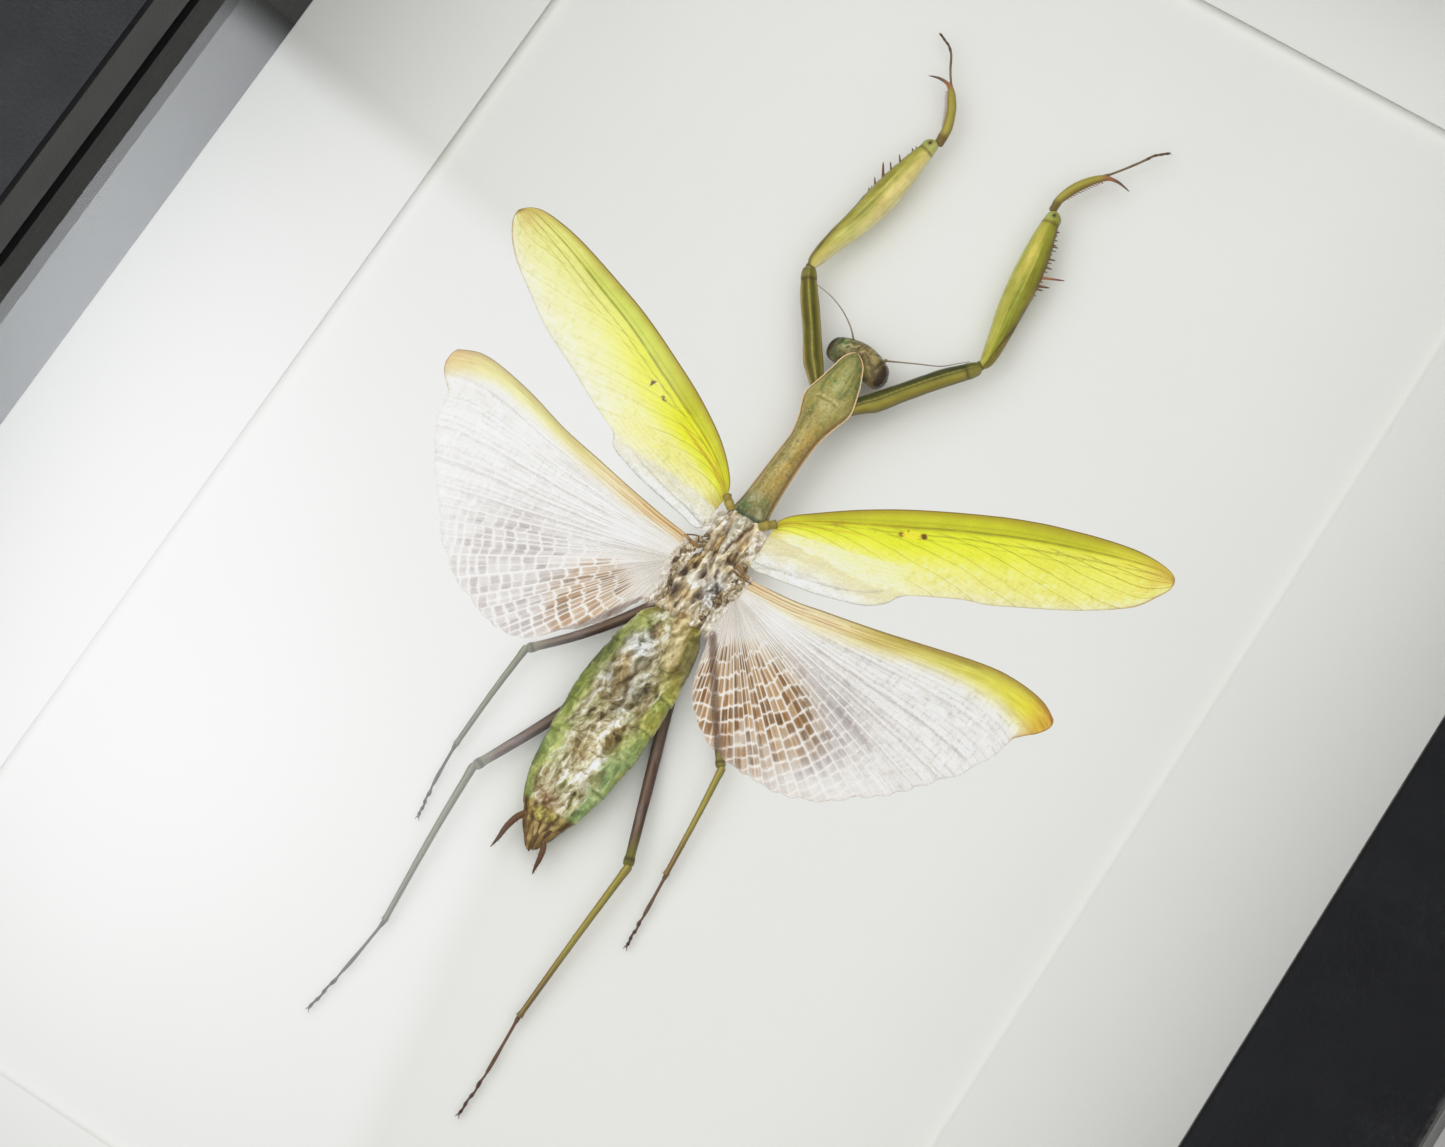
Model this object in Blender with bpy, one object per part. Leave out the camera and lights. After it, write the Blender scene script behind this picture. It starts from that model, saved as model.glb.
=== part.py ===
"""Framed praying mantis: a shadow-box frame lying on its back, with a spread, dried mantis on its board.

The frame's opening faces +Z, the long side runs along Y and the insect's head points to +Y. The origin is in the
middle of the back face. All dimensions below are millimetres; M turns them into metres.
"""

import math

import bmesh
import bpy
from mathutils import Matrix, Vector

M = 0.001
GAP = 0.3  # between pieces that touch

# ---- frame ----------------------------------------------------------------------------------------------------
OPEN_W, OPEN_H = 196.3, 283.0  # clear opening inside the lip
FACE = 24.5  # width of the moulding's face
RABBET = 7.0  # how far the lip stands in over the glass
REBATE_BACK = 3.2  # the back panel sits this far inside the back face
PANEL_T = 2.3
BOARD_T = 2.0
MAT_T = 1.2
GLASS_T = 3.2
GLASS_FRONT = 34.7  # front of the glass above the front of the mat
LIP_FRONT = 44.4  # front face of the moulding above the front of the mat
WINDOW_W, WINDOW_H = 134.0, 217.2  # window in the mat, at its front face
BEVEL = 1.1  # the window's bevel, 45 degrees
SPACER_T = 6.4

Z_PANEL = REBATE_BACK
Z_BOARD = Z_PANEL + PANEL_T + GAP
Z_MAT = Z_BOARD + BOARD_T + GAP
Z_MAT_FRONT = Z_MAT + MAT_T
Z_GLASS_FRONT = Z_MAT_FRONT + GLASS_FRONT
Z_GLASS = Z_GLASS_FRONT - GLASS_T
Z_LIP = Z_GLASS_FRONT + GAP
DEPTH = Z_MAT_FRONT + LIP_FRONT
FLOOR = Z_BOARD + BOARD_T  # the surface the insect lies on
SHEET_W, SHEET_H = OPEN_W + 2 * RABBET - 2 * GAP, OPEN_H + 2 * RABBET - 2 * GAP

# ---- insect ---------------------------------------------------------------------------------------------------
# Plan positions are (x, y); heights h are above the board. The body's axis lies at about x = 1.
AXIS = 1.0
WING_T = 0.4

# (y, half width, underside h, top h) of the neck shield, from its base to its rounded front
PRONOTUM = [
    (9.0, 2.3, 3.2, 7.2), (11.0, 2.35, 3.0, 7.4), (14.0, 2.15, 2.8, 7.4), (18.0, 2.0, 2.6, 7.2),
    (21.0, 1.95, 2.5, 7.1), (24.0, 2.4, 2.3, 7.2), (26.0, 3.1, 2.2, 7.4), (28.0, 3.65, 2.1, 7.5),
    (30.5, 3.0, 2.2, 7.5), (32.4, 2.45, 2.8, 7.6), (33.6, 2.1, 4.0, 7.6), (34.4, 1.75, 6.6, 7.6),
    (35.4, 1.15, 6.7, 7.5), (36.1, 0.45, 6.8, 7.3),
]
# (y, centre x, half width, underside h, top h) of the thick wing-bearing middle body
PTEROTHORAX = [
    (8.6, 0.9, 2.6, 3.0, 6.6), (7.4, 0.85, 3.5, 1.6, 7.6), (4.0, 0.8, 3.6, 0.4, 8.2), (0.0, 0.8, 3.6, 0.3, 8.2),
    (-4.0, 0.6, 3.5, 0.3, 7.8), (-7.0, 0.4, 3.6, 0.4, 7.3), (-8.6, 0.3, 3.0, 1.4, 6.6),
]
ABDOMEN = [
    (-9.2, 0.3, 3.4, 2.9, 6.6), (-11.0, 0.3, 4.8, 2.6, 7.1), (-14.5, 0.2, 5.7, 2.4, 7.4), (-18.5, 0.1, 6.3, 2.3, 7.5),
    (-22.5, 0.0, 6.5, 2.3, 7.4), (-27.0, 0.1, 6.4, 2.3, 7.2), (-31.0, 0.1, 6.1, 2.2, 6.9), (-35.0, 0.0, 5.8, 2.0, 6.3),
    (-38.4, -0.1, 5.2, 1.9, 5.7), (-41.0, -0.1, 4.0, 1.8, 5.0), (-43.6, 0.4, 2.5, 1.8, 4.4), (-46.2, 0.6, 1.2, 2.0, 3.6),
]
# Head, from the left eye to the right eye: (x, y, half depth along y, half height), centred at HEAD_H
HEAD_H = 4.0
HEAD = [
    (-3.8, 35.6, 0.5, 0.6), (-3.5, 35.6, 1.2, 1.3), (-2.7, 35.8, 1.8, 1.9), (-1.6, 36.1, 2.0, 2.0), (-0.3, 36.5, 2.0, 2.1),
    (1.0, 36.6, 2.0, 2.2), (2.3, 36.5, 2.0, 2.1), (3.6, 36.1, 2.0, 2.0), (4.7, 35.8, 1.8, 1.9), (5.4, 35.6, 1.2, 1.3),
    (5.7, 35.5, 0.5, 0.6),
]

# Wing outlines, front edge outwards to the tip and back along the rear edge
FOREWING_LEFT = [
    (-3.2, 9.3), (-5.0, 12.4), (-8.9, 16.0), (-14.7, 19.7), (-20.7, 22.8), (-28.2, 26.3), (-34.7, 28.7), (-42.2, 31.2),
    (-47.4, 32.3), (-51.0, 32.3), (-53.1, 30.6), (-52.4, 28.0), (-49.4, 24.5), (-43.9, 20.5), (-39.3, 17.5),
    (-32.6, 14.2), (-27.0, 11.3), (-22.4, 9.2), (-21.0, 7.3), (-17.5, 5.9), (-14.2, 5.0), (-11.0, 4.6), (-6.9, 4.5),
    (-3.2, 5.2),
]
FOREWING_RIGHT = [
    (4.8, 9.6), (9.8, 14.4), (16.8, 19.4), (24.5, 23.8), (32.3, 27.7), (40.7, 30.8), (47.3, 32.5), (51.6, 32.8),
    (54.3, 32.2), (54.9, 30.6), (53.8, 28.3), (51.7, 25.3), (46.5, 21.4), (40.8, 18.1), (35.1, 15.0), (31.8, 13.8),
    (25.2, 10.2), (23.4, 7.8), (21.0, 5.9), (16.3, 4.2), (11.7, 3.3), (7.1, 2.7), (4.8, 3.2),
]
HINDWING_LEFT = [
    (-3.4, 0.9), (-5.1, 1.7), (-9.8, 2.4), (-16.0, 3.6), (-22.0, 4.9), (-28.3, 6.2), (-35.8, 8.4), (-42.1, 9.7),
    (-45.7, 9.8), (-48.7, 8.7), (-49.3, 6.4), (-48.2, 4.4), (-46.3, 2.6), (-45.8, 0.0), (-45.1, -2.0), (-41.6, -7.4),
    (-38.6, -11.0), (-36.4, -13.4), (-34.6, -15.9), (-32.1, -17.8), (-29.3, -20.1), (-26.2, -21.2), (-22.2, -22.7),
    (-18.5, -23.0), (-16.4, -22.6), (-14.6, -21.2), (-12.6, -19.2), (-9.6, -16.6), (-7.2, -13.6), (-6.0, -11.0),
    (-4.6, -8.2), (-3.7, -4.0),
]
HINDWING_RIGHT = [
    (5.0, 0.7), (7.5, 0.9), (12.8, 1.5), (17.3, 2.5), (24.0, 4.0), (30.6, 5.7), (37.2, 7.4), (41.9, 8.2), (45.8, 8.2),
    (49.0, 7.6), (51.2, 6.4), (51.4, 5.0), (50.2, 3.2), (48.2, 1.4), (47.8, -0.1), (47.2, -2.4), (46.1, -4.3),
    (44.3, -7.2), (42.3, -9.5), (39.4, -13.0), (37.0, -15.4), (34.1, -17.5), (31.6, -19.8), (28.8, -21.2),
    (25.6, -22.4), (21.9, -22.6), (18.9, -22.6), (16.6, -22.3), (14.4, -21.9), (12.5, -21.1), (10.3, -19.5),
    (8.6, -17.8), (7.3, -15.4), (6.6, -13.0), (5.9, -10.2), (5.0, -7.6), (4.6, -3.0),
]
FOREWING_H, HINDWING_H = (6.6, 3.0), (5.9, 2.6)  # h at the root and at 50 mm from the axis

# Legs: (x, y, h, half width, half height) along each segment
FORELEG_LEFT = {
    "coxa": [(-3.4, 31.3, 4.6, 1.1, 1.0), (-4.6, 33.0, 4.4, 1.4, 1.3), (-7.4, 37.0, 4.0, 1.3, 1.3), (-10.1, 40.6, 3.7, 1.3, 1.2),
             (-11.9, 43.2, 3.5, 1.1, 1.1), (-12.6, 44.6, 3.4, 0.8, 0.9)],
    "femur": [(-12.7, 45.2, 3.4, 0.7, 0.8), (-12.6, 46.6, 3.4, 1.1, 1.1), (-11.9, 50.0, 3.4, 1.5, 1.3), (-10.8, 54.0, 3.4, 1.9, 1.4),
              (-9.9, 58.5, 3.4, 2.1, 1.5), (-9.2, 63.0, 3.3, 1.9, 1.4), (-8.6, 67.0, 3.3, 1.4, 1.2), (-8.0, 70.2, 3.2, 0.9, 0.9)],
    "tibia": [(-7.5, 71.1, 3.2, 0.7, 0.8), (-7.7, 73.0, 3.1, 0.8, 0.8), (-8.6, 75.6, 3.0, 0.7, 0.7), (-9.9, 78.0, 2.8, 0.7, 0.7),
              (-11.5, 79.2, 2.7, 0.5, 0.5), (-13.0, 79.2, 2.6, 0.3, 0.3), (-14.2, 78.7, 2.5, 0.15, 0.15)],
    "tarsus": [(-10.2, 79.6, 2.6, 0.3, 0.3), (-11.3, 81.2, 2.4, 0.3, 0.3), (-13.4, 83.4, 2.2, 0.3, 0.3), (-16.7, 85.5, 2.0, 0.3, 0.3)],
}
FORELEG_RIGHT = {
    "coxa": [(5.2, 30.6, 4.6, 1.1, 1.0), (6.4, 32.2, 4.4, 1.4, 1.3), (9.2, 36.2, 4.0, 1.3, 1.3), (12.2, 40.2, 3.7, 1.3, 1.2),
             (14.6, 43.0, 3.5, 1.1, 1.1), (15.6, 44.2, 3.4, 0.8, 0.9)],
    "femur": [(15.9, 44.9, 3.4, 0.7, 0.8), (15.9, 46.4, 3.4, 1.1, 1.1), (15.4, 50.0, 3.4, 1.5, 1.3), (14.7, 54.0, 3.4, 1.9, 1.4),
              (14.1, 58.5, 3.4, 2.1, 1.5), (13.4, 63.0, 3.3, 1.9, 1.4), (12.7, 67.0, 3.3, 1.4, 1.2), (12.3, 69.7, 3.2, 0.9, 0.9)],
    "tibia": [(12.0, 70.6, 3.2, 0.7, 0.8), (12.4, 72.6, 3.1, 0.8, 0.8), (13.4, 75.2, 3.0, 0.7, 0.7), (14.9, 77.5, 2.8, 0.7, 0.7),
              (16.6, 78.6, 2.7, 0.5, 0.5), (18.0, 78.6, 2.6, 0.3, 0.3), (19.2, 78.1, 2.5, 0.15, 0.15)],
    "tarsus": [(15.2, 79.1, 2.6, 0.3, 0.3), (16.2, 80.8, 2.4, 0.3, 0.3), (18.4, 83.8, 2.2, 0.3, 0.3), (21.1, 86.3, 2.0, 0.3, 0.3)],
}
MIDLEG_LEFT = {
    "femur": [(-3.6, -5.6, 1.3, 0.7, 0.7), (-5.2, -9.6, 1.6, 0.8, 0.8), (-10.2, -16.9, 2.2, 0.7, 0.7), (-15.2, -22.6, 2.7, 0.7, 0.7)],
    "tibia": [(-15.7, -23.6, 2.7, 0.55, 0.55), (-16.2, -31.0, 2.1, 0.45, 0.45), (-16.5, -39.0, 1.4, 0.4, 0.4)],
    "tarsus": [(-16.5, -39.7, 1.3, 0.35, 0.35), (-16.1, -45.0, 1.0, 0.3, 0.3), (-15.3, -50.1, 0.8, 0.3, 0.3)],
}
MIDLEG_RIGHT = {
    "femur": [(4.9, -5.2, 1.3, 0.7, 0.7), (5.9, -8.6, 1.6, 0.8, 0.8), (11.2, -16.2, 2.2, 0.7, 0.7), (16.2, -22.8, 2.7, 0.7, 0.7)],
    "tibia": [(16.7, -23.8, 2.7, 0.55, 0.55), (17.4, -31.0, 2.1, 0.45, 0.45), (18.0, -39.1, 1.4, 0.4, 0.4)],
    "tarsus": [(18.1, -39.8, 1.3, 0.35, 0.35), (18.5, -45.0, 1.0, 0.3, 0.3), (18.8, -50.1, 0.8, 0.3, 0.3)],
}
HINDLEG_LEFT = {
    "femur": [(-2.2, -13.0, 1.1, 0.8, 0.7), (-4.6, -22.0, 1.2, 0.85, 0.75), (-7.4, -29.8, 1.7, 0.8, 0.75), (-12.0, -40.3, 2.8, 0.7, 0.7)],
    "tibia": [(-12.3, -41.4, 2.8, 0.6, 0.6), (-11.8, -52.0, 2.1, 0.5, 0.5), (-10.8, -64.6, 1.4, 0.45, 0.45)],
    "tarsus": [(-10.8, -65.4, 1.3, 0.4, 0.4), (-11.5, -72.0, 1.0, 0.35, 0.35), (-12.7, -79.9, 0.8, 0.3, 0.3)],
}
HINDLEG_RIGHT = {
    "femur": [(3.0, -13.0, 1.1, 0.8, 0.7), (6.0, -21.6, 1.2, 0.85, 0.75), (9.3, -30.4, 1.9, 0.8, 0.75), (13.2, -40.9, 2.8, 0.7, 0.7)],
    "tibia": [(13.4, -42.0, 2.8, 0.6, 0.6), (12.7, -53.2, 2.1, 0.5, 0.5), (12.1, -65.8, 1.4, 0.45, 0.45)],
    "tarsus": [(12.1, -66.6, 1.3, 0.4, 0.4), (12.6, -75.0, 1.0, 0.35, 0.35), (12.5, -81.0, 0.8, 0.3, 0.3)],
}
ANTENNA_LEFT = [(-1.2, 38.2, 5.4), (-2.6, 39.6, 5.2), (-4.8, 41.0, 5.4), (-7.2, 41.8, 6.0), (-9.6, 42.1, 6.4)]
ANTENNA_RIGHT = [(4.6, 37.8, 5.4), (8.2, 39.7, 5.0), (11.2, 41.2, 4.8), (13.2, 42.5, 5.6), (14.6, 43.4, 6.2)]
CERCUS_LEFT = [(-3.4, -43.7, 3.0, 0.55), (-3.7, -45.4, 2.8, 0.5), (-3.8, -47.2, 2.5, 0.35), (-4.1, -48.7, 2.3, 0.12)]
CERCUS_RIGHT = [(2.8, -46.0, 3.0, 0.5), (2.7, -47.0, 2.8, 0.42), (2.75, -48.0, 2.6, 0.3), (2.9, -48.8, 2.4, 0.12)]


# ---- scene and materials ----------------------------------------------------------------------------------------
for old in list(bpy.data.objects):
    bpy.data.objects.remove(old, do_unlink=True)

PARTS = bpy.data.collections.new("framed_praying_mantis")
CUTTERS = bpy.data.collections.new("cutters")
bpy.context.scene.collection.children.link(PARTS)
bpy.context.scene.collection.children.link(CUTTERS)


def material(name, colour, roughness, metallic=0.0, alpha=1.0):
    mat = bpy.data.materials.new(name)
    mat.use_nodes = True
    shader = mat.node_tree.nodes["Principled BSDF"]
    shader.inputs["Base Color"].default_value = (*colour, 1)
    shader.inputs["Roughness"].default_value = roughness
    shader.inputs["Metallic"].default_value = metallic
    shader.inputs["Alpha"].default_value = alpha
    mat.diffuse_color = (*colour, alpha)
    return mat


BLACK_LACQUER = material("black_lacquer", (0.008, 0.009, 0.011), 0.35)
LINER = material("black_liner", (0.010, 0.010, 0.011), 0.6)
GLASS = material("glass", (0.9, 0.95, 0.93), 0.03, alpha=0.2)
MAT_BOARD = material("white_mat", (0.78, 0.78, 0.76), 0.9)
MOUNT_BOARD = material("white_board", (0.80, 0.80, 0.78), 0.9)
FIBREBOARD = material("fibreboard", (0.16, 0.10, 0.06), 0.8)
STEEL = material("steel", (0.55, 0.55, 0.56), 0.35, 1.0)
SHELL_GREEN = material("olive_shell", (0.20, 0.20, 0.06), 0.45)
BODY_GREEN = material("green_abdomen", (0.25, 0.35, 0.15), 0.4)
THORAX_TAN = material("tan_thorax", (0.35, 0.27, 0.16), 0.5)
LEG_GREEN = material("green_leg", (0.25, 0.27, 0.05), 0.4)
LEG_BROWN = material("brown_leg", (0.10, 0.06, 0.04), 0.4)
WING_GREEN = material("yellow_green_wing", (0.65, 0.75, 0.04), 0.4)
WING_CLEAR = material("pale_wing", (0.65, 0.60, 0.55), 0.4)


# ---- helpers ----------------------------------------------------------------------------------------------------
def add(name, data, mat, collection=None):
    obj = bpy.data.objects.new(name, data)
    (collection or PARTS).objects.link(obj)
    if mat:
        data.materials.append(mat)
    return obj


def mesh_from(bm, name):
    mesh = bpy.data.meshes.new(name)
    bmesh.ops.recalc_face_normals(bm, faces=bm.faces)
    bm.to_mesh(mesh)
    bm.free()
    return mesh


def box(name, low, high, mat, collection=None):
    """A block between two corners, in millimetres."""
    low, high = Vector(low), Vector(high)
    bm = bmesh.new()
    bmesh.ops.create_cube(bm, size=1)
    bmesh.ops.scale(bm, vec=(high - low) * M, verts=bm.verts)
    bmesh.ops.translate(bm, vec=(low + high) * M / 2, verts=bm.verts)
    return add(name, mesh_from(bm, name), mat, collection)


def cutter(obj):
    obj.hide_render = True
    obj.display_type = "WIRE"
    return obj


def cut(obj, tool):
    mod = obj.modifiers.new("cut_" + tool.name, "BOOLEAN")
    mod.operation = "DIFFERENCE"
    mod.solver = "EXACT"
    mod.object = tool


def smooth(mesh, angle=35):
    mesh.shade_smooth()
    mesh.set_sharp_from_angle(angle=math.radians(angle))


def curve_through(points, steps, closed=False):
    """A smooth run of points through the given ones (Catmull-Rom)."""
    count = len(points)
    out = []
    for i in range(count if closed else count - 1):
        if closed:
            p = [points[(i + k - 1) % count] for k in range(4)]
        else:
            p = [points[min(max(i + k - 1, 0), count - 1)] for k in range(4)]
        for s in range(steps):
            t = s / steps
            out.append(tuple(
                0.5 * (2 * b + (c - a) * t + (2 * a - 5 * b + 4 * c - d) * t * t + (3 * b - a - 3 * c + d) * t ** 3)
                for a, b, c, d in zip(*p)
            ))
    if not closed:
        out.append(tuple(points[-1]))
    return out


def loft(name, rings, sides, mat):
    """A closed skin through oval sections. Each ring is (x, y, z, half width across, half height), in millimetres,
    and it stands square to the line of centres as seen from above."""
    bm = bmesh.new()
    count = len(rings)
    loops = []
    for i, (x, y, z, wide, tall) in enumerate(rings):
        before, after = rings[max(i - 1, 0)], rings[min(i + 1, count - 1)]
        along = Vector((after[0] - before[0], after[1] - before[1], 0)).normalized()
        across = Vector((-along.y, along.x, 0))
        loop = []
        for k in range(sides):
            a = 2 * math.pi * (k + 0.5) / sides
            p = Vector((x, y, z)) + across * wide * math.cos(a) + Vector((0, 0, tall * math.sin(a)))
            loop.append(bm.verts.new(p * M))
        loops.append(loop)
    for one, two in zip(loops, loops[1:]):
        for k in range(sides):
            bm.faces.new((one[k], one[(k + 1) % sides], two[(k + 1) % sides], two[k]))
    bm.faces.new(loops[0])
    bm.faces.new(loops[-1])
    mesh = mesh_from(bm, name)
    smooth(mesh, 50)
    return add(name, mesh, mat)


def body_rings(rows, height=0.0):
    """Rings along Y from (y, x, half width, underside, top)."""
    return [(x, y, FLOOR + height + (low + top) / 2, wide, (top - low) / 2) for y, x, wide, low, top in rows]


def limb(name, rows, mat, sides=8):
    return loft(name, [(x, y, FLOOR + h, wide, tall) for x, y, h, wide, tall in rows], sides, mat)


def wire(name, rows, mat, depth=None):
    """A thin tapering tube: (x, y, h) with one radius, or (x, y, h, radius)."""
    data = bpy.data.curves.new(name, "CURVE")
    data.dimensions = "3D"
    data.bevel_depth = M
    data.bevel_resolution = 1
    data.use_fill_caps = True
    data.render_resolution_u = 0
    points = curve_through(rows, 3)
    spline = data.splines.new("POLY")
    spline.points.add(len(points) - 1)
    for point, row in zip(spline.points, points):
        point.co = (row[0] * M, row[1] * M, (FLOOR + row[2]) * M, 1)
        point.radius = depth or row[3]
    return add(name, data, mat)


def wing(name, outline, heights, root_x, mat):
    """A thin plate of the wing's outline that slopes down from its root to its tip."""
    side = -1 if root_x < AXIS else 1
    slope = math.atan2(heights[0] - heights[1], 50)
    data = bpy.data.curves.new(name, "CURVE")
    data.dimensions = "2D"
    data.fill_mode = "BOTH"
    data.extrude = WING_T / 2 * M
    data.render_resolution_u = 0
    points = curve_through(outline, 2, closed=True)
    spline = data.splines.new("POLY")
    spline.points.add(len(points) - 1)
    for point, (x, y) in zip(spline.points, points):
        point.co = ((x - root_x) / math.cos(slope) * M, y * M, 0, 1)
    spline.use_cyclic_u = True
    obj = add(name, data, mat)
    obj.location = (root_x * M, 0, (FLOOR + heights[0]) * M)
    obj.rotation_euler = (0, side * slope, 0)
    return obj


# ---- frame ----------------------------------------------------------------------------------------------------
def rail(name, half_opening, angle, half_span):
    """One mitred moulding rail. Its profile (r, z), with r measured out from the opening, is drawn at one end, pulled
    along the rail, and each end is slid out by r for the 45 degree mitre."""
    profile = [(0, Z_LIP), (0, DEPTH - 0.6), (0.2, DEPTH - 0.2), (0.6, DEPTH), (FACE - 1.2, DEPTH), (FACE - 0.35, DEPTH - 0.35),
               (FACE, DEPTH - 1.2), (FACE, 0.8), (FACE - 0.8, 0), (RABBET, 0), (RABBET, Z_LIP)]
    bm = bmesh.new()
    face = bm.faces.new([bm.verts.new((r * M, 0, z * M)) for r, z in profile])
    pulled = bmesh.ops.extrude_face_region(bm, geom=[face])
    far = {v for v in pulled["geom"] if isinstance(v, bmesh.types.BMVert)}
    for v in bm.verts:
        reach = (half_opening - GAP / 2) * M + v.co.x
        v.co.y = reach if v in far else -reach
        v.co.x += half_span * M
    bmesh.ops.rotate(bm, cent=(0, 0, 0), matrix=Matrix.Rotation(angle, 3, "Z"), verts=bm.verts)
    mesh = mesh_from(bm, name)
    return add(name, mesh, BLACK_LACQUER)


RAILS = {
    "right": rail("frame_rail_right", OPEN_H / 2, 0, OPEN_W / 2),
    "top": rail("frame_rail_top", OPEN_W / 2, math.pi / 2, OPEN_H / 2),
    "left": rail("frame_rail_left", OPEN_H / 2, math.pi, OPEN_W / 2),
    "bottom": rail("frame_rail_bottom", OPEN_W / 2, -math.pi / 2, OPEN_H / 2),
}

hw, hh = SHEET_W / 2, SHEET_H / 2
box("glass_pane", (-hw, -hh, Z_GLASS), (hw, hh, Z_GLASS_FRONT), GLASS)
box("mounting_board", (-hw, -hh, Z_BOARD), (hw, hh, FLOOR), MOUNT_BOARD)
panel = box("back_panel", (-hw, -hh, Z_PANEL), (hw, hh, Z_PANEL + PANEL_T), FIBREBOARD)

spacer_low, spacer_high = Z_MAT_FRONT + GAP, Z_GLASS - GAP
ow, oh = OPEN_W / 2, OPEN_H / 2
box("spacer_left", (-ow - SPACER_T, -oh - SPACER_T, spacer_low), (-ow, oh + SPACER_T, spacer_high), LINER)
box("spacer_right", (ow, -oh - SPACER_T, spacer_low), (ow + SPACER_T, oh + SPACER_T, spacer_high), LINER)
box("spacer_top", (-ow + GAP, oh, spacer_low), (ow - GAP, oh + SPACER_T, spacer_high), LINER)
box("spacer_bottom", (-ow + GAP, -oh - SPACER_T, spacer_low), (ow - GAP, -oh, spacer_high), LINER)

window_mat = box("window_mat", (-hw, -hh, Z_MAT), (hw, hh, Z_MAT_FRONT), MAT_BOARD)
window = cutter(box("window_cutter", (-WINDOW_W / 2, -WINDOW_H / 2, Z_MAT - 1), (WINDOW_W / 2, WINDOW_H / 2, Z_MAT_FRONT + 1), None, CUTTERS))
for v in window.data.vertices:  # the 45 degree bevel: narrower towards the back
    lean = (v.co.z / M - Z_MAT_FRONT) * BEVEL / MAT_T * M
    v.co.x += math.copysign(lean, v.co.x)
    v.co.y += math.copysign(lean, v.co.y)
cut(window_mat, window)

# Points that hold the back in: a strip with a rounded end, pushed into a slot in the rail
TAB_W, TAB_T, TAB_OUT, TAB_IN = 9.0, 0.7, 3.6, 8.5
TAB_Z = Z_PANEL - GAP - TAB_T
for name, rail_name, x, y, turn in [
    ("tab_left_upper", "left", -ow - RABBET, 80, 0), ("tab_left_lower", "left", -ow - RABBET, -80, 0),
    ("tab_right_upper", "right", ow + RABBET, 80, math.pi), ("tab_right_lower", "right", ow + RABBET, -80, math.pi),
    ("tab_top", "top", 0, oh + RABBET, -math.pi / 2), ("tab_bottom", "bottom", 0, -oh - RABBET, math.pi / 2),
]:
    outline = [(-TAB_OUT, -TAB_W / 2), (-TAB_OUT, TAB_W / 2), (TAB_IN - 4.5, TAB_W / 2)]
    outline += [(TAB_IN - 4.5 + 4.5 * math.cos(a), TAB_W / 2 * math.sin(a)) for a in [math.radians(60 - 30 * k) for k in range(5)]]
    outline += [(TAB_IN - 4.5, -TAB_W / 2)]
    data = bpy.data.curves.new(name, "CURVE")
    data.dimensions = "2D"
    data.fill_mode = "BOTH"
    data.extrude = TAB_T / 2 * M
    data.render_resolution_u = 0
    spline = data.splines.new("POLY")
    spline.points.add(len(outline) - 1)
    for point, (u, v) in zip(spline.points, outline):
        point.co = (u * M, v * M, 0, 1)
    spline.use_cyclic_u = True
    tab = add(name, data, STEEL)
    tab.location = (x * M, y * M, (TAB_Z + TAB_T / 2) * M)
    tab.rotation_euler = (0, 0, turn)
    slot = cutter(box("slot_" + name, (-TAB_OUT - GAP, -TAB_W / 2 - GAP, -TAB_T / 2 - GAP), (2, TAB_W / 2 + GAP, TAB_T / 2 + GAP), None, CUTTERS))
    slot.matrix_world = Matrix.Translation(tab.location) @ Matrix.Rotation(turn, 4, "Z")
    cut(RAILS[rail_name], slot)

# Toothed hanger on the back panel, inside the recess, with its two nails
HANGER_Y, HANGER_L, HANGER_T = 118.0, 44.0, 1.0
HANGER_Z = Z_PANEL - GAP - HANGER_T
outline = [(-HANGER_L / 2, 4.5), (HANGER_L / 2, 4.5), (HANGER_L / 2, -2.5), (HANGER_L / 2 - 9, -2.5)]
teeth = 9
for k in range(teeth):
    x0 = HANGER_L / 2 - 9 - (HANGER_L - 18) * k / teeth
    outline += [(x0 - (HANGER_L - 18) / teeth * 0.5, -0.9)] + ([(x0 - (HANGER_L - 18) / teeth, -2.5)] if k < teeth - 1 else [])
outline += [(-HANGER_L / 2 + 9, -2.5), (-HANGER_L / 2, -2.5)]
bm = bmesh.new()
face = bm.faces.new([bm.verts.new((u * M, v * M, -HANGER_T / 2 * M)) for u, v in outline])
pulled = bmesh.ops.extrude_face_region(bm, geom=[face])
bmesh.ops.translate(bm, vec=(0, 0, HANGER_T * M), verts=[v for v in pulled["geom"] if isinstance(v, bmesh.types.BMVert)])
mesh = mesh_from(bm, "hanger")
hanger = add("hanger", mesh, STEEL)
hanger.location = (0, HANGER_Y * M, (HANGER_Z + HANGER_T / 2) * M)

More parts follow.
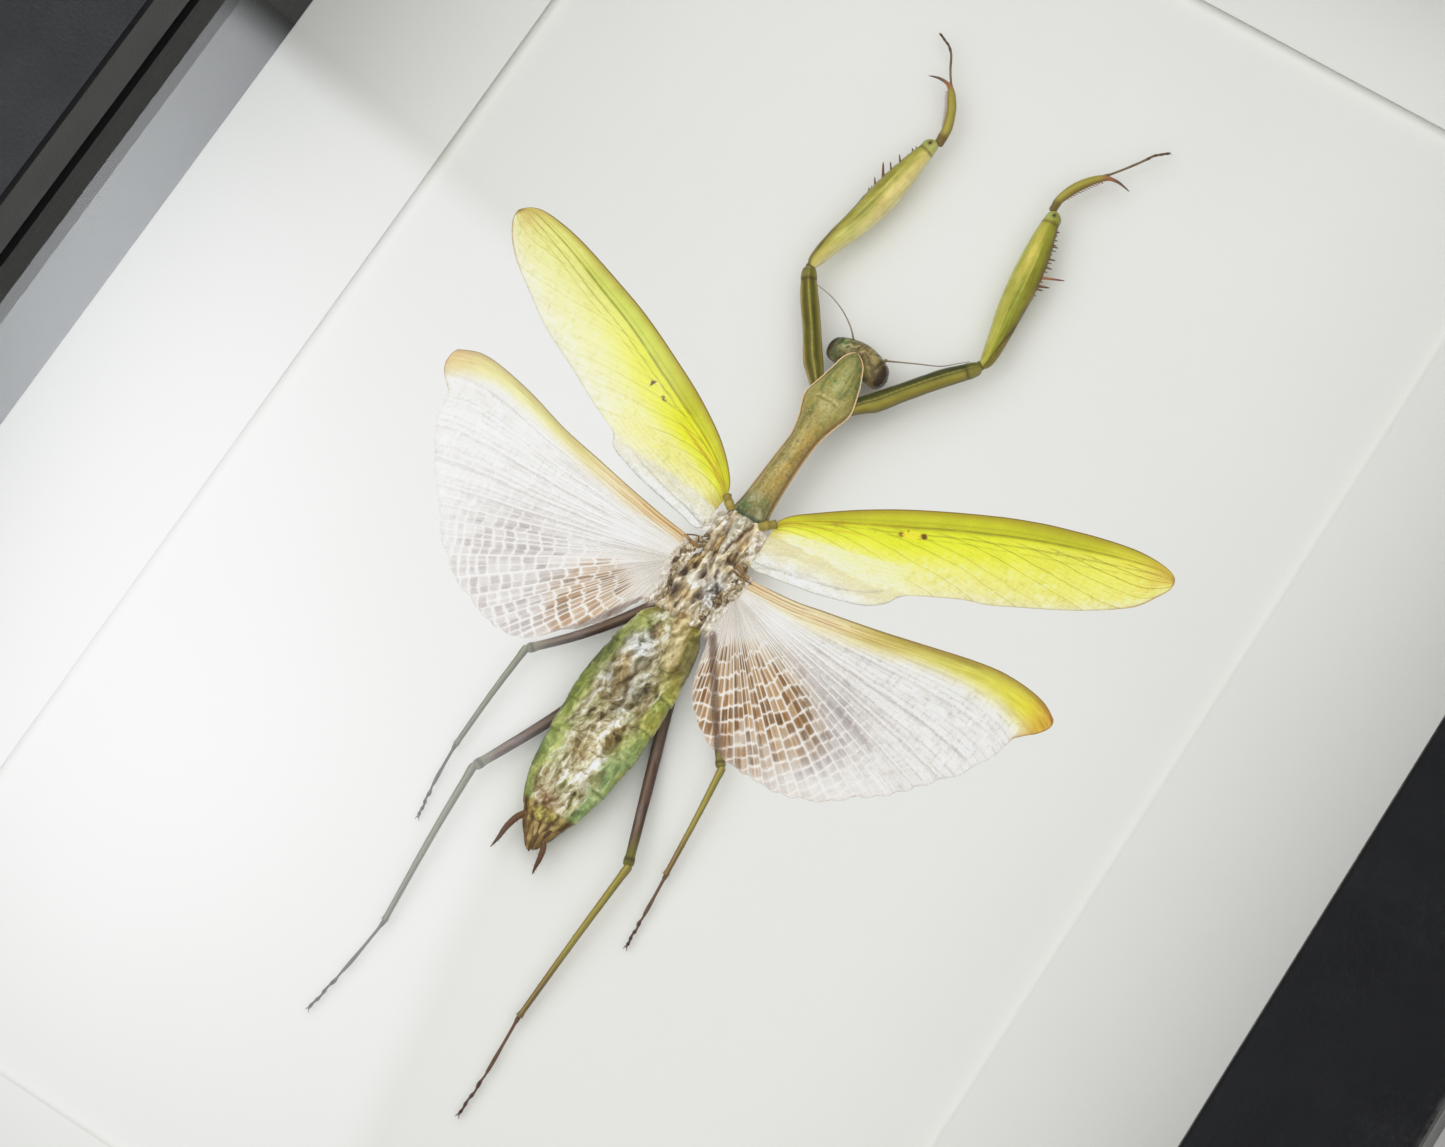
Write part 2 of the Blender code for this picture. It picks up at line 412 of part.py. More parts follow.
for name, x in [("hanger_nail_left", -17.5), ("hanger_nail_right", 17.5)]:
    bm = bmesh.new()
    # the head, then the shank pulled out of it, into its hole in the panel
    bmesh.ops.create_cone(bm, cap_ends=True, segments=16, radius1=1.9 * M, radius2=2.2 * M, depth=0.7 * M)
    inner = min(bm.faces, key=lambda f: -f.calc_center_median().z)
    bmesh.ops.inset_region(bm, faces=[inner], thickness=1.5 * M, use_even_offset=True)
    grown = bmesh.ops.extrude_face_region(bm, geom=[inner])
    bmesh.ops.delete(bm, geom=[inner], context="FACES_ONLY")
    bmesh.ops.translate(bm, vec=(0, 0, 3.2 * M), verts=[v for v in grown["geom"] if isinstance(v, bmesh.types.BMVert)])
    mesh = mesh_from(bm, name)
    smooth(mesh)
    nail = add(name, mesh, STEEL)
    nail.location = (x * M, (HANGER_Y + 1) * M, (HANGER_Z - GAP - 0.35) * M)
    bm = bmesh.new()
    bmesh.ops.create_cone(bm, cap_ends=True, segments=16, radius1=1.05 * M, radius2=1.05 * M, depth=6 * M)
    hole = cutter(add("hole_" + name, mesh_from(bm, "hole_" + name), None, CUTTERS))
    hole.location = (x * M, (HANGER_Y + 1) * M, (HANGER_Z + HANGER_T / 2 + 1.2) * M)
    cut(hanger, hole)
    cut(panel, hole)

# ---- insect ---------------------------------------------------------------------------------------------------
loft("pronotum", body_rings([(y, AXIS + 0.1 * (y - 20) / 20, w, a, b) for y, w, a, b in PRONOTUM]), 12, SHELL_GREEN)
loft("pterothorax", body_rings(PTEROTHORAX), 12, THORAX_TAN)
loft("abdomen", body_rings(ABDOMEN), 16, BODY_GREEN)
loft("head", [(x, y, FLOOR + HEAD_H, deep, tall) for x, y, deep, tall in HEAD], 12, SHELL_GREEN)

wing("forewing_left", FOREWING_LEFT, FOREWING_H, -3.2, WING_GREEN)
wing("forewing_right", FOREWING_RIGHT, FOREWING_H, 4.8, WING_GREEN)
wing("hindwing_left", HINDWING_LEFT, HINDWING_H, -3.4, WING_CLEAR)
wing("hindwing_right", HINDWING_RIGHT, HINDWING_H, 4.8, WING_CLEAR)

for side, legs in {
    "left": (FORELEG_LEFT, MIDLEG_LEFT, HINDLEG_LEFT),
    "right": (FORELEG_RIGHT, MIDLEG_RIGHT, HINDLEG_RIGHT),
}.items():
    for leg, segments in zip(("foreleg", "midleg", "hindleg"), legs):
        for segment, rows in segments.items():
            brown = leg != "foreleg" and segment == "femur" or segment == "tarsus"
            limb(f"{leg}_{side}_{segment}", rows, LEG_BROWN if brown else LEG_GREEN)

wire("antenna_left", ANTENNA_LEFT, LEG_BROWN, 0.16)
wire("antenna_right", ANTENNA_RIGHT, LEG_BROWN, 0.16)
wire("cercus_left", CERCUS_LEFT, LEG_BROWN)
wire("cercus_right", CERCUS_RIGHT, LEG_BROWN)
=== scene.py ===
"""The finish of the framed praying mantis: materials for the frame, and the insect's fine surface."""

import math

import bmesh
import bpy
import numpy as np
from mathutils import Matrix, Vector


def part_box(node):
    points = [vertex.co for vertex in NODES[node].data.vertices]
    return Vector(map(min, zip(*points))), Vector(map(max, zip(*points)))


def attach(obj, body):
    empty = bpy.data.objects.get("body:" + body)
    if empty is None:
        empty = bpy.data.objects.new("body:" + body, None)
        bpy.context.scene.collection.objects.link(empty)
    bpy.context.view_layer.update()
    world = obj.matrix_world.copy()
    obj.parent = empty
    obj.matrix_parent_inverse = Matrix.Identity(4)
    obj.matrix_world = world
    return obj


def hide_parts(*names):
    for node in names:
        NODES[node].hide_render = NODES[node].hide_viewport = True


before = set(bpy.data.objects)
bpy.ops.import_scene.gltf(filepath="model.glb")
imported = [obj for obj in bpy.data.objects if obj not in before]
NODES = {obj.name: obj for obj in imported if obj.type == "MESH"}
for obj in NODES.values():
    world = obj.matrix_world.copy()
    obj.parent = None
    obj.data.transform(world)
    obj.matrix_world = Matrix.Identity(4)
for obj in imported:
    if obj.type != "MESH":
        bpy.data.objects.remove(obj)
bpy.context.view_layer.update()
M = 0.001
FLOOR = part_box("mounting_board")[1].z / M  # the board's front, which the insect lies on, in mm
MAT_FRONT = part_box("window_mat")[1].z / M
GLASS_BACK, GLASS_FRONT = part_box("glass_pane")[0].z / M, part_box("glass_pane")[1].z / M
scene = bpy.context.scene


# ---- camera: the photograph's viewing angle -----------------------------------------------------------------------
# The photo looks down through the glass from the frame's lower right. The pane's refraction lifts what lies behind it
# by about a third of its thickness.
LIFT = (GLASS_FRONT - GLASS_BACK) * 0.355
CAMERA = Vector((134.25, -132.15, MAT_FRONT + LIFT + 529.9))
CAM_X, CAM_DOWN, CAM_VIEW = (Vector((0.83545, 0.54464, -0.0734)), Vector((0.49596, -0.80475, -0.3262)), Vector((-0.23673, 0.23612, -0.94245)))
FOCAL_PX = 4079.7
cam_data = bpy.data.cameras.new("camera")
cam_data.sensor_width = 36
cam_data.lens = FOCAL_PX / 1445 * 36
cam_data.clip_start = 0.02
cam = bpy.data.objects.new("camera", cam_data)
scene.collection.objects.link(cam)
turn = Matrix((CAM_X, -CAM_DOWN, -CAM_VIEW)).transposed().to_quaternion().to_matrix().to_4x4()
cam.matrix_world = Matrix.Translation(CAMERA * M) @ turn
scene.camera = cam


# ---- node helpers -------------------------------------------------------------------------------------------------
class Mat:
    """A Principled material and short calls that add nodes to it. Inputs are numbers, colours or sockets."""

    def __init__(self, name, **base):
        self.m = bpy.data.materials.new(name)
        self.m.use_nodes = True
        self.t = self.m.node_tree
        self.shader = self.t.nodes["Principled BSDF"]
        for key, value in base.items():
            self.put(self.shader.inputs[key.replace("_", " ")], value)

    def put(self, socket, value):
        if isinstance(value, bpy.types.NodeSocket):
            self.t.links.new(value, socket)
        elif isinstance(value, (tuple, list)) and len(value) == 3 and socket.type == "RGBA":
            socket.default_value = (*value, 1)
        elif value is not None:
            socket.default_value = value

    def set(self, **inputs):
        for key, value in inputs.items():
            self.put(self.shader.inputs[key.replace("_", " ")], value)
        return self

    def node(self, kind, props=None, out=0, **inputs):
        node = self.t.nodes.new(kind)
        for key, value in (props or {}).items():
            setattr(node, key, value)
        for key, value in inputs.items():
            self.put(node.inputs[int(key[1:])] if key[0] == "_" else node.inputs[key.replace("_", " ")], value)
        return node.outputs[out]

    def math(self, op, a, b=None, c=None, clamp=False):
        return self.node("ShaderNodeMath", {"operation": op, "use_clamp": clamp}, _0=a, _1=b, _2=c)

    def vec(self, op, a, b=None, out=0, scale=None):
        node = self.t.nodes.new("ShaderNodeVectorMath")
        node.operation = op
        self.put(node.inputs[0], a)
        self.put(node.inputs[1], b)
        if scale is not None:
            self.put(node.inputs[3], scale)
        return node.outputs[out]

    def mix(self, fac, a, b, blend="MIX"):
        node = self.t.nodes.new("ShaderNodeMix")
        node.data_type = "RGBA"
        node.blend_type = blend
        node.clamp_factor = True
        self.put(node.inputs[0], fac)
        self.put(node.inputs[6], a)
        self.put(node.inputs[7], b)
        return node.outputs[2]

    def map(self, value, low, high, to_low=0.0, to_high=1.0, smooth=False):
        return self.node("ShaderNodeMapRange", {"interpolation_type": "SMOOTHSTEP" if smooth else "LINEAR"},
                         _0=value, _1=low, _2=high, _3=to_low, _4=to_high)

    def ramp(self, fac, stops, kind="LINEAR"):
        node = self.t.nodes.new("ShaderNodeValToRGB")
        ramp = node.color_ramp
        ramp.interpolation = kind
        while len(ramp.elements) < len(stops):
            ramp.elements.new(0.5)
        for element, (place, colour) in zip(ramp.elements, stops):
            element.position = place
            element.color = (*colour, 1) if len(colour) == 3 else colour
        self.put(node.inputs[0], fac)
        return node.outputs[0]

    def coords(self, scale=(1, 1, 1), space="Object"):
        """Object coordinates in millimetres, stretched by scale."""
        base = self.node("ShaderNodeTexCoord", out={"Object": 3, "UV": 2}[space])
        factor = 1000 if space == "Object" else 1
        return self.vec("MULTIPLY", base, tuple(factor * s for s in scale))

    def axis(self, vector, which):
        return self.node("ShaderNodeSeparateXYZ", out="XYZ".index(which), _0=vector)

    def noise(self, vector, scale=1.0, detail=4.0, rough=0.55, lac=2.0, distort=0.0, out=0):
        return self.node("ShaderNodeTexNoise", out=out, Vector=vector, Scale=scale, Detail=detail, Roughness=rough,
                         Lacunarity=lac, Distortion=distort)

    def voronoi(self, vector, scale=1.0, feature="F1", out=0, random=1.0):
        return self.node("ShaderNodeTexVoronoi", {"feature": feature}, out=out, Vector=vector, Scale=scale, Randomness=random)

    def attr(self, name, out=2):
        return self.node("ShaderNodeAttribute", {"attribute_name": name}, out=out)

    def bump(self, height, distance, strength=1.0, normal=None):
        """A bump of distance millimetres for a height of 1."""
        return self.node("ShaderNodeBump", _0=strength, _1=distance * M, Height=height, Normal=normal)


def srgb(*c):
    """8-bit screen colour to linear."""
    return tuple((v / 255 / 12.92) if v / 255 <= 0.04045 else ((v / 255 + 0.055) / 1.055) ** 2.4 for v in c)


# ---- frame materials ------------------------------------------------------------------------------------------------
def lacquer():
    m = Mat("black_lacquer_finish", IOR=1.5)
    p = m.coords()
    peel = m.noise(p, 1.6, 5, 0.6)
    grain = m.noise(m.vec("MULTIPLY", p, (1, 1, 1)), 0.11, 4, 0.6)
    fine = m.noise(p, 7.0, 3, 0.6)
    ax = m.math("ABSOLUTE", m.axis(p, "X"))
    ay = m.math("ABSOLUTE", m.axis(p, "Y"))
    z = m.axis(p, "Z")
    # lighter, rougher outer front edges: rubbed wear, with a painted highlight along them
    edge_x = m.map(ax, 121.3, 122.5, 0, 1, True)
    edge_y = m.map(ay, 164.7, 165.9, 0, 1, True)
    front = m.map(z, 52.3, 53.4, 0, 1, True)
    rub_and_highlight = m.math("MULTIPLY", m.math("MULTIPLY", m.math("MAXIMUM", edge_x, edge_y), front), m.map(m.noise(p, 0.25, 5, 0.65), 0.42, 0.62))
    scuff_band = m.map(m.noise(m.vec("MULTIPLY", p, (0.5, 1.7, 1.0)), 0.05, 6, 0.68), 0.53, 0.75)
    scuff = m.math("MULTIPLY", scuff_band, m.map(m.noise(p, 1.1, 5, 0.7), 0.42, 0.68))
    colour = m.mix(grain, (0.0040, 0.0043, 0.0052), (0.0085, 0.0088, 0.0102))
    colour = m.mix(m.math("MULTIPLY", scuff, 0.35), colour, (0.030, 0.031, 0.034))
    colour = m.mix(m.math("MULTIPLY", rub_and_highlight, 0.7), colour, (0.085, 0.083, 0.080))
    rough = m.math("ADD", m.map(grain, 0.3, 0.7, 0.29, 0.37), m.math("MULTIPLY", scuff, 0.14))
    rough = m.math("ADD", rough, m.math("MULTIPLY", rub_and_highlight, 0.15))
    height = m.math("ADD", m.math("MULTIPLY", peel, 0.7), m.math("MULTIPLY", fine, 0.3))
    m.set(Base_Color=colour, Roughness=rough, Normal=m.bump(height, 0.05), Specular_IOR_Level=0.5)
    return m.m


def liner():
    m = Mat("black_liner_finish")
    p = m.coords()
    grain = m.noise(m.vec("MULTIPLY", p, (1, 1, 3)), 0.35, 6, 0.65)
    speck = m.noise(p, 3.2, 4, 0.6)
    m.set(Base_Color=m.mix(grain, (0.006, 0.006, 0.0065), (0.014, 0.014, 0.015)), Roughness=m.map(speck, 0.3, 0.7, 0.48, 0.68),
          Normal=m.bump(m.math("ADD", grain, m.math("MULTIPLY", speck, 0.5)), 0.06))
    return m.m


def paper_height(m, p):
    """Fine tooth of mat board: fibres in two directions, under a fine grain."""
    a = m.noise(m.vec("MULTIPLY", p, (2.6, 0.5, 1)), 1.3, 3, 0.6)
    b = m.noise(m.vec("MULTIPLY", p, (0.5, 2.6, 1)), 1.3, 3, 0.6)
    c = m.noise(p, 4.5, 3, 0.6)
    return m.math("ADD", m.math("ADD", m.math("MULTIPLY", a, 0.35), m.math("MULTIPLY", b, 0.35)), m.math("MULTIPLY", c, 0.45))


def specks(m, p, density=0.085, size=0.13):
    """Sparse dust: a dark fleck in few of the cells."""
    flat = m.vec("MULTIPLY", p, (1, 1, 0))
    wob = m.vec("ADD", flat, m.vec("SCALE", m.noise(p, 3.0, 2, 0.5, out=1), None, scale=0.28))
    far = m.voronoi(wob, density)
    pick = m.axis(m.voronoi(wob, density, out=1), "X")
    size_here = m.map(m.axis(m.voronoi(wob, density, out=1), "Y"), 0, 1, 0.35 * size * density, size * density)
    dot = m.math("LESS_THAN", far, size_here)
    return m.math("MULTIPLY", dot, m.math("GREATER_THAN", pick, 0.55))


def white_board(name, core):
    m = Mat(name, Roughness=0.92, Specular_IOR_Level=0.25)
    p = m.coords()
    h = paper_height(m, p)
    cloud = m.noise(p, 0.03, 5, 0.6)
    colour = m.mix(m.map(cloud, 0.3, 0.7), (0.800, 0.800, 0.757), (0.820, 0.820, 0.778))
    colour = m.mix(m.map(h, 0.42, 0.72, 0, 0.16), colour, (0.72, 0.72, 0.68))
    if core:
        # the bevel shows the board's core: creamier, and darker as painted shade, with a painted highlight line along
        # both cut edges
        n_z = m.axis(m.node("ShaderNodeNewGeometry", out=1), "Z")
        cut = m.math("MULTIPLY", m.math("LESS_THAN", n_z, 0.9), m.math("GREATER_THAN", n_z, 0.3))
        z = m.axis(p, "Z")
        cut_edge_highlight = m.math("ADD", m.map(z, MAT_FRONT - 0.14, MAT_FRONT - 0.04), m.map(z, MAT_FRONT - 0.99, MAT_FRONT - 1.12))
        core_and_shade_colour = m.mix(m.math("MULTIPLY", cut_edge_highlight, 0.6, clamp=True), (0.585, 0.585, 0.560), (0.80, 0.80, 0.78))
        colour = m.mix(cut, colour, core_and_shade_colour)
    dust = specks(m, p)
    colour = m.mix(m.math("MULTIPLY", dust, 0.75), colour, (0.12, 0.10, 0.09))
    m.set(Base_Color=colour, Normal=m.bump(h, 0.035))
    return m.m


def glass():
    m = Mat("clear_glass", Base_Color=(1, 1, 1, 1), Roughness=0.0, IOR=1.5, Transmission_Weight=1.0)
    p = m.coords()
    m.set(Base_Color=m.mix(m.noise(p, 0.02, 3, 0.5), (0.992, 0.998, 0.995), (0.998, 1.0, 0.998)),
          Normal=m.bump(m.noise(p, 0.02, 2, 0.5), 0.02))
    return m.m


def fibreboard():
    m = Mat("fibreboard_finish")
    p = m.coords()
    fibres = m.noise(m.vec("MULTIPLY", p, (1, 1, 1)), 0.9, 8, 0.75, distort=1.2)
    blots = m.noise(p, 0.06, 5, 0.6)
    strands = m.voronoi(m.vec("ADD", p, m.vec("SCALE", m.noise(p, 0.8, 3, out=1), None, scale=2.0)), 0.55, "DISTANCE_TO_EDGE")
    colour = m.mix(fibres, (0.075, 0.043, 0.024), (0.20, 0.125, 0.070))
    colour = m.mix(m.map(blots, 0.45, 0.7, 0, 0.5), colour, (0.095, 0.058, 0.034))
    colour = m.mix(m.map(strands, 0.0, 0.08, 0.5, 0.0), colour, (0.27, 0.18, 0.11))
    m.set(Base_Color=colour, Roughness=m.map(fibres, 0.3, 0.7, 0.62, 0.85), Normal=m.bump(m.math("ADD", fibres, m.math("MULTIPLY", strands, 0.4)), 0.12))
    return m.m


def zinc():
    m = Mat("zinc_steel", Metallic=1.0)
    p = m.coords()
    spangle = m.axis(m.voronoi(p, 0.7, out=1), "X")
    brushed = m.noise(m.vec("MULTIPLY", p, (0.3, 6, 6)), 1.0, 3, 0.6)
    stain = m.map(m.noise(p, 0.35, 6, 0.7), 0.5, 0.75)
    colour = m.mix(spangle, (0.42, 0.43, 0.44), (0.62, 0.62, 0.61))
    colour = m.mix(m.math("MULTIPLY", stain, 0.5), colour, (0.20, 0.17, 0.13))
    m.set(Base_Color=colour, Roughness=m.math("ADD", m.map(brushed, 0.2, 0.8, 0.24, 0.40), m.math("MULTIPLY", stain, 0.2)), Normal=m.bump(brushed, 0.02))
    return m.m


def wear(node, material, slot=None):
    NODES[node].data.materials.clear()
    NODES[node].data.materials.append(material)


LACQUER, LINER, MAT_BOARD, BACKING, GLASS, FIBRE, ZINC = (
    lacquer(), liner(), white_board("mat_board_finish", True), white_board("mounting_board_finish", False), glass(), fibreboard(), zinc())
for name in NODES:
    if name.startswith("frame_rail"):
        wear(name, LACQUER)
    elif name.startswith("spacer"):
        wear(name, LINER)
    elif name.startswith(("tab_", "hanger")):
        wear(name, ZINC)
wear("window_mat", MAT_BOARD)
wear("mounting_board", BACKING)
wear("back_panel", FIBRE)
wear("glass_pane", GLASS)
# The pane lets the lamps through unweakened, so that what it covers is lit as in air.
NODES["glass_pane"].visible_shadow = False
NODES["glass_pane"].visible_diffuse = False

# ---- insect -------------------------------------------------------------------------------------------------------
# Everything below is worked out in millimetres; heights h are above the board.
def step(x, a, b):
    t = np.clip((np.asarray(x, float) - a) / (b - a), 0, 1)
    return t * t * (3 - 2 * t)


def bump_at(x, place, width):
    return np.exp(-((x - place) / width) ** 2)


DICE = np.random.RandomState(11).rand(8192)


def dice(i, j=0, k=0, seed=0):
    """A fixed random number, 0 to 1, for whole numbers i, j, k."""
    i, j, k = (np.asarray(np.floor(n)).astype(np.int64) for n in (i, j, k))
    return DICE[((i * 73856093) ^ (j * 19349663) ^ (k * 83492791) ^ (seed * 2654435)) & 8191]


def noise(x, y, z=0.0, seed=0):
    x, y, z = np.broadcast_arrays(x, y, z)
    i, j, k = np.floor(x), np.floor(y), np.floor(z)
    u, v, w = ((n - m) ** 2 * (3 - 2 * (n - m)) for n, m in ((x, i), (y, j), (z, k)))
    out = 0
    for a in (0, 1):
        for b in (0, 1):
            for c in (0, 1):
                out = out + dice(i + a, j + b, k + c, seed) * (u if a else 1 - u) * (v if b else 1 - v) * (w if c else 1 - w)
    return out


def fbm(x, y, z=0.0, octaves=4, seed=0, gain=0.5):
    """Rough noise around 0, about -1 to 1."""
    total, size, whole = 0, 1.0, 0
    for o in range(octaves):
        total = total + size * (noise(np.asarray(x) * 2 ** o, np.asarray(y) * 2 ** o, np.asarray(z) * 2 ** o, seed + o) - 0.5)
        whole += size
        size *= gain
    return total * 2 / whole


def ridged(x, y, z=0.0, octaves=3, seed=0):
    """Creased noise, 0 to 1, with sharp crests."""
    total, size, whole = 0, 1.0, 0
    for o in range(octaves):
        total = total + size * (1 - abs(2 * noise(np.asarray(x) * 2 ** o, np.asarray(y) * 2 ** o, np.asarray(z) * 2 ** o, seed + o) - 1)) ** 2
        whole += size
        size *= 0.5
    return total / whole


def facets(x, y, size, seed=0):
    """Flat, creased pieces of about one size: a random number for each piece, its lean, and the distance to the next crease."""
    px, py = x / size, y / size
    ix, iy = np.floor(px), np.floor(py)
    best = np.full(np.shape(px), 9.0)
    second, value, lean = best.copy(), 0 * best, 0 * best
    for dx in (-1, 0, 1):
        for dy in (-1, 0, 1):
            i, j = ix + dx, iy + dy
            fx, fy = i + dice(i, j, 0, seed), j + dice(i, j, 1, seed)
            far = np.hypot(px - fx, py - fy)
            nearer = far < best
            second = np.where(nearer, best, np.minimum(second, far))
            value = np.where(nearer, dice(i, j, 2, seed), value)
            lean = np.where(nearer, (dice(i, j, 3, seed) - 0.5) * (px - fx) + (dice(i, j, 4, seed) - 0.5) * (py - fy), lean)
            best = np.where(nearer, far, best)
    return value, lean, second - best


def crumple(x, y, size, seed=0, count=6):
    """Straight-creased folds like crushed foil: height 0 to 1, how far each flat piece leans to the window (painted as
    light), and thin lines along its crests and its valleys (painted highlights and painted shade)."""
    height, lean, whole = 0, 0, 0
    crest, valley_shade = np.zeros(np.shape(x)), np.zeros(np.shape(x))
    for i in range(count):
        turn = np.pi * (i + 0.7 * float(dice(i, 1, 0, seed))) / count
        wave = size * (0.6 + 1.3 * float(dice(i, 2, 0, seed)))
        f = ((x * np.cos(turn) + y * np.sin(turn)) / wave + float(dice(i, 3, 0, seed))) % 1
        height = height + abs(2 * f - 1) * wave
        lean = lean + np.sign(f - 0.5) * (0.906 * np.cos(turn) - 0.423 * np.sin(turn))
        whole += wave
        here = step(noise(x * 0.55, y * 0.55, i * 5.0, seed), 0.45, 0.65)
        crest = np.maximum(crest, np.exp(-(np.minimum(f, 1 - f) * wave / 0.07) ** 2) * here)
        valley_shade = np.maximum(valley_shade, np.exp(-((f - 0.5) * wave / 0.08) ** 2) * here)
    return height / whole, lean / count, crest, valley_shade


def tone(*colour):
    return np.array(colour, float)


def blend(base, colour, share):
    """Lays a colour over base where share is 1."""
    share = np.clip(np.asarray(share, float), 0, 1)[..., None]
    return base * (1 - share) + np.asarray(colour, float) * share


def along(place, stops):
    """Colours in order along a line: stops are (place, colour)."""
    at = [s[0] for s in stops]
    return np.stack([np.interp(place, at, [s[1][c] for s in stops]) for c in range(3)], -1)


def linear(colour):
    c = np.clip(colour, 0, 255) / 255
    return np.where(c <= 0.04045, c / 12.92, ((c + 0.055) / 1.055) ** 2.4)


def curve_through(points, steps, closed=False):
    """A smooth run of points through the given ones (Catmull-Rom)."""
    pts = np.array(points, float)
    count = len(pts)
    out = []
    for i in range(count if closed else count - 1):
        a, b, c, d = (pts[(i + k - 1) % count] if closed else pts[min(max(i + k - 1, 0), count - 1)] for k in range(4))
        for t in np.arange(steps) / steps:
            out.append(0.5 * (2 * b + (c - a) * t + (2 * a - 5 * b + 4 * c - d) * t * t + (3 * b - a - 3 * c + d) * t ** 3))
    if not closed:
        out.append(pts[-1])
    return np.array(out)


def lengths(pts):
    return np.r_[0, np.cumsum(np.linalg.norm(np.diff(pts, axis=0), axis=1))]


def spaced(pts, where):
    """Points at the given shares of a run's length."""
    at = lengths(pts)
    return np.stack([np.interp(np.asarray(where) * at[-1], at, pts[:, c]) for c in range(pts.shape[1])], -1)


def near_line(x, y, pts):
    """Distance of points from a run of segments, and how far along the run the nearest place is, 0 to 1."""
    best, where = np.full(np.shape(x), 1e9), np.zeros(np.shape(x))
    at = lengths(np.array(pts, float))
    for i, ((ax, ay), (bx, by)) in enumerate(zip(pts, pts[1:])):
        dx, dy = bx - ax, by - ay
        t = np.clip(((x - ax) * dx + (y - ay) * dy) / (dx * dx + dy * dy), 0, 1)
        d = np.hypot(x - ax - t * dx, y - ay - t * dy)
        hit = d < best
        best = np.where(hit, d, best)
        where = np.where(hit, (at[i] + t * (at[i + 1] - at[i])) / at[-1], where)
    return best, where


class Skin:
    """Gathers the surfaces of one piece, with a colour, an opacity and a gloss at each point."""

    def __init__(self):
        self.v, self.f, self.c, self.o, self.g, self.count = [], [], [], [], [], 0

    def add(self, verts, faces, colour, cover=1.0, gloss=0.5):
        verts = np.asarray(verts, float).reshape(-1, 3)
        n = len(verts)
        self.v.append(verts)
        self.f += [tuple(i + self.count for i in face) for face in faces]
        self.c.append(np.broadcast_to(np.asarray(colour, float).reshape(-1, 3), (n, 3)))
        self.o.append(np.broadcast_to(np.asarray(cover, float).reshape(-1), (n,)))
        self.g.append(np.broadcast_to(np.asarray(gloss, float).reshape(-1), (n,)))
        self.count += n

    def sheet(self, top, colour, cover=1.0, gloss=0.5, thick=0.07, coarse=4):
        """A thin closed plate: a fine upper face, a coarser lower one, and their rim."""
        n, m = top.shape[0] - 1, top.shape[1] - 1
        colour = np.broadcast_to(colour, (n + 1, m + 1, 3))
        cover, gloss = (np.broadcast_to(a, (n + 1, m + 1)) for a in (cover, gloss))
        grid = np.arange((n + 1) * (m + 1)).reshape(n + 1, m + 1)
        faces = np.stack([grid[:-1, :-1], grid[1:, :-1], grid[1:, 1:], grid[:-1, 1:]], -1).reshape(-1, 4).tolist()
        low = top[::coarse, ::coarse] - [0, 0, thick]
        under = np.arange(low.shape[0] * low.shape[1]).reshape(low.shape[:2]) + grid.size
        faces += np.stack([under[:-1, :-1], under[:-1, 1:], under[1:, 1:], under[1:, :-1]], -1).reshape(-1, 4).tolist()
        for fine, rough in ((grid[0], under[0]), (grid[:, -1], under[:, -1]), (grid[-1, ::-1], under[-1, ::-1]), (grid[::-1, 0], under[::-1, 0])):
            half = coarse // 2
            for k in range(len(rough) - 1):
                a, b, f = rough[k], rough[k + 1], fine[k * coarse:(k + 1) * coarse + 1]
                faces += [(a, f[i + 1], f[i]) for i in range(half)] + [(a, b, f[half])] + [(b, f[i + 1], f[i]) for i in range(half, coarse)]
        every = lambda a: np.concatenate([a.reshape(-1, *a.shape[2:]), a[::coarse, ::coarse].reshape(-1, *a.shape[2:])])
        self.add(np.concatenate([top.reshape(-1, 3), low.reshape(-1, 3)]), faces, every(colour), every(cover), every(gloss))

    def closed(self, rings, colour, cover=1.0, gloss=0.5, caps=True):
        """A skin over rings of points, each ring closed on itself."""
        n, m = rings.shape[:2]
        grid = np.arange(n * m).reshape(n, m)
        nxt = np.roll(grid, -1, 1)
        faces = np.stack([grid[:-1], nxt[:-1], nxt[1:], grid[1:]], -1).reshape(-1, 4).tolist()
        verts = rings.reshape(-1, 3)
        colour = np.broadcast_to(colour, (n, m, 3)).reshape(-1, 3)
        cover, gloss = (np.broadcast_to(a, (n, m)).reshape(-1) for a in (cover, gloss))
        if caps:
            verts = np.concatenate([verts, [rings[0].mean(0), rings[-1].mean(0)]])
            colour = np.concatenate([colour, colour[[0, -1]]])
            cover, gloss = (np.concatenate([a, a[[0, -1]]]) for a in (cover, gloss))
            faces += [(n * m, b, a) for a, b in zip(grid[0], nxt[0])] + [(n * m + 1, a, b) for a, b in zip(grid[-1], nxt[-1])]
        self.add(verts, faces, colour, cover, gloss)

    def tube(self, pts, radii, colour, sides=6, cover=1.0, gloss=0.5, flat=1.0):
        """A round rod along pts. radii, colour, cover and gloss may be given per point."""
        pts = np.asarray(pts, float)
        n = len(pts)
        ahead = np.gradient(pts, axis=0)
        ahead /= np.linalg.norm(ahead, axis=1)[:, None] + 1e-12
        side = np.cross(ahead, [0, 0, 1.0])
        length = np.linalg.norm(side, axis=1)[:, None]
        side = np.where(length > 0.05, side / (length + 1e-12), [1.0, 0, 0])
        up = np.cross(side, ahead)
        turn = 2 * np.pi * np.arange(sides) / sides
        radii = np.broadcast_to(radii, (n,))[:, None, None]
        rings = pts[:, None] + radii * (side[:, None] * np.cos(turn)[None, :, None] + flat * up[:, None] * np.sin(turn)[None, :, None])
        spread = lambda a, shape: np.broadcast_to(np.asarray(a, float)[:, None] if np.ndim(a) >= shape else a, (n, sides) + ((3,) if shape == 2 else ()))
        self.closed(rings, spread(colour, 2), spread(cover, 1), spread(gloss, 1))

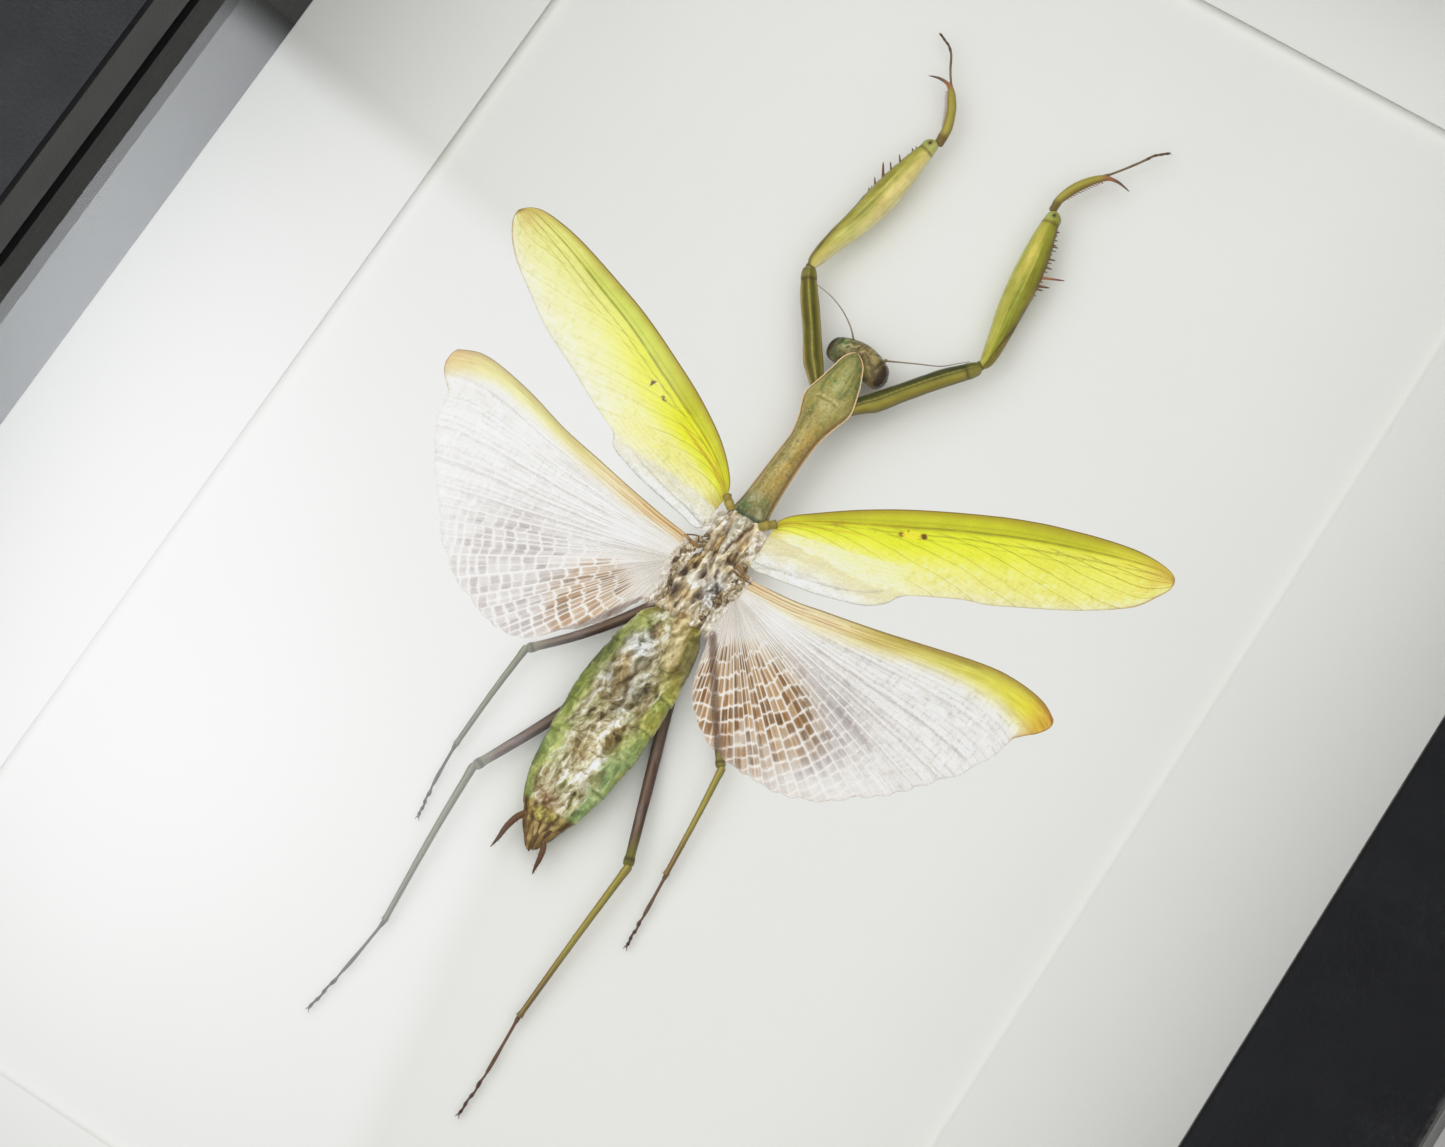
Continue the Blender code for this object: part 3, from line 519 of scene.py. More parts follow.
    def make(self, node, material, lift=1.0):
        mesh = bpy.data.meshes.new(node + "_fine")
        mesh.from_pydata((np.concatenate(self.v) * M).tolist(), [], self.f)
        bm = bmesh.new()
        bm.from_mesh(mesh)
        bmesh.ops.recalc_face_normals(bm, faces=bm.faces)
        bm.to_mesh(mesh)
        bm.free()
        mesh.shade_smooth()
        colour = np.concatenate(self.c)
        mesh.attributes.new("tint", "FLOAT_COLOR", "POINT").data.foreach_set("color", np.c_[np.minimum(linear(colour) * lift, 0.94), np.ones(len(colour))].astype(np.float32).ravel())
        mesh.attributes.new("cover", "FLOAT", "POINT").data.foreach_set("value", np.concatenate(self.o).astype(np.float32))
        mesh.attributes.new("gloss", "FLOAT", "POINT").data.foreach_set("value", np.concatenate(self.g).astype(np.float32))
        mesh.materials.append(material)
        obj = bpy.data.objects.new(node + "_fine", mesh)
        scene.collection.objects.link(obj)
        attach(obj, "root")
        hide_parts(node)
        return obj


def surface(name, grain=0.8, relief=0.02, vary=0.10, rough=(0.62, 0.28), see_through=False, spec=0.5):
    """A shell or membrane: the piece's own tint, broken up by fine grain; gloss runs between two roughnesses."""
    m = Mat(name, Specular_IOR_Level=spec)
    p = m.coords()
    fine = m.noise(p, grain * 4, 4, 0.65)
    broad = m.noise(p, grain, 5, 0.6)
    pits = m.voronoi(p, grain * 6, "F1")
    both = m.math("ADD", m.math("MULTIPLY", fine, 0.5), m.math("MULTIPLY", broad, 0.5))
    value = m.map(both, 0.3, 0.7, 1 - vary, 1 + vary)
    tint = m.attr("tint", 0)
    colour = m.vec("SCALE", tint, None, scale=value)
    shine = m.math("ADD", m.attr("gloss"), m.map(fine, 0.3, 0.7, -0.10, 0.10))
    height = m.math("ADD", m.math("MULTIPLY", fine, 0.7), m.math("MULTIPLY", pits, 0.3))
    m.set(Base_Color=colour, Roughness=m.map(shine, 0, 1, *rough), Normal=m.bump(height, relief))
    if see_through:
        m.set(Alpha=m.math("ADD", m.attr("cover"), m.map(broad, 0.3, 0.7, -0.03, 0.03), clamp=True))
    return m.m


# ---- forewings ------------------------------------------------------------------------------------------------------
WING = surface("wing_membrane", 0.7, 0.012, 0.035, (0.55, 0.30), True, 0.35)


def behind_stem(place, stem):
    return step(place, stem + 0.04, stem + 0.22)


def lets_light_through(wing):
    """The dry membrane passes nearly all the light, so it leaves no shadow on the board."""
    wing.visible_shadow = wing.visible_diffuse = False
    return wing


def axil(skin, corners, seed):
    """A small crinkled membrane between a wing's root and the body, from four corners (x, y, h) in order round it. Its
    last side lies in the body; the other three are torn and thin out."""
    a, b, c, d = (np.array(p, float) for p in corners)
    u, v = (g[..., None] for g in np.meshgrid(np.linspace(0, 1, 41), np.linspace(0, 1, 33), indexing="ij"))
    top = (a * (1 - v) + d * v) * (1 - u) + (b * (1 - v) + c * v) * u + [0, 0, FLOOR]
    x, y = top[..., 0], top[..., 1]
    fold, lean, crest, valley_shade = crumple(x + 0.3 * fbm(x, y, seed=seed), y, 1.1, seed + 1)
    fine = ridged(x * 1.6, y * 1.6, seed=seed + 2)
    top[..., 2] += 0.5 * (fold - 0.5) + 0.14 * (fine - 0.5) + 0.2 * fbm(x * 0.5, y * 0.5, seed=seed + 3)
    # painted light: lighter where a piece leans to the window, with painted shade in the valleys and painted highlights
    # on the crests
    shade = np.clip(0.62 + 0.6 * lean + 0.5 * (fine - 0.42), 0, 1)
    colour = along(shade, [(0, (104, 88, 62)), (0.3, (146, 132, 104)), (0.55, (184, 174, 152)), (0.8, (216, 209, 194)), (1, (242, 239, 228))])
    colour = blend(colour, (104, 80, 50), valley_shade * 0.55)
    colour = blend(colour, (250, 248, 240), crest * 0.40)
    border = np.minimum(np.minimum(u, 1 - u), v)[..., 0] + 0.16 * fbm(x * 0.9, y * 0.9, seed=seed + 4)
    torn = step(border, 0.03, 0.26)
    skin.sheet(top, colour, np.clip((0.50 + 0.30 * shade + 0.2 * crest) * torn, 0, 0.92), 0.8, thick=0.05)


def forewing(node, outline, yellow_edge, root_x, left):
    """The leathery wing: its main vein runs a quarter of the way in from the front edge, and side veins sweep from it
    to the rear edge. A clear crinkled lobe joins on behind the yellow part, next to the body."""
    side = -1 if left else 1
    pts = curve_through(outline, 12, closed=True)
    start = np.array([(outline[0][0] + outline[-1][0]) / 2, (outline[0][1] + outline[-1][1]) / 2])
    tip = pts[np.argmax(np.linalg.norm(pts - start, axis=1))]
    u = (tip - start) / np.linalg.norm(tip - start)
    v = np.array([side * u[1], -abs(u[0])]) if left else np.array([u[1], -u[0]])
    if left:
        v = np.array([-u[1], u[0]])
    local = np.stack([(pts - start) @ u, (pts - start) @ v], -1)
    far = int(np.argmax(local[:, 0]))
    last = 12 * (len(outline) - 1)
    lead, trail = local[:far + 1], local[far:last + 1][::-1]
    span = local[far, 0]
    nq, nt = 408, 112
    q = 1 - (1 - np.linspace(0, 0.9992, nq + 1)) ** 1.35
    pl = lead[0, 0] + (span - lead[0, 0]) * q
    pt = trail[0, 0] + (span - trail[0, 0]) * q
    vl = np.interp(pl, lead[:, 0], lead[:, 1])
    vt = np.interp(pt, trail[:, 0], trail[:, 1])
    t = np.linspace(0, 1, nt + 1)[None]
    P = pl[:, None] * (1 - t) + pt[:, None] * t
    V = vl[:, None] * (1 - t) + vt[:, None] * t
    X, Y = start[0] + P * u[0] + V * v[0], start[1] + P * u[1] + V * v[1]
    s = P / span
    # how far back in the yellow part, 0 at the front edge and 1 at its rear edge
    edge = (np.array(yellow_edge) - start) @ np.array([u, v]).T
    order = np.argsort(edge[:, 0])
    ep = edge[order]
    front = np.interp(P, pl, vl)
    back = np.where(P < ep[-1, 0], np.interp(P, ep[:, 0], ep[:, 1]), np.interp(P, pt, vt))
    chord = np.maximum(back - front, 0.4)
    T = (V - front) / chord
    lobe = step(T + 0.06 * fbm(P * 0.7, V * 0.7, seed=65), 0.955, 1.045) * step(ep[-1, 0] - P, -0.2, 0.4)
    stem = 0.23 + 0.03 * s
    tau = np.clip((T - stem) / (1 - stem), 1e-3, 1)
    wob = 0.010 * fbm(P * 0.22, V * 0.22, seed=3 + left) + 0.004 * fbm(P * 0.9, V * 0.9, seed=5)
    phi = s - 0.40 * tau ** 0.66 + wob
    slope = np.hypot(1 / span, 0.264 * tau ** -0.34 / (1 - stem) / chord)

    def lines(count, width, shift=0.0, seed=0):
        """Side veins: count of them along the wing, width in mm."""
        x = phi * count + shift
        k = np.floor(x)
        place = 0.5 + 0.36 * (dice(k, seed=seed) - 0.5)
        d = abs(x - k - place) / count / slope
        return np.exp(-(d / width) ** 2), k

    main, _ = lines(11, 0.065, 0.2, 21 + left)
    second, _ = lines(31, 0.065, 0.0, 22)
    count3 = 62
    x3 = phi * count3
    k3 = np.floor(x3)
    third = np.exp(-(np.minimum(x3 - k3, 1 - x3 + k3) / count3 / slope / 0.07) ** 2)
    run = (P * 0.75 + V * 0.66) / 0.80 + 3 * dice(k3, seed=31)
    cell = np.floor(run)
    cross = np.exp(-(np.minimum(run - cell, 1 - run + cell) * 0.80 / 0.075) ** 2)
    cells = dice(k3, cell, seed=33)
    behind = step(T, stem, stem + 0.03)
    main, second, third, cross = (a * behind for a in (main, second, third, cross))
    # stem: two strong veins side by side that part towards the tip
    d_r = abs(T - stem + 0.022 + 0.03 * s) * chord
    d_m = abs(T - stem - 0.020 - 0.07 * s) * chord
    d_sc = abs(T - stem * 0.52 - 0.02) * chord
    d_m2 = abs(T - stem - 0.05 - 0.16 * np.maximum(s, 0) ** 1.3) * chord
    stem_line = np.exp(-(d_r / 0.11) ** 2) + 0.7 * np.exp(-(d_m / 0.09) ** 2) + 0.40 * np.exp(-(d_m2 / 0.08) ** 2) * step(s, 0.15, 0.35)
    stem_line = stem_line * np.clip(0.45 + 1.0 * noise(P * 0.8, V * 0.5, seed=9), 0, 1)
    sc_line = np.exp(-(d_sc / 0.09) ** 2)
    # irregular little cells between the veins, some of them painted with a highlight
    cell_v, cell_lean, cell_edge = facets(P + 0.5 * V, V * 0.95, 0.66, 55 + left)
    wall = (1 - step(cell_edge, 0.04, 0.24)) * behind_stem(T, stem)
    cell_highlight = step(cell_v, 0.80, 0.92) * (1 - wall) * behind_stem(T, stem)
    costal = 1 - step(T, stem - 0.05, stem + 0.01)
    rib_x = (P - 1.1 * (V - front)) / 0.85
    rib = np.exp(-(np.minimum(rib_x % 1, 1 - rib_x % 1) * 0.85 / 0.09) ** 2) * costal
    # small square cells of the rear field near the body
    ax, ay = (T - 0.55) * chord / 0.62, (P - 0.35 * V) / 0.72
    anal = step(tau, 0.50, 0.60) * (1 - step(s, 0.30, 0.42))
    weave = np.maximum(np.exp(-(np.minimum(ax % 1, 1 - ax % 1) / 0.20) ** 2), np.exp(-(np.minimum(ay % 1, 1 - ay % 1) / 0.16) ** 2))
    cloud = fbm(P * 0.10, V * 0.16, seed=41 + left, octaves=4)
    if left:
        colour = along(tau, [(0, (220, 224, 40)), (0.22, (228, 228, 58)), (0.45, (234, 230, 112)), (0.72, (235, 231, 162)), (1, (232, 229, 198))])
        vivid, ochre, green = tone(226, 231, 6), tone(226, 214, 128), tone(208, 212, 104)
        colour = blend(colour, (238, 235, 158), 0.80 * step(s, 0.35, 0.75) * (1 - step(tau, 0.5, 0.95)))
    else:
        colour = along(tau, [(0, (208, 212, 22)), (0.30, (215, 215, 40)), (0.52, (222, 216, 82)), (0.76, (221, 211, 116)), (1, (212, 203, 146))])
        vivid, ochre, green = tone(200, 210, 4), tone(212, 192, 66), tone(170, 168, 14)
        colour = blend(colour, (218, 212, 78), 0.75 * step(s, 0.45, 0.8) * (1 - step(tau, 0.7, 1.0)))
    reach = 0.62 if left else 0.72
    colour = blend(colour, vivid, (1 - step(s, reach - 0.42, reach)) * (1 - step(tau + 0.12 * cloud, 0.12, 0.50)) * 0.95)
    colour = blend(colour, (226, 217, 92) if left else (226, 217, 148), anal * (0.85 if left else 0.9))
    colour = blend(colour, (232, 226, 176) if left else (230, 224, 186), anal * step(tau, 0.72, 0.98) * 0.7)
    colour = blend(colour, ochre, 0.75 * step(s, 0.80, 1.0) * (1 - step(tau, 0.55, 1.0)))
    # the band in front of the stem
    colour = blend(colour, green, costal * (0.75 - 0.45 * step(s, 0.75, 0.95)) * step(s, 0.03, 0.12))
    if left:
        colour = blend(colour, (190, 202, 84), costal * step(s, 0.34, 0.46) * (1 - step(s, 0.60, 0.80)) * 0.60)
        colour = blend(colour, (212, 216, 20), costal * (1 - step(s, 0.18, 0.36)) * 0.9)
        colour = blend(colour, (172, 172, 28), costal * bump_at(s, 0.32, 0.16) * 0.65)
    else:
        colour = blend(colour, (172, 170, 14), (1 - step(abs(T - stem * 0.8), 0.02, 0.09)) * step(s, 0.10, 0.2) * (1 - step(s, 0.45, 0.7)) * 0.7)
    colour = colour + (14 * cloud + 7 * fbm(P * 0.5, V * 0.7, seed=47, octaves=3))[..., None]
    colour = colour + ((cells - 0.5) * 13 * behind * (0.5 + 0.5 * tau))[..., None]
    pale = step(tau, 0.30, 0.75)
    colour = blend(colour, (246, 243, 205), third * (0.12 + 0.18 * pale) + cross * (0.08 + 0.16 * pale))
    colour = blend(colour, (246, 242, 196), anal * weave * (0.26 if left else 0.24))
    colour = blend(colour, (204, 186, 104) if left else (200, 182, 104), anal * np.exp(-(np.minimum((ax + 0.5) % 1, 1 - (ax + 0.5) % 1) / 0.15) ** 2) * 0.38 * np.clip(1.4 * noise(P * 0.9, V * 2, seed=59), 0, 1))
    lively = (0.35 + 0.65 * step(tau, 0.15, 0.6)) * (0.52 if left else 0.42)
    colour = colour + ((cell_v - 0.5) * 16 * lively * behind)[..., None]
    colour = blend(colour, (250, 248, 226), wall * 0.40 * lively)
    # painted highlight on some cells
    colour = blend(colour, (255, 255, 240), cell_highlight * (0.36 if left else 0.55) * lively * (1 - 0.6 * anal))
    colour = blend(colour, (176, 172, 92), step(1 - cell_v, 0.84, 0.95) * 0.40 * lively * (1 - wall))
    soft = (1 - 0.55 * step(s, 0.35, 0.7)) if left else 1.0
    colour = blend(colour, (150, 146, 30), second * ((0.30 if left else 0.20) - 0.05 * pale) * (1 - anal) * soft)
    colour = blend(colour, (128, 126, 22) if not left else (150, 148, 56), main * (0.62 - 0.24 * pale) * (1 - 0.8 * anal) * soft)
    colour = blend(colour, (120, 122, 12), rib * (0.03 if left else 0.07))
    colour = blend(colour, (118, 118, 14), sc_line * costal * 0.25)
    dark = along(s, [(0, (150, 92, 24)), (0.25, (148, 112, 16)), (0.5, (104, 106, 18)), (1, (132, 118, 40))])
    colour = blend(colour, dark, stem_line * (0.70 - 0.25 * step(s, 0.75, 1.0)) * step(s, 0.01, 0.05))
    streak = np.exp(-((T - stem - 0.10 - 0.05 * fbm(P * 0.2, 1.0, seed=8)) * chord / 0.22) ** 2) * (1 - step(s, 0.16, 0.34)) * step(s, 0.02, 0.08)
    colour = blend(colour, (170, 118, 20), streak * (0.6 if left else 0.35))
    # front margin, tip and root
    rim = (V - front)
    colour = blend(colour, (172, 154, 62) if left else (148, 134, 18), 0.50 * (1 - step(rim + 0.25 * cloud, 0.3, 1.5)) * step(s, 0.05, 0.15))
    colour = blend(colour, (88, 66, 22), 0.85 * (1 - step(rim, 0.05, 0.26)))
    colour = blend(colour, (150, 126, 34), 0.35 * (1 - step(rim, 0.2, 0.8)) * (1 - step(s, 0.8, 1.0)))
    end = step(s, 0.90, 0.995)
    colour = blend(colour, (208, 182, 104) if left else (204, 168, 72), end * (1 - step(T, 0.45, 0.9)) * 0.55)
    border = np.minimum((back - V), 9) * (1 - lobe)
    near_tip = (1 - step(np.minimum(border, (1 - s) * span * 0.6), 0.03, 0.38)) * step(s, 0.78, 0.92)
    colour = blend(colour, (160, 122, 70), 0.7 * near_tip)
    rear = (1 - step(border, 0.0, 0.30)) * (1 - step(s, 0.78, 0.92)) * step(s, 0.34, 0.42)
    colour = blend(colour, (168, 160, 140), 0.55 * rear)
    colour = blend(colour, (168, 150, 52), (1 - step(s, 0.0, 0.07)) * 0.7)
    # stigma: a damaged spot beside the stem
    if left:
        tri = [(-21.64, 17.45), (-21.10, 18.60), (-21.86, 18.28), (-21.64, 17.45)]
        inside = np.ones_like(X)
        for (ax_, ay_), (bx_, by_) in zip(tri, tri[1:]):
            cross_ = (bx_ - ax_) * (Y - ay_) - (by_ - ay_) * (X - ax_)
            inside = inside * step(cross_, -0.08, 0.03)
        glow_d, _ = near_line(X, Y, [(-21.1, 18.5), (-20.0, 17.8), (-19.3, 17.1)])
        colour = blend(colour, (250, 240, 110), 0.8 * np.exp(-(glow_d / 0.16) ** 2))
        hook, _ = near_line(X, Y, [(-19.29, 17.02), (-18.98, 17.12), (-18.93, 16.73), (-18.49, 16.74)])
        colour = blend(colour, (92, 52, 14), np.maximum(inside, np.exp(-(hook / 0.13) ** 2)))
    else:
        spot = np.hypot(((X - 21.2) * u[0] + (Y - 17.85) * u[1]) / 1.35, ((X - 21.2) * v[0] + (Y - 17.85) * v[1]) / 0.62)
        colour = blend(colour, (240, 208, 38), 1 - step(spot + 0.15 * fbm(X * 1.5, Y * 1.5, seed=51), 0.75, 1.15))
        for cx, cy, r, strong in ((19.95, 17.2, 0.42, 0.75), (22.75, 18.6, 0.40, 1.0), (20.55, 18.15, 0.16, 0.7), (19.55, 16.9, 0.12, 0.7)):
            blot = np.hypot(X - cx, Y - cy) / r + 0.5 * fbm(X * 2.2, Y * 2.2, seed=53)
            colour = blend(colour, (104, 66, 12), strong * (1 - step(blot, 0.6, 1.1)))
    height = 0.17 * stem_line + 0.07 * main + 0.03 * second + 0.018 * third + 0.02 * cross + 0.02 * rib + 0.12 * (1 - step(rim, 0.1, 0.6))
    height = height + 0.16 * fbm(P * 0.13, V * 0.25, seed=61 + left, octaves=2) + 0.05 * fbm(P * 0.5, V * 0.9, seed=63, octaves=2)
    height = height - 0.10 * step(T, stem + 0.02, stem + 0.12) * (1 - step(T, 0.5, 0.8))
    cover = 0.965 - 0.20 * step(tau, 0.72, 1.0) * (1 - anal) - 0.05 * anal * (1 - weave)
    gloss = 0.55 + 0.15 * cloud
    # the clear lobe: lighter on its crinkle ridges as a painted sheen, with painted white glints
    crease = ridged(P * 0.42 + 0.35 * V, V * 0.75, seed=71 + left, octaves=4)
    rays = 0.5 + 0.5 * np.sin((V - back) * 3.2 + P * 0.55 + 2.5 * fbm(P * 0.3, V * 0.3, seed=77))
    glint = ridged(P * 1.5 + 1.1 * V, V * 1.9, seed=75 + left, octaves=2)
    film = along(crease, [(0, (210, 209, 203)), (0.45, (231, 230, 225)), (0.7, (246, 246, 242)), (1, (255, 255, 252))])
    film = film if left else film * [0.96, 0.955, 0.92]
    film = blend(film, (176, 174, 166), 0.50 * step(rays, 0.88, 0.99))
    film = blend(film, (255, 255, 252), step(glint, 0.60, 0.85) * 0.8)
    film = blend(film, (168, 164, 154), (1 - step(cell_edge, 0.02, 0.16)) * 0.45)
    outer = (np.interp(P, pt, vt) - V)
    film = blend(film, (206, 194, 128), (1 - step(V - back + 0.8 * cloud, 0.8, 3.0 if left else 4.6)) * (0.40 if left else 0.72))
    film = blend(film, (158, 158, 154), 0.8 * (1 - step(outer, 0.03, 0.20)))
    second_edge = np.exp(-((outer - 1.15 - 0.05 * P) / 0.09) ** 2)
    film = blend(film, (158, 158, 152), 0.7 * second_edge)
    colour = colour * (1 - lobe[..., None]) + film * lobe[..., None]
    film_cover = 0.56 + 0.20 * step(crease, 0.6, 0.9) + 0.30 * step(glint, 0.70, 0.9) + 0.45 * (1 - step(outer, 0.03, 0.2)) + 0.35 * second_edge
    cover = cover * (1 - lobe) + np.clip(film_cover, 0, 0.9) * lobe
    gloss = gloss * (1 - lobe) + 0.85 * lobe
    height = height * (1 - lobe) + lobe * (0.42 * crease - 0.35 + 0.15 * second_edge)
    h = 6.6 - 3.6 * abs(X - root_x) / 50
    top = np.stack([X, Y, FLOOR + h + 0.03 + height], -1)
    skin = Skin()
    skin.sheet(top, colour, cover, gloss)
    if left:
        axil(skin, ((-3.1, 7.4, 6.7), (-4.9, 3.1, 6.4), (-2.3, 2.4, 6.6), (-1.6, 7.4, 6.9)), 301)
    else:
        axil(skin, ((4.8, 7.3, 6.7), (5.4, 2.3, 6.4), (3.6, 1.6, 6.6), (3.2, 7.2, 6.9)), 311)
    return lets_light_through(skin.make(node, WING, 1.14 if left else 1.30))


forewing("forewing_left", [
    (-3.2, 9.3), (-5.0, 12.4), (-8.9, 16.0), (-14.7, 19.7), (-20.7, 22.8), (-28.2, 26.3), (-34.7, 28.7), (-42.2, 31.2),
    (-47.4, 32.3), (-51.0, 32.3), (-53.1, 30.6), (-52.4, 28.0), (-49.4, 24.5), (-43.9, 20.5), (-39.3, 17.5),
    (-32.6, 14.2), (-27.0, 11.3), (-22.4, 9.2), (-21.0, 7.3), (-17.5, 5.9), (-14.2, 5.0), (-11.0, 4.3), (-7.2, 3.6), (-4.6, 3.0),
    (-3.2, 4.4)], [(-23.6, 9.7), (-20.5, 8.7), (-14.5, 8.1), (-8.7, 7.7), (-4.1, 6.9), (-3.0, 6.4)], -3.2, True)
forewing("forewing_right", [
    (4.8, 9.6), (9.8, 14.4), (16.8, 19.4), (24.5, 23.8), (32.3, 27.7), (40.7, 30.8), (47.3, 32.5), (51.6, 32.8),
    (54.3, 32.2), (54.9, 30.6), (53.8, 28.3), (51.7, 25.3), (46.5, 21.4), (40.8, 18.1), (35.1, 15.0), (31.8, 13.8),
    (25.2, 10.2), (23.4, 7.8), (21.0, 5.9), (16.3, 4.2), (11.7, 3.1), (8.0, 2.4), (5.6, 2.1), (4.5, 3.2)],
    [(26.0, 10.6), (22.5, 9.4), (17.8, 8.6), (13.5, 8.4), (8.9, 7.9), (5.3, 7.4), (4.6, 7.1)], 4.8, False)

# ---- hindwings ------------------------------------------------------------------------------------------------------


def hindwing(node, outline, apex, hub, root_x, brown, grey, left):
    """The clear fan: veins spread from the hub, with pale cross veins that make cells, some of them brown."""
    side = -1 if left else 1
    hub = np.array(hub)
    lead = curve_through(outline[:apex + 1], 10)
    rim_pts = curve_through(outline, 10, closed=True)[10 * apex:10 * (len(outline) - 1) + 1]
    theta = np.degrees(np.arctan2(rim_pts[:, 1] - hub[1], side * (rim_pts[:, 0] - hub[0])))
    keep = np.r_[True, np.minimum.accumulate(theta)[:-1] > theta[1:]]
    rim_pts, theta = rim_pts[keep], theta[keep]
    first, last = theta[0], max(theta[-1], -102)
    na, nr = 384, 176
    a = np.linspace(0, 1, na + 1)
    ang = first + (last - first) * a
    ex = np.interp(-ang, -theta, rim_pts[:, 0])
    ey = np.interp(-ang, -theta, rim_pts[:, 1])
    rho = np.linspace(0.025, 1, nr + 1)[None]
    R = np.hypot(ex - hub[0], ey - hub[1])[:, None]
    # scalloped rim between veins
    vein_gap = 4.9
    n = (first - ang[:, None]) / vein_gap + 0.25 * np.sin(ang[:, None] * 0.21 + 1.0)
    k = np.floor(n)
    frac = n - k
    scallop = 0.35 * (1 - (2 * frac - 1) ** 2) * step(a[:, None], 0.10, 0.16) * (1 - step(a[:, None], 0.86, 0.95))
    X = hub[0] + (ex[:, None] - hub[0]) * rho * (1 + (scallop - 0.25) / R * rho ** 6)
    Y = hub[1] + (ey[:, None] - hub[1]) * rho * (1 + (scallop - 0.25) / R * rho ** 6)
    on_lead = spaced(lead, rho[0])
    pull = np.clip(1 - a / 0.30, 0, 1)[:, None] ** 2
    X = X + pull * (on_lead[None, :, 0] - (hub[0] + (ex[0] - hub[0]) * rho))
    Y = Y + pull * (on_lead[None, :, 1] - (hub[1] + (ey[0] - hub[1]) * rho))
    r = rho * R
    deg = ang[:, None] + 0 * r
    arc = np.maximum(r, 1.5) * np.radians(vein_gap)  # width of one strip between main veins, mm
    wob = 0.05 * fbm(r * 0.35, deg * 0.12, seed=81 + left, octaves=2)
    d_main = np.minimum(frac + wob, 1 - frac - wob) * arc
    main = np.exp(-(d_main / (0.08 + 0.04 * step(r, 5, 15))) ** 2)
    d_half = abs(frac + wob - 0.5) * arc
    half = np.exp(-(d_half / 0.085) ** 2)
    fibre = fbm(r * 0.22, deg * 3.1, seed=99 + left, octaves=3, gain=0.7)
    quarter = np.exp(-(np.minimum(abs(frac - 0.25), abs(frac - 0.75)) * arc / 0.07) ** 2) * step(r, 16, 26)
    # cross veins: closer together outwards, a little out of line from strip to strip
    rr = np.linspace(0, 60, 601)
    gap = np.clip(2.5 - 0.055 * (rr - 8), 1.25, 2.7)
    g = np.interp(r, rr, np.cumsum(0.1 / gap))
    x = g + 0.45 * (dice(k, seed=91) - 0.5) + 0.012 * deg + 0.10 * np.sin(frac * 3.1)
    x = x + 0.25 * step(frac, 0.48, 0.52) * (dice(k, seed=93) - 0.5) + 0.16 * fbm(r * 0.9, deg * 0.45, seed=92, octaves=2)
    cell = np.floor(x)
    gap_here = np.interp(r, rr, gap)
    d_cross = np.minimum(x - cell, 1 - x + cell) * gap_here
    cross = np.exp(-(d_cross / (0.12 + 0.08 * noise(r * 0.8, deg * 0.3, seed=94))) ** 2) * step(r, 6.5, 8.5) * np.clip(0.45 + noise(r * 0.7, deg * 0.35, seed=96), 0, 1)
    lit = dice(k * 2 + (frac > 0.5), cell, seed=95)
    # creased film: pieces longer along the veins, thin grey veins and short cross veins
    piece, piece_lean, piece_edge = facets(r * 0.72 + 0.5 * fibre, n * 3.0, 1.0, 86 + left)
    bent = 0.06 * fbm(r * 0.5, deg * 0.2, seed=88 + left, octaves=3)
    thin = 0
    for place in (0.14, 0.34, 0.62, 0.86):
        thin = np.maximum(thin, np.exp(-((frac - place + bent) * arc / 0.065) ** 2) * (0.35 + 0.65 * dice(k, place * 50, seed=89)))
    thin = thin * step(r, 7 + 0 * r, 14)
    run = g * 1.45 + dice(k * 3 + np.floor(frac * 3), seed=87) + 0.35 * bent * 8
    tick = np.exp(-(np.minimum(run % 1, 1 - run % 1) * gap_here / 1.45 / 0.07) ** 2) * (dice(k * 3 + np.floor(frac * 3), np.floor(run + 0.5), seed=85) > 0.35) * step(r, 10, 16)
    # perpendicular distance in from the front edge, for its coloured band
    d_front, where = near_line(X, Y, [tuple(p) for p in lead[:-1:4]] + [tuple(lead[-1])])
    past = step(a[:, None], 0.0, 0.004)
    d_front = d_front * past
    band_w = np.interp(r, [4, 12, 26, 36, 46, 52], [1.6, 2.6, 2.4, 3.1, 5.0, 6.0] if left else [1.8, 3.5, 3.3, 4.3, 6.4, 7.4])
    band = 1 - step(d_front / band_w + 0.14 * fbm(r * 0.4, deg * 0.2, seed=97), 0.45, 1.25)
    cells = step(a[:, None], 0.20, 0.36) + 0 * r
    colour = along(deg, [(-100, (216, 208, 202)), (-70, (223, 216, 210)), (-30, (228, 224, 219)), (0, (231, 229, 224)), (12, (230, 227, 214))])
    silk = fbm(r * 0.16, deg * 1.1, seed=101 + left, octaves=4, gain=0.6)
    colour = colour + (14 * silk + 26 * fibre)[..., None]
    # painted shade and light across the pleats, and a painted shadow line along one side of each main vein
    colour = colour - (8 * np.sin(frac * 2 * np.pi * 2 + 0.6) * (1 - cells * 0.7) * step(r, 4, 9))[..., None]
    colour = blend(colour, (142, 136, 136), np.exp(-((d_main - 0.24) / 0.075) ** 2) * (frac < 0.5) * (1 - cells) * step(r, 8, 16) * (0.30 + 0.45 * dice(k, seed=104)))
    open_part = 1 - 0.75 * cells
    inner = step(piece_edge, 0.02, 0.25)
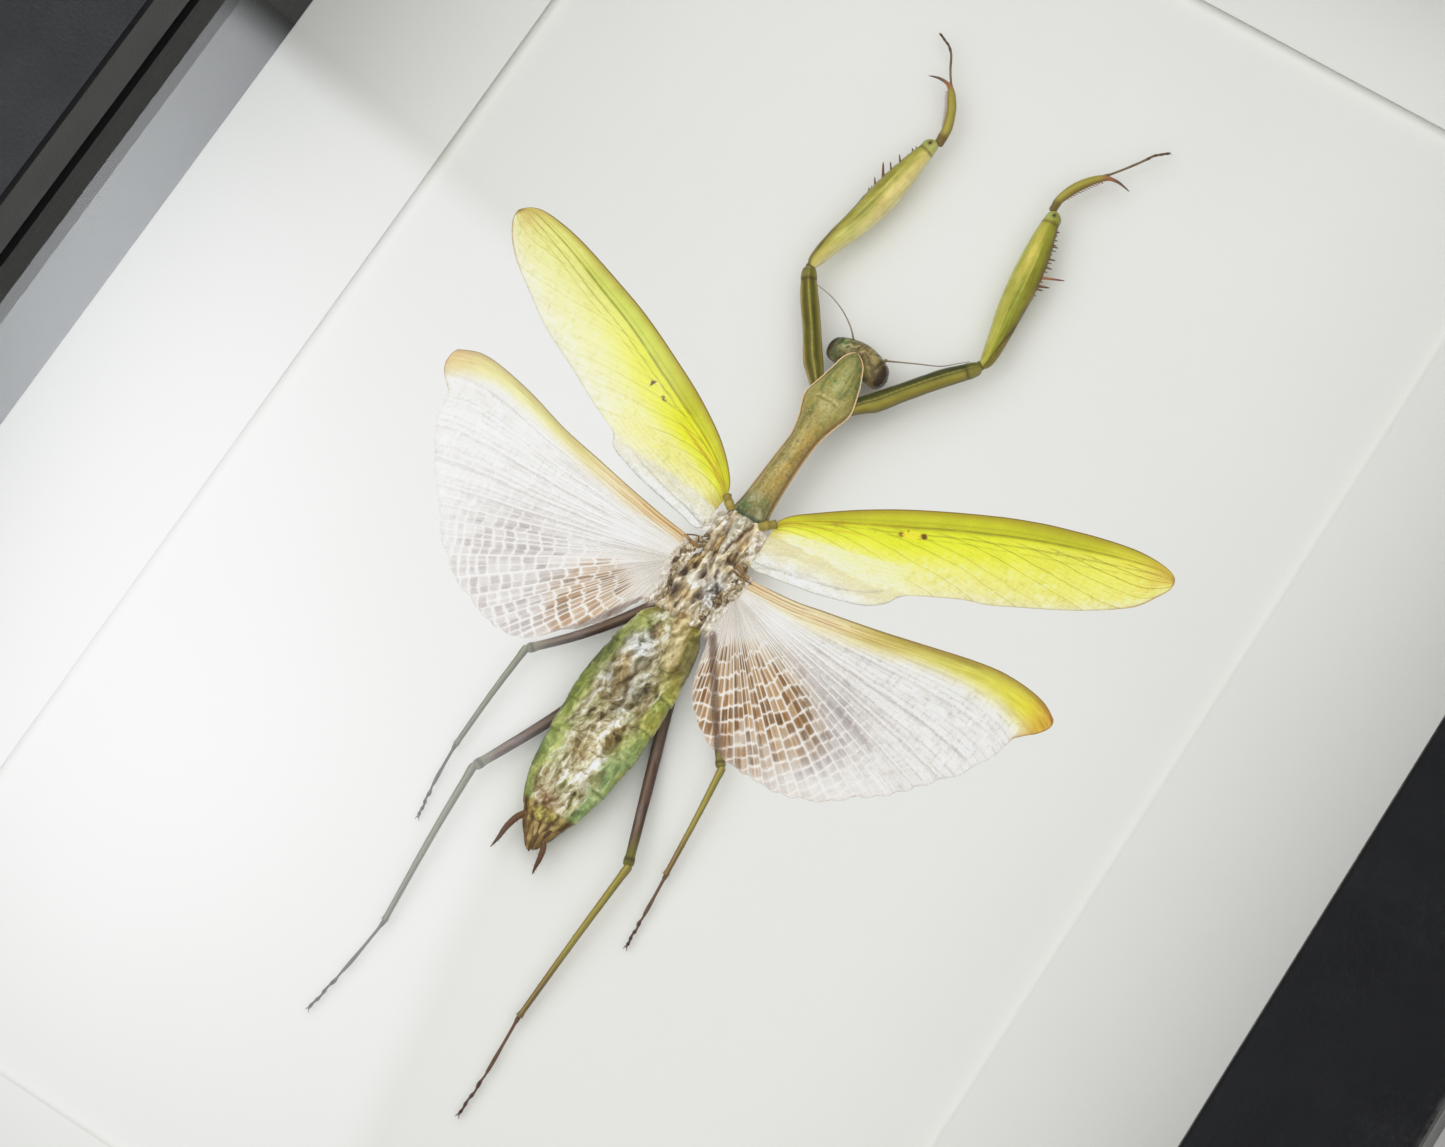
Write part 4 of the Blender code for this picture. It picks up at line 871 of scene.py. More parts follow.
    # painted white glints on some creased pieces and in thin flecks, and greyer pieces
    colour = blend(colour, (255, 254, 252), step(piece, 0.62, 0.90) * 0.34 * inner * step(r, 5, 12) * (0.35 + 0.65 * open_part))
    colour = blend(colour, (178, 170, 166), step(1 - piece, 0.76, 0.92) * 0.20 * inner * step(r, 5, 12) * (0.4 + 0.6 * open_part))
    colour = blend(colour, (146, 137, 130), thin * 0.72 * open_part)
    colour = blend(colour, (152, 144, 138), tick * 0.62 * open_part)
    glint = step(ridged(r * 1.5 + 1.2 * fibre, n * 3.4, seed=113 + left, octaves=2), 0.72, 0.94) * step(r, 6, 14)
    colour = blend(colour, (255, 255, 252), glint * 0.55 * (0.4 + 0.6 * open_part))
    # grey and brown cells
    inside_cell =(1 - main) * (1 - cross) * (1 - 0.75 * half) * np.clip(0.85 + 0.9 * fibre, 0.25, 1.25)

    def patch(centre_deg, wide, centre_r, deep, power=1.0):
        return np.exp(-(((deg - centre_deg) / wide) ** 2 + ((r - centre_r) / deep) ** 2) ** power)

    grey_w = np.clip(sum(patch(*row[:4]) * row[4] for row in grey), 0, 1) * inside_cell * (0.55 + 0.75 * lit)
    colour = blend(colour, (150, 140, 138), np.clip(grey_w, 0, 1))
    brown_w = np.clip(sum(patch(*row[:4], 1.6) * row[4] for row in brown), 0, 1) * inside_cell
    brown_w = brown_w * ((0.72 if left else 0.96) + 0.50 * step(lit, 0.1, 0.75)) * step(r, 5.0, 8)
    shade = along(lit, [(0, (172, 132, 84)), (0.5, (144, 102, 56)), (1, (108, 76, 40))]) + (30 * fibre)[..., None]
    shade = shade if left else shade * [0.96, 0.94, 0.84]
    colour = colour * (1 - np.clip(brown_w, 0, 1)[..., None]) + shade * np.clip(brown_w, 0, 1)[..., None]
    weave = np.clip(1.6 * cross * cells, 0, 1)
    colour = blend(colour, (226, 219, 212), main * (0.45 + 0.2 * cells) * (1 - 0.55 * np.clip(1.5 * brown_w, 0, 1) - 0.4 * step(sum(patch(*row[:4], 1.6) * row[4] for row in brown), 0.2, 0.7)))
    colour = blend(colour, (238, 230, 222), (0.78 if left else 0.68) * weave)
    colour = blend(colour, (228, 216, 205), half * 0.5 * cells)
    faint = np.exp(-(np.minimum((x * 2) % 1, 1 - (x * 2) % 1) * gap_here / 2 / 0.08) ** 2) * (1 - cells) * step(r, 10, 18)
    colour = blend(colour, (206, 202, 198), faint * 0.35)
    # a painted shade line beside each main vein
    groove = np.exp(-((d_main - 0.30) / 0.10) ** 2) * (1 - step(a[:, None], 0.50, 0.72))
    colour = blend(colour, (178, 172, 172), groove * 0.42 * step(r, 6, 16) * (0.4 + 0.6 * dice(k, seed=103)))
    colour = blend(colour, (198, 192, 192), quarter * 0.35 * (1 - 0.6 * cells))
    colour = blend(colour, (204, 198, 190), (1 - step(r, 3, 8)) * 0.6)
    streak = 0.5 + 0.5 * np.sin(deg * (4.2 if left else 3.9) + 1.5 * fbm(r * 0.2, deg * 0.3, seed=105))
    near_hub = 1 - step(r, 8, 15)
    colour = blend(colour, (112, 98, 84), near_hub * 0.50 * step(streak, 0.60, 0.98) * (0.3 + 0.9 * dice(k, seed=106)))
    colour = blend(colour, (244, 240, 234), near_hub * 0.42 * step(1 - streak, 0.78, 1.0))
    # outer rim: fine pale scallops with dull streaks just inside
    rim = (1 - rho) * R
    near = (1 - step(rim, 0.6, 2.4)) * step(a[:, None], 0.22, 0.4)
    colour = blend(colour, (172, 148, 132) if not left else (176, 166, 162), near * 0.45 * (0.4 + 0.6 * lit) * inside_cell)
    colour = blend(colour, (205, 196, 186), (1 - step(rim, 0.05, 0.28)) * 0.7)
    # the coloured front band
    if left:
        stops = [(0, (196, 168, 124)), (0.16, (210, 182, 134)), (0.34, (212, 192, 138)), (0.48, (208, 198, 130)), (0.66, (208, 204, 132)), (0.84, (210, 200, 128)), (1, (200, 174, 104))]
    else:
        stops = [(0, (204, 180, 140)), (0.12, (228, 210, 176)), (0.28, (222, 206, 164)), (0.42, (198, 182, 104)), (0.60, (194, 186, 88)), (0.78, (198, 192, 66)), (0.92, (208, 196, 44)), (1, (202, 164, 52))]
    strip = along(where, stops)
    grooves = 0.5 + 0.5 * np.cos(d_front / 0.62 * 2 * np.pi)
    strip = strip - (20 * step(grooves, 0.7, 1.0) * (1 - step(d_front, 1.6, 2.6)))[..., None] + (8 * fbm(r * 0.3, d_front * 2, seed=107))[..., None]
    strip = blend(strip, (234, 214, 168) if not left else (236, 218, 178), np.exp(-((d_front - 0.95) / 0.26) ** 2) * 0.45 * (1 - step(where, 0.3, 0.5)))
    strip = blend(strip, (154, 140, 48), np.exp(-((d_front - 0.85) / 0.26) ** 2) * 0.45 * step(where, 0.30, 0.50) * (1 - step(where, 0.85, 1)))
    tipness = step(where, 0.86, 1.0)
    strip = blend(strip, (236, 226, 190) if left else (226, 214, 158), step(d_front / band_w, 0.35, 0.95) * (1 - step(where, 0.80, 0.95)) * 0.6)
    strip = blend(strip, (196, 124, 34) if not left else (170, 134, 66), tipness * (1 - step(d_front, 0.1, 1.5)) * 0.75)
    lengthwise = fbm(r * 0.15, d_front * 4.5, seed=108, octaves=3)
    strip = strip + ((16 + 12 * step(where, 0.6, 0.9)) * lengthwise)[..., None]
    strip = blend(strip, (180, 146, 98) if left else (150, 108, 34), (1 - step(d_front, 0.1, 1.1)) * step(where, 0.32, 0.60) * (0.25 if left else 0.50))
    for off, strong in ((0.42, 0.75), (0.86, 0.5), (1.28, 0.7), (1.75, 0.4)):
        vein = np.exp(-((d_front - off - 0.02 * r - 0.10 * fbm(r * 0.2, off, seed=98)) / 0.09) ** 2)
        strip = blend(strip, (140, 96, 50), vein * (1 - step(where, 0.30, 0.62)) * strong * np.clip(0.5 + noise(r * 0.5, off * 9, seed=100), 0, 1))
    strip = blend(strip, (112, 88, 36), 0.75 * (1 - step(d_front, 0.04, 0.26)) * step(where, 0.03, 0.12))
    strip = blend(strip, (158, 142, 58), 0.45 * bump_at(d_front, 0.40, 0.22) * step(where, 0.35, 0.5) * (1 - step(where, 0.9, 1.0)))
    strip = blend(strip, (140, 106, 20), 0.5 * main * step(where, 0.8, 0.95) * step(d_front, 0.8, 1.6))
    colour = colour * (1 - band[..., None]) + strip * band[..., None]
    lobe_rim = (1 - step(rim, 0.03, 0.30)) * (1 - step(a[:, None], 0.05, 0.07)) * step(r, 40, 44)
    colour = blend(colour, (160, 112, 44), lobe_rim * 0.8)
    cover = 0.40 + 0.08 * silk + 0.10 * fibre + 0.42 * main + 0.45 * cross * cells + 0.16 * half + 0.46 * np.clip(brown_w, 0, 1) + 0.16 * grey_w + 0.25 * near_hub
    cover = cover - 0.10 * (1 - step(rim, 0.2, 1.5)) + 0.15 * step(piece, 0.66, 0.86) * open_part + 0.42 * np.maximum(thin, tick) * open_part + 0.35 * glint * open_part
    # the middle leg shows through the membrane
    to_leg, _ = near_line(X, Y, [(-5.2, -9.6), (-10.2, -16.9), (-15.6, -23.4)] if left else [(5.9, -8.6), (11.2, -16.2), (16.6, -23.6)])
    leg = np.exp(-(to_leg / 0.58) ** 4)
    cover = cover - 0.20 * leg
    colour = blend(colour, (78, 56, 40), leg * np.clip(0.62 + 0.5 * fibre, 0.3, 0.85))
    cover = np.clip(cover, 0.2, 0.96) * (1 - band) + 0.93 * band
    # pleats: main veins on crests, half-way veins in the folds
    fold = np.abs(2 * frac - 1) * 2 - 1
    deep = np.clip(0.010 * r, 0.02, 0.22) * (1 - 0.65 * band)
    height = deep * fold + 0.05 * main + 0.05 * cross * cells - 0.03 * half
    height = height + 0.10 * fbm(r * 0.22, deg * 0.10, seed=111 + left, octaves=3) + 0.05 * silk * step(r, 3, 8)
    height = height + 0.14 * (1 - step(d_front, 0.0, 0.5)) - 0.05 * step(grooves, 0.6, 1) * band
    h = 5.9 - 3.3 * abs(X - root_x) / 50
    skin = Skin()
    skin.sheet(np.stack([X, Y, FLOOR + h + height - 0.02], -1), colour, cover, 0.62 + 0.2 * silk, thick=0.05)
    if left:
        axil(skin, ((-5.3, 1.9, 6.1), (-5.7, -3.4, 5.8), (-2.8, -4.2, 6.3), (-2.2, 2.4, 6.6)), 321)
        axil(skin, ((-5.5, -3.2, 5.8), (-5.6, -9.6, 5.6), (-3.4, -10.2, 5.6), (-2.8, -3.8, 6.2)), 331)
    else:
        axil(skin, ((6.3, 1.2, 6.1), (6.5, -3.4, 5.8), (4.0, -4.2, 6.3), (3.6, 1.8, 6.6)), 341)
        axil(skin, ((6.2, -3.2, 5.8), (6.2, -9.8, 5.6), (4.0, -10.0, 5.6), (3.9, -3.8, 6.2)), 351)
    return lets_light_through(skin.make(node, WING, 1.27 if left else 1.24))


hindwing("hindwing_left", [
    (-3.4, 0.9), (-5.1, 1.7), (-9.8, 2.4), (-16.0, 3.6), (-22.0, 4.9), (-28.3, 6.2), (-35.8, 8.4), (-42.1, 9.7),
    (-45.7, 9.8), (-48.7, 8.7), (-49.3, 6.4), (-48.2, 4.4), (-46.3, 2.6), (-45.8, 0.0), (-45.1, -2.0), (-41.6, -7.4),
    (-38.6, -11.0), (-36.4, -13.4), (-34.6, -15.9), (-32.1, -17.8), (-29.3, -20.1), (-26.2, -21.2), (-22.2, -22.7),
    (-18.5, -23.0), (-16.4, -22.6), (-14.6, -21.2), (-12.6, -19.2), (-9.6, -16.6), (-7.2, -13.6), (-6.0, -11.0),
    (-4.6, -8.2), (-3.7, -4.0)], 9, (-4.3, -2.0), -3.4,
    [(-54, 17, 12.5, 6.5, 1.0), (-62, 10, 16.0, 4.5, 0.6), (-38, 10, 11.0, 3.5, 0.45)],
    [(-40, 24, 21, 9, 0.95), (-30, 16, 28, 7, 0.65), (-58, 16, 22, 8, 0.55), (-20, 10, 22, 8, 0.45)], True)
hindwing("hindwing_right", [
    (5.0, 0.7), (7.5, 0.9), (12.8, 1.5), (17.3, 2.5), (24.0, 4.0), (30.6, 5.7), (37.2, 7.4), (41.9, 8.2), (45.8, 8.2),
    (49.0, 7.6), (51.2, 6.4), (51.4, 5.0), (50.2, 3.2), (48.2, 1.4), (47.8, -0.1), (47.2, -2.4), (46.1, -4.3),
    (44.3, -7.2), (42.3, -9.5), (39.4, -13.0), (37.0, -15.4), (34.1, -17.5), (31.6, -19.8), (28.8, -21.2),
    (25.6, -22.4), (21.9, -22.6), (18.9, -22.6), (16.6, -22.3), (14.4, -21.9), (12.5, -21.1), (10.3, -19.5),
    (8.6, -17.8), (7.3, -15.4), (6.6, -13.0), (5.9, -10.2), (5.0, -7.6), (4.6, -3.0)], 10, (5.1, -2.1), 4.8,
    [(-50, 26, 13.5, 7.5, 1.0), (-34, 11, 18.0, 5.5, 0.75), (-68, 14, 15.0, 7.0, 0.8), (-58, 26, 24.0, 2.6, 0.5)],
    [(-24, 14, 23, 6, 0.85), (-42, 24, 23, 5, 0.6), (-16, 8, 17, 6, 0.4), (-76, 16, 13, 6, 0.4)], False)

# ---- legs -----------------------------------------------------------------------------------------------------------
LEG = surface("leg_cuticle", 1.1, 0.016, 0.06, (0.60, 0.30))


def segment_line(rows):
    """Places, lengths and headings along a leg segment, from rows (x, y, h, half width, half height)."""
    run = curve_through(rows, 10)
    ahead = np.gradient(run[:, :2], axis=0)
    return run, lengths(run[:, :3]), ahead / np.linalg.norm(ahead, axis=1)[:, None]


def segment(skin, rows, paint, side=1, around=20, gap=0.2, reach=(0.25, 0.25), blunt=0.45):
    """One leg segment. paint(s, d, e, u) gives its colours, relief and gloss: s runs 0 to 1 along it, d is the same in
    mm, e runs across it with 1 on its spined side, and u is 1 on top."""
    run, at, ahead = segment_line(rows)
    total = at[-1]
    place = np.linspace(-reach[0], total + reach[1], int((total + sum(reach)) / gap) + 1)
    x, y, h, w, t = (np.interp(place, at, run[:, k]) for k in range(5))
    ax, ay = (np.interp(place, at, ahead[:, k]) for k in (0, 1))
    over = np.minimum(place, 0) + np.maximum(place - total, 0)
    x, y = x + over * ax, y + over * ay
    end = np.minimum(place + reach[0], total + reach[1] - place) + 0.02
    taper = np.sqrt(np.clip(1 - np.clip(1 - end / blunt, 0, 1) ** 2, 0.02, 1))[:, None]
    turn = 2 * np.pi * np.arange(around) / around
    c, u = np.cos(turn)[None], np.sin(turn)[None]
    colour, relief, gloss = paint(np.clip(place / total, 0, 1)[:, None], place[:, None], side * c, u)
    out, up = (w[:, None] + relief) * taper * c, (t[:, None] + relief) * taper * u
    x, y, h, ax, ay = (a[:, None] for a in (x, y, h, ax, ay))
    skin.closed(np.stack([x - ay * out, y + ax * out, FLOOR + h + up], -1), colour, 1.0, gloss)


def spine(skin, rows, place, length, side, lean=45, radius=0.12, colour=(156, 88, 56), root=0.85, rise=0.1, bend=0.0, thin=0.85):
    """One spine on the edge of a segment, leaning towards the segment's far end."""
    run, at, ahead = segment_line(rows)
    x, y, h, w = (np.interp(place * at[-1], at, run[:, k]) for k in range(4))
    a = np.array([np.interp(place * at[-1], at, ahead[:, k]) for k in (0, 1)])
    out = side * np.array([-a[1], a[0]])
    k = np.linspace(0, 1, 7)[:, None]
    turn = np.radians(lean)
    line = np.array([x, y]) + out * w * root + (out * np.cos(turn) + a * np.sin(turn)) * length * k + a * bend * k ** 2
    tint = blend(tone(*colour) + 0 * k, (84, 44, 28), k[:, 0] ** 2)
    skin.tube(np.c_[line, FLOOR + h + rise * length * k[:, 0]], radius * (1 - thin * k[:, 0] ** 0.8) * np.where(k[:, 0] > 0.95, 0.4, 1), tint, sides=8, gloss=0.7)


def coxa_paint(right):
    def paint(s, d, e, u):
        mottle = fbm(d * 0.8, e * 2.5 + u, seed=121 + right, octaves=4)
        if right:
            colour = along(e + 0.05 * mottle, [(-1, (150, 150, 84)), (-0.82, (96, 104, 22)), (-0.45, (62, 74, 8)), (-0.10, (96, 104, 30)), (-0.02, (166, 168, 84)), (0.10, (84, 90, 18)), (0.22, (148, 154, 62)), (0.6, (182, 182, 98)), (0.9, (150, 148, 60)), (1, (120, 116, 50))])
            relief = 0.10 * bump_at(e, -0.02, 0.07) - 0.12 * bump_at(e, 0.12, 0.07) + 0.08 * bump_at(e, 0.55, 0.25)
        else:
            colour = along(e + 0.05 * mottle, [(-1, (120, 122, 48)), (-0.88, (196, 198, 120)), (-0.72, (128, 132, 36)), (-0.42, (88, 98, 12)), (-0.12, (138, 146, 44)), (0.0, (176, 180, 84)), (0.14, (128, 136, 34)), (0.46, (92, 100, 14)), (0.70, (124, 128, 30)), (0.86, (208, 206, 140)), (1, (140, 136, 70))])
            relief = 0.10 * bump_at(e, 0, 0.10) + 0.09 * bump_at(abs(e), 0.86, 0.10) - 0.07 * bump_at(abs(e), 0.45, 0.18)
        beads = 0.5 + 0.5 * np.sin(d * 7.5 + 2 * mottle)
        colour = blend(colour, (196, 196, 118), bump_at(e, -0.02 if right else 0.0, 0.09) * beads * 0.75)
        colour = colour + (16 * mottle + 9 * fbm(d * 0.5, e * 8, seed=125))[..., None]
        colour = blend(colour, (150, 160, 92), step(s, 0.88, 0.95) * (0.5 + 0.5 * step(mottle, -0.2, 0.3)))
        colour = blend(colour, (70, 60, 20), bump_at(s, 0.905, 0.012) * 0.6) * ([0.85, 0.78, 0.48] if right else [0.87, 0.77, 0.68])
        return colour, relief + 0.05 * mottle + 0.10 * step(s, 0.90, 0.94) + 0.03 * beads * bump_at(e, 0, 0.12), 0.55 + 0.2 * mottle
    return paint


def fore_femur_paint(right):
    def paint(s, d, e, u):
        streak = fbm(d * 0.34, e * 8.0 + 2 * u, seed=131 + right, octaves=4, gain=0.7) * 1.35
        mottle = fbm(d * 0.8, e * 2, u, seed=133 + right, octaves=4) * 1.3
        if right:
            colour = along(e + 0.10 * streak, [(-1, (186, 190, 112)), (-0.75, (170, 172, 78)), (-0.35, (176, 172, 62)), (0, (160, 160, 46)), (0.45, (138, 142, 28)), (0.8, (128, 126, 30)), (1, (108, 96, 30))])
            colour = blend(colour, (212, 196, 84), bump_at(s, 0.68, 0.20) * bump_at(e, -0.20, 0.28) * 0.85)
            colour = blend(colour, (112, 128, 16), bump_at(s, 0.45, 0.10) * bump_at(e, 0.05, 0.30) * 0.7)
            colour = blend(colour, (126, 148, 24), bump_at(s, 0.24, 0.12) * bump_at(e, 0.25, 0.4) * 0.5)
        else:
            colour = along(e + 0.10 * streak, [(-1, (206, 202, 128)), (-0.70, (204, 194, 104)), (-0.35, (194, 184, 80)), (0, (168, 164, 52)), (0.45, (146, 146, 32)), (0.8, (132, 130, 30)), (1, (108, 98, 30))])
            colour = blend(colour, (218, 202, 112), bump_at(s, 0.62, 0.18) * bump_at(e, -0.45, 0.30) * 0.8)
            colour = blend(colour, (118, 128, 26), bump_at(s, 0.40, 0.10) * bump_at(e, -0.05, 0.30) * 0.75)
            colour = blend(colour, (168, 178, 74), bump_at(s, 0.25, 0.10) * bump_at(e, -0.5, 0.4) * 0.5)
        for place, wide, strong in ((0.22, 0.035, 0.55), (-0.06, 0.03, 0.45), (0.48, 0.03, 0.35), (-0.34, 0.03, 0.3)):
            line = bump_at(e, place + 0.10 * s - 0.06, wide) * step(s, 0.08, 0.2) * (1 - step(s, 0.66, 0.9))
            colour = blend(colour, (206, 202, 96), line * strong)
            colour = blend(colour, (118, 114, 20), bump_at(e, place + 0.10 * s - 0.06 + 2.2 * wide, wide) * step(s, 0.08, 0.2) * (1 - step(s, 0.6, 0.9)) * strong * 0.7)
        groove = step(e, 0.42, 0.62) * (1 - step(s, 0.20, 0.30))
        colour = blend(colour, (112, 98, 24), groove * 0.75)
        colour = blend(colour, (60, 44, 12), bump_at(e, 0.46 + 0.5 * step(s, 0.05, 0.28), 0.05) * (1 - step(s, 0.22, 0.32)) * 0.8)
        colour = blend(colour, (112, 92, 32), step(e, 0.88, 0.99) * step(s, 0.3, 0.42) * (1 - step(s, 0.88, 0.95)) * 0.6)
        colour = colour + (20 * streak + 13 * mottle)[..., None] + ([6, 2, 0] if right else [16, 11, 24])
        colour = blend(colour, (164, 172, 92), step(s, 0.925, 0.955) * (0.55 + 0.3 * (mottle > 0)))
        colour = blend(colour, (92, 84, 22), bump_at(s, 0.925, 0.010) * 0.6)
        colour = blend(colour, (40, 26, 10), np.exp(-((s - 0.972) / 0.012) ** 2 - ((e - 0.15) / 0.22) ** 2) * (u > 0))
        knob = bump_at(s, 0.965, 0.022) * step(e, -0.1, 0.9)
        scallop = 0.07 * (0.5 + 0.5 * np.sin(s * 95)) * step(e, 0.75, 1.0) * step(s, 0.42, 0.5) * (1 - step(s, 0.86, 0.92))
        relief = 0.05 * streak + 0.22 * knob + scallop - 0.10 * bump_at(e, 0.44, 0.08) * (1 - step(s, 0.2, 0.3)) + 0.05 * bump_at(e, 0.22, 0.10)
        return colour, relief, 0.55 + 0.2 * streak
    return paint


def fore_tibia_paint(s, d, e, u):
    streak = fbm(d * 0.5, e * 5 + 2 * u, seed=141, octaves=3)
    colour = along(e + 0.15 * streak, [(-1, (146, 128, 52)), (-0.5, (162, 148, 56)), (0.2, (170, 158, 58)), (0.7, (154, 136, 46)), (1, (128, 104, 38))])
    colour = blend(colour, (112, 92, 36), 1 - step(s, 0.0, 0.10))
    colour = blend(colour, (160, 104, 66), step(s, 0.60, 0.74))
    colour = blend(colour, (108, 82, 66), step(s, 0.74, 0.86))
    colour = blend(colour, (92, 64, 52), step(s, 0.90, 1.0))
    return colour + (14 * streak)[..., None], 0.03 * streak + 0.05 * bump_at(s, 0.03, 0.03), 0.6 + 0.2 * streak


def tarsus(node, rows, side, colour, stem=0.22, joints=(0.56, 0.72, 0.83, 0.92), claw=0.9, knots=1.0):
    """The foot: one long slender joint, then four short ones that swell at their ends, and two claws."""
    run = curve_through(rows, 10)[:, :3]
    at = lengths(run)
    total = at[-1]
    place = np.unique(np.r_[np.linspace(-0.7, total, 90), [total * j for j in joints]])
    ahead0 = (run[1] - run[0]) / np.linalg.norm(run[1] - run[0])
    pts = np.stack([np.interp(place, at, run[:, k]) for k in range(3)], -1) + np.minimum(place, 0)[:, None] * ahead0
    s = np.clip(place / total, 0, 1)
    edges = np.r_[0, joints, 1.0]
    radius, dark = np.zeros_like(s), np.zeros_like(s)
    for k, (a, b) in enumerate(zip(edges, edges[1:])):
        inside = (s >= a) & (s <= b)
        f = (s - a) / (b - a)
        swell = np.where(f > 0.45, np.sin(np.clip((f - 0.45) / 0.55, 0, 1) * np.pi * 0.86) ** 1.2, 0)
        size = stem * (1.0 - 0.10 * f) if k == 0 else stem * (0.74 + 0.40 * (1 - knots))
        radius = np.where(inside, size + (0.07 if k == 0 else 0.14) * knots * swell * (1 - 0.1 * k) + (0.10 * np.exp(-(f / 0.03) ** 2) if k == 0 else 0), radius)
        dark = np.where(inside, (0.55 if k else 0.15) * swell + 0.12 * k, dark)
    wander = 0.06 * knots * np.sin(s * 31) * step(s, joints[0] - 0.05, joints[0] + 0.1)
    ahead = np.gradient(pts, axis=0)
    ahead /= np.linalg.norm(ahead, axis=1)[:, None]
    across = np.stack([-ahead[:, 1], ahead[:, 0], 0 * s], -1)
    pts = pts + across * (wander * side)[:, None] + np.c_[0 * s, 0 * s, FLOOR + 0.0 * s]
    tint = blend(tone(*colour) + 0 * s[:, None], (66, 46, 36), dark * 0.85) + (10 * fbm(s * 40, 3.3, seed=151))[:, None]
    skin = Skin()
    skin.tube(pts, radius, tint, sides=12, gloss=0.5)
    tip, a, c = pts[-1], ahead[-1], across[-1]
    for way in (-1, 1):
        k = np.linspace(0, 1, 8)[:, None]
        hook = tip + a * claw * (k - 0.25 * k ** 2) + c * way * claw * (0.42 * k - 0.05 * k ** 2) + [0, 0, 1] * (0.10 * np.sin(np.pi * k) - 0.34 * k ** 2) * claw
        skin.tube(hook, stem * 0.5 * (1 - 0.8 * k[:, 0]), (78, 52, 36), sides=6, gloss=0.8)
    skin.tube(tip + a * np.linspace(-0.1, 0.34, 5)[:, None] * claw, stem * np.array([0.6, 0.8, 0.85, 0.6, 0.15]), (120, 104, 84), sides=8)
    for j in joints:
        base = pts[np.searchsorted(s, j)]
        for way in (-1, 1):
            skin.tube(base + (a * 0.5 + c * way * 0.45) * np.linspace(0, 0.34, 4)[:, None] + [0, 0, -0.05], 0.055 * np.array([1, 0.8, 0.5, 0.15]), (74, 50, 36), sides=5)
    return skin.make(node, LEG)


def fore_leg(which, side, coxa, femur, tibia, foot, spines, lean):
    right = which == "right"
    skin = Skin()
    segment(skin, coxa, coxa_paint(right), side, around=44, gap=0.13, reach=(0.2, 0.35), blunt=0.7)
    # the small joint between coxa and femur
    a, b = np.array(coxa[-1][:3]), np.array(femur[0][:3])
    k = np.linspace(0, 1, 7)[:, None]
    mid = a + (b - a) * (1.5 * k - 0.2) + [side * (0.25 if right else -0.10), 0, -0.1]
    skin.tube(mid + [0, 0, FLOOR], 0.72 * np.sin(np.pi * (0.15 + 0.7 * k[:, 0])) ** 0.5, along(k[:, 0], [(0, (140, 140, 74)), (0.5, (96, 84, 30)), (1, (150, 142, 66))]), sides=20, gloss=0.6)
    skin.make("foreleg_%s_coxa" % which, LEG)
    skin = Skin()
    segment(skin, femur, fore_femur_paint(right), side, around=56, gap=0.13, reach=(0.45, 0.3), blunt=0.8)
    for place, length, turn in spines:
        spine(skin, femur, place, length, side, turn, radius=0.27 if length > 1.8 else 0.20, colour=(168, 116, 78) if length > 3 else (124, 84, 54), thin=0.62)
    for k in range(15 if right else 8):
        place = 0.50 + 0.40 * k / (14 if right else 7) + 0.012 * (dice(k, seed=155) - 0.5)
        spine(skin, femur, place, (0.30 + 0.45 * dice(k, seed=157)) * (1 if right else 0.7), side, lean * 0.8, radius=0.13, colour=(112, 76, 42), root=0.93, thin=0.6)
    skin.make("foreleg_%s_femur" % which, LEG)
    skin = Skin()
    segment(skin, tibia, fore_tibia_paint, side, around=24, gap=0.13, reach=(1.0, 0.1), blunt=0.4)
    for k in range(13):
        place = 0.16 + 0.46 * k / 12
        spine(skin, tibia, place, 0.50 + 0.24 * np.sin(k * 0.26) + 0.1 * dice(k, seed=159), side, 42, radius=0.12, colour=(150, 112, 62) if k < 9 else (146, 88, 60), root=0.8, rise=-0.1, thin=0.6)
    skin.make("foreleg_%s_tibia" % which, LEG)
    tarsus("foreleg_%s_tarsus" % which, foot, side, (124, 104, 72), stem=0.17, joints=(0.56, 0.71, 0.82, 0.91), claw=0.5, knots=0.35)


def walking_femur_paint(knee, base):
    def paint(s, d, e, u):
        streak = fbm(d * 0.5, e * 4 + 2 * u, seed=161, octaves=4)
        mottle = fbm(d * 0.35, e, seed=163, octaves=3)
        colour = along(e + 0.15 * streak, [(-1, (64, 46, 32)), (-0.6, (82, 58, 42)), (-0.15, (108, 84, 64)), (0.15, (126, 106, 86)), (0.5, (90, 66, 50)), (1, (62, 44, 32))])
        colour = blend(colour, base, (1 - step(s, 0.05, 0.30)) * 0.7)
        colour = blend(colour, (132, 122, 128), step(mottle, 0.0, 0.5) * step(u, 0, 0.8) * 0.35)
        colour = blend(colour, knee, step(s, 0.84 + 0.05 * e, 0.97))
        colour = blend(colour, (48, 38, 24), bump_at(s, 0.985, 0.01) * 0.6)
        return colour + (14 * streak)[..., None], 0.03 * streak + 0.05 * bump_at(e, 0.1, 0.18) + 0.10 * step(s, 0.955, 0.985), 0.5 + 0.2 * streak
    return paint


def walking_tibia_paint(near, far):
    def paint(s, d, e, u):
        streak = fbm(d * 0.4, e * 3 + 2 * u, seed=165, octaves=4)
        colour = along(s, [(0, near), (0.55, near), (0.8, far), (1, far)])
        # painted highlight along the top and painted shade at both sides
        colour = blend(colour, tone(*near) * 1.22, bump_at(e + 0.1 * streak, 0.05, 0.22) * step(u, 0, 0.6) * 0.6)
        colour = blend(colour, tone(*near) * 0.62, step(abs(e), 0.70, 1.0) * 0.7)
        return colour + (12 * streak)[..., None], 0.02 * streak + 0.08 * step(s, 0.975, 0.995) + 0.05 * bump_at(s, 0.01, 0.02), 0.5 + 0.2 * streak
    return paint


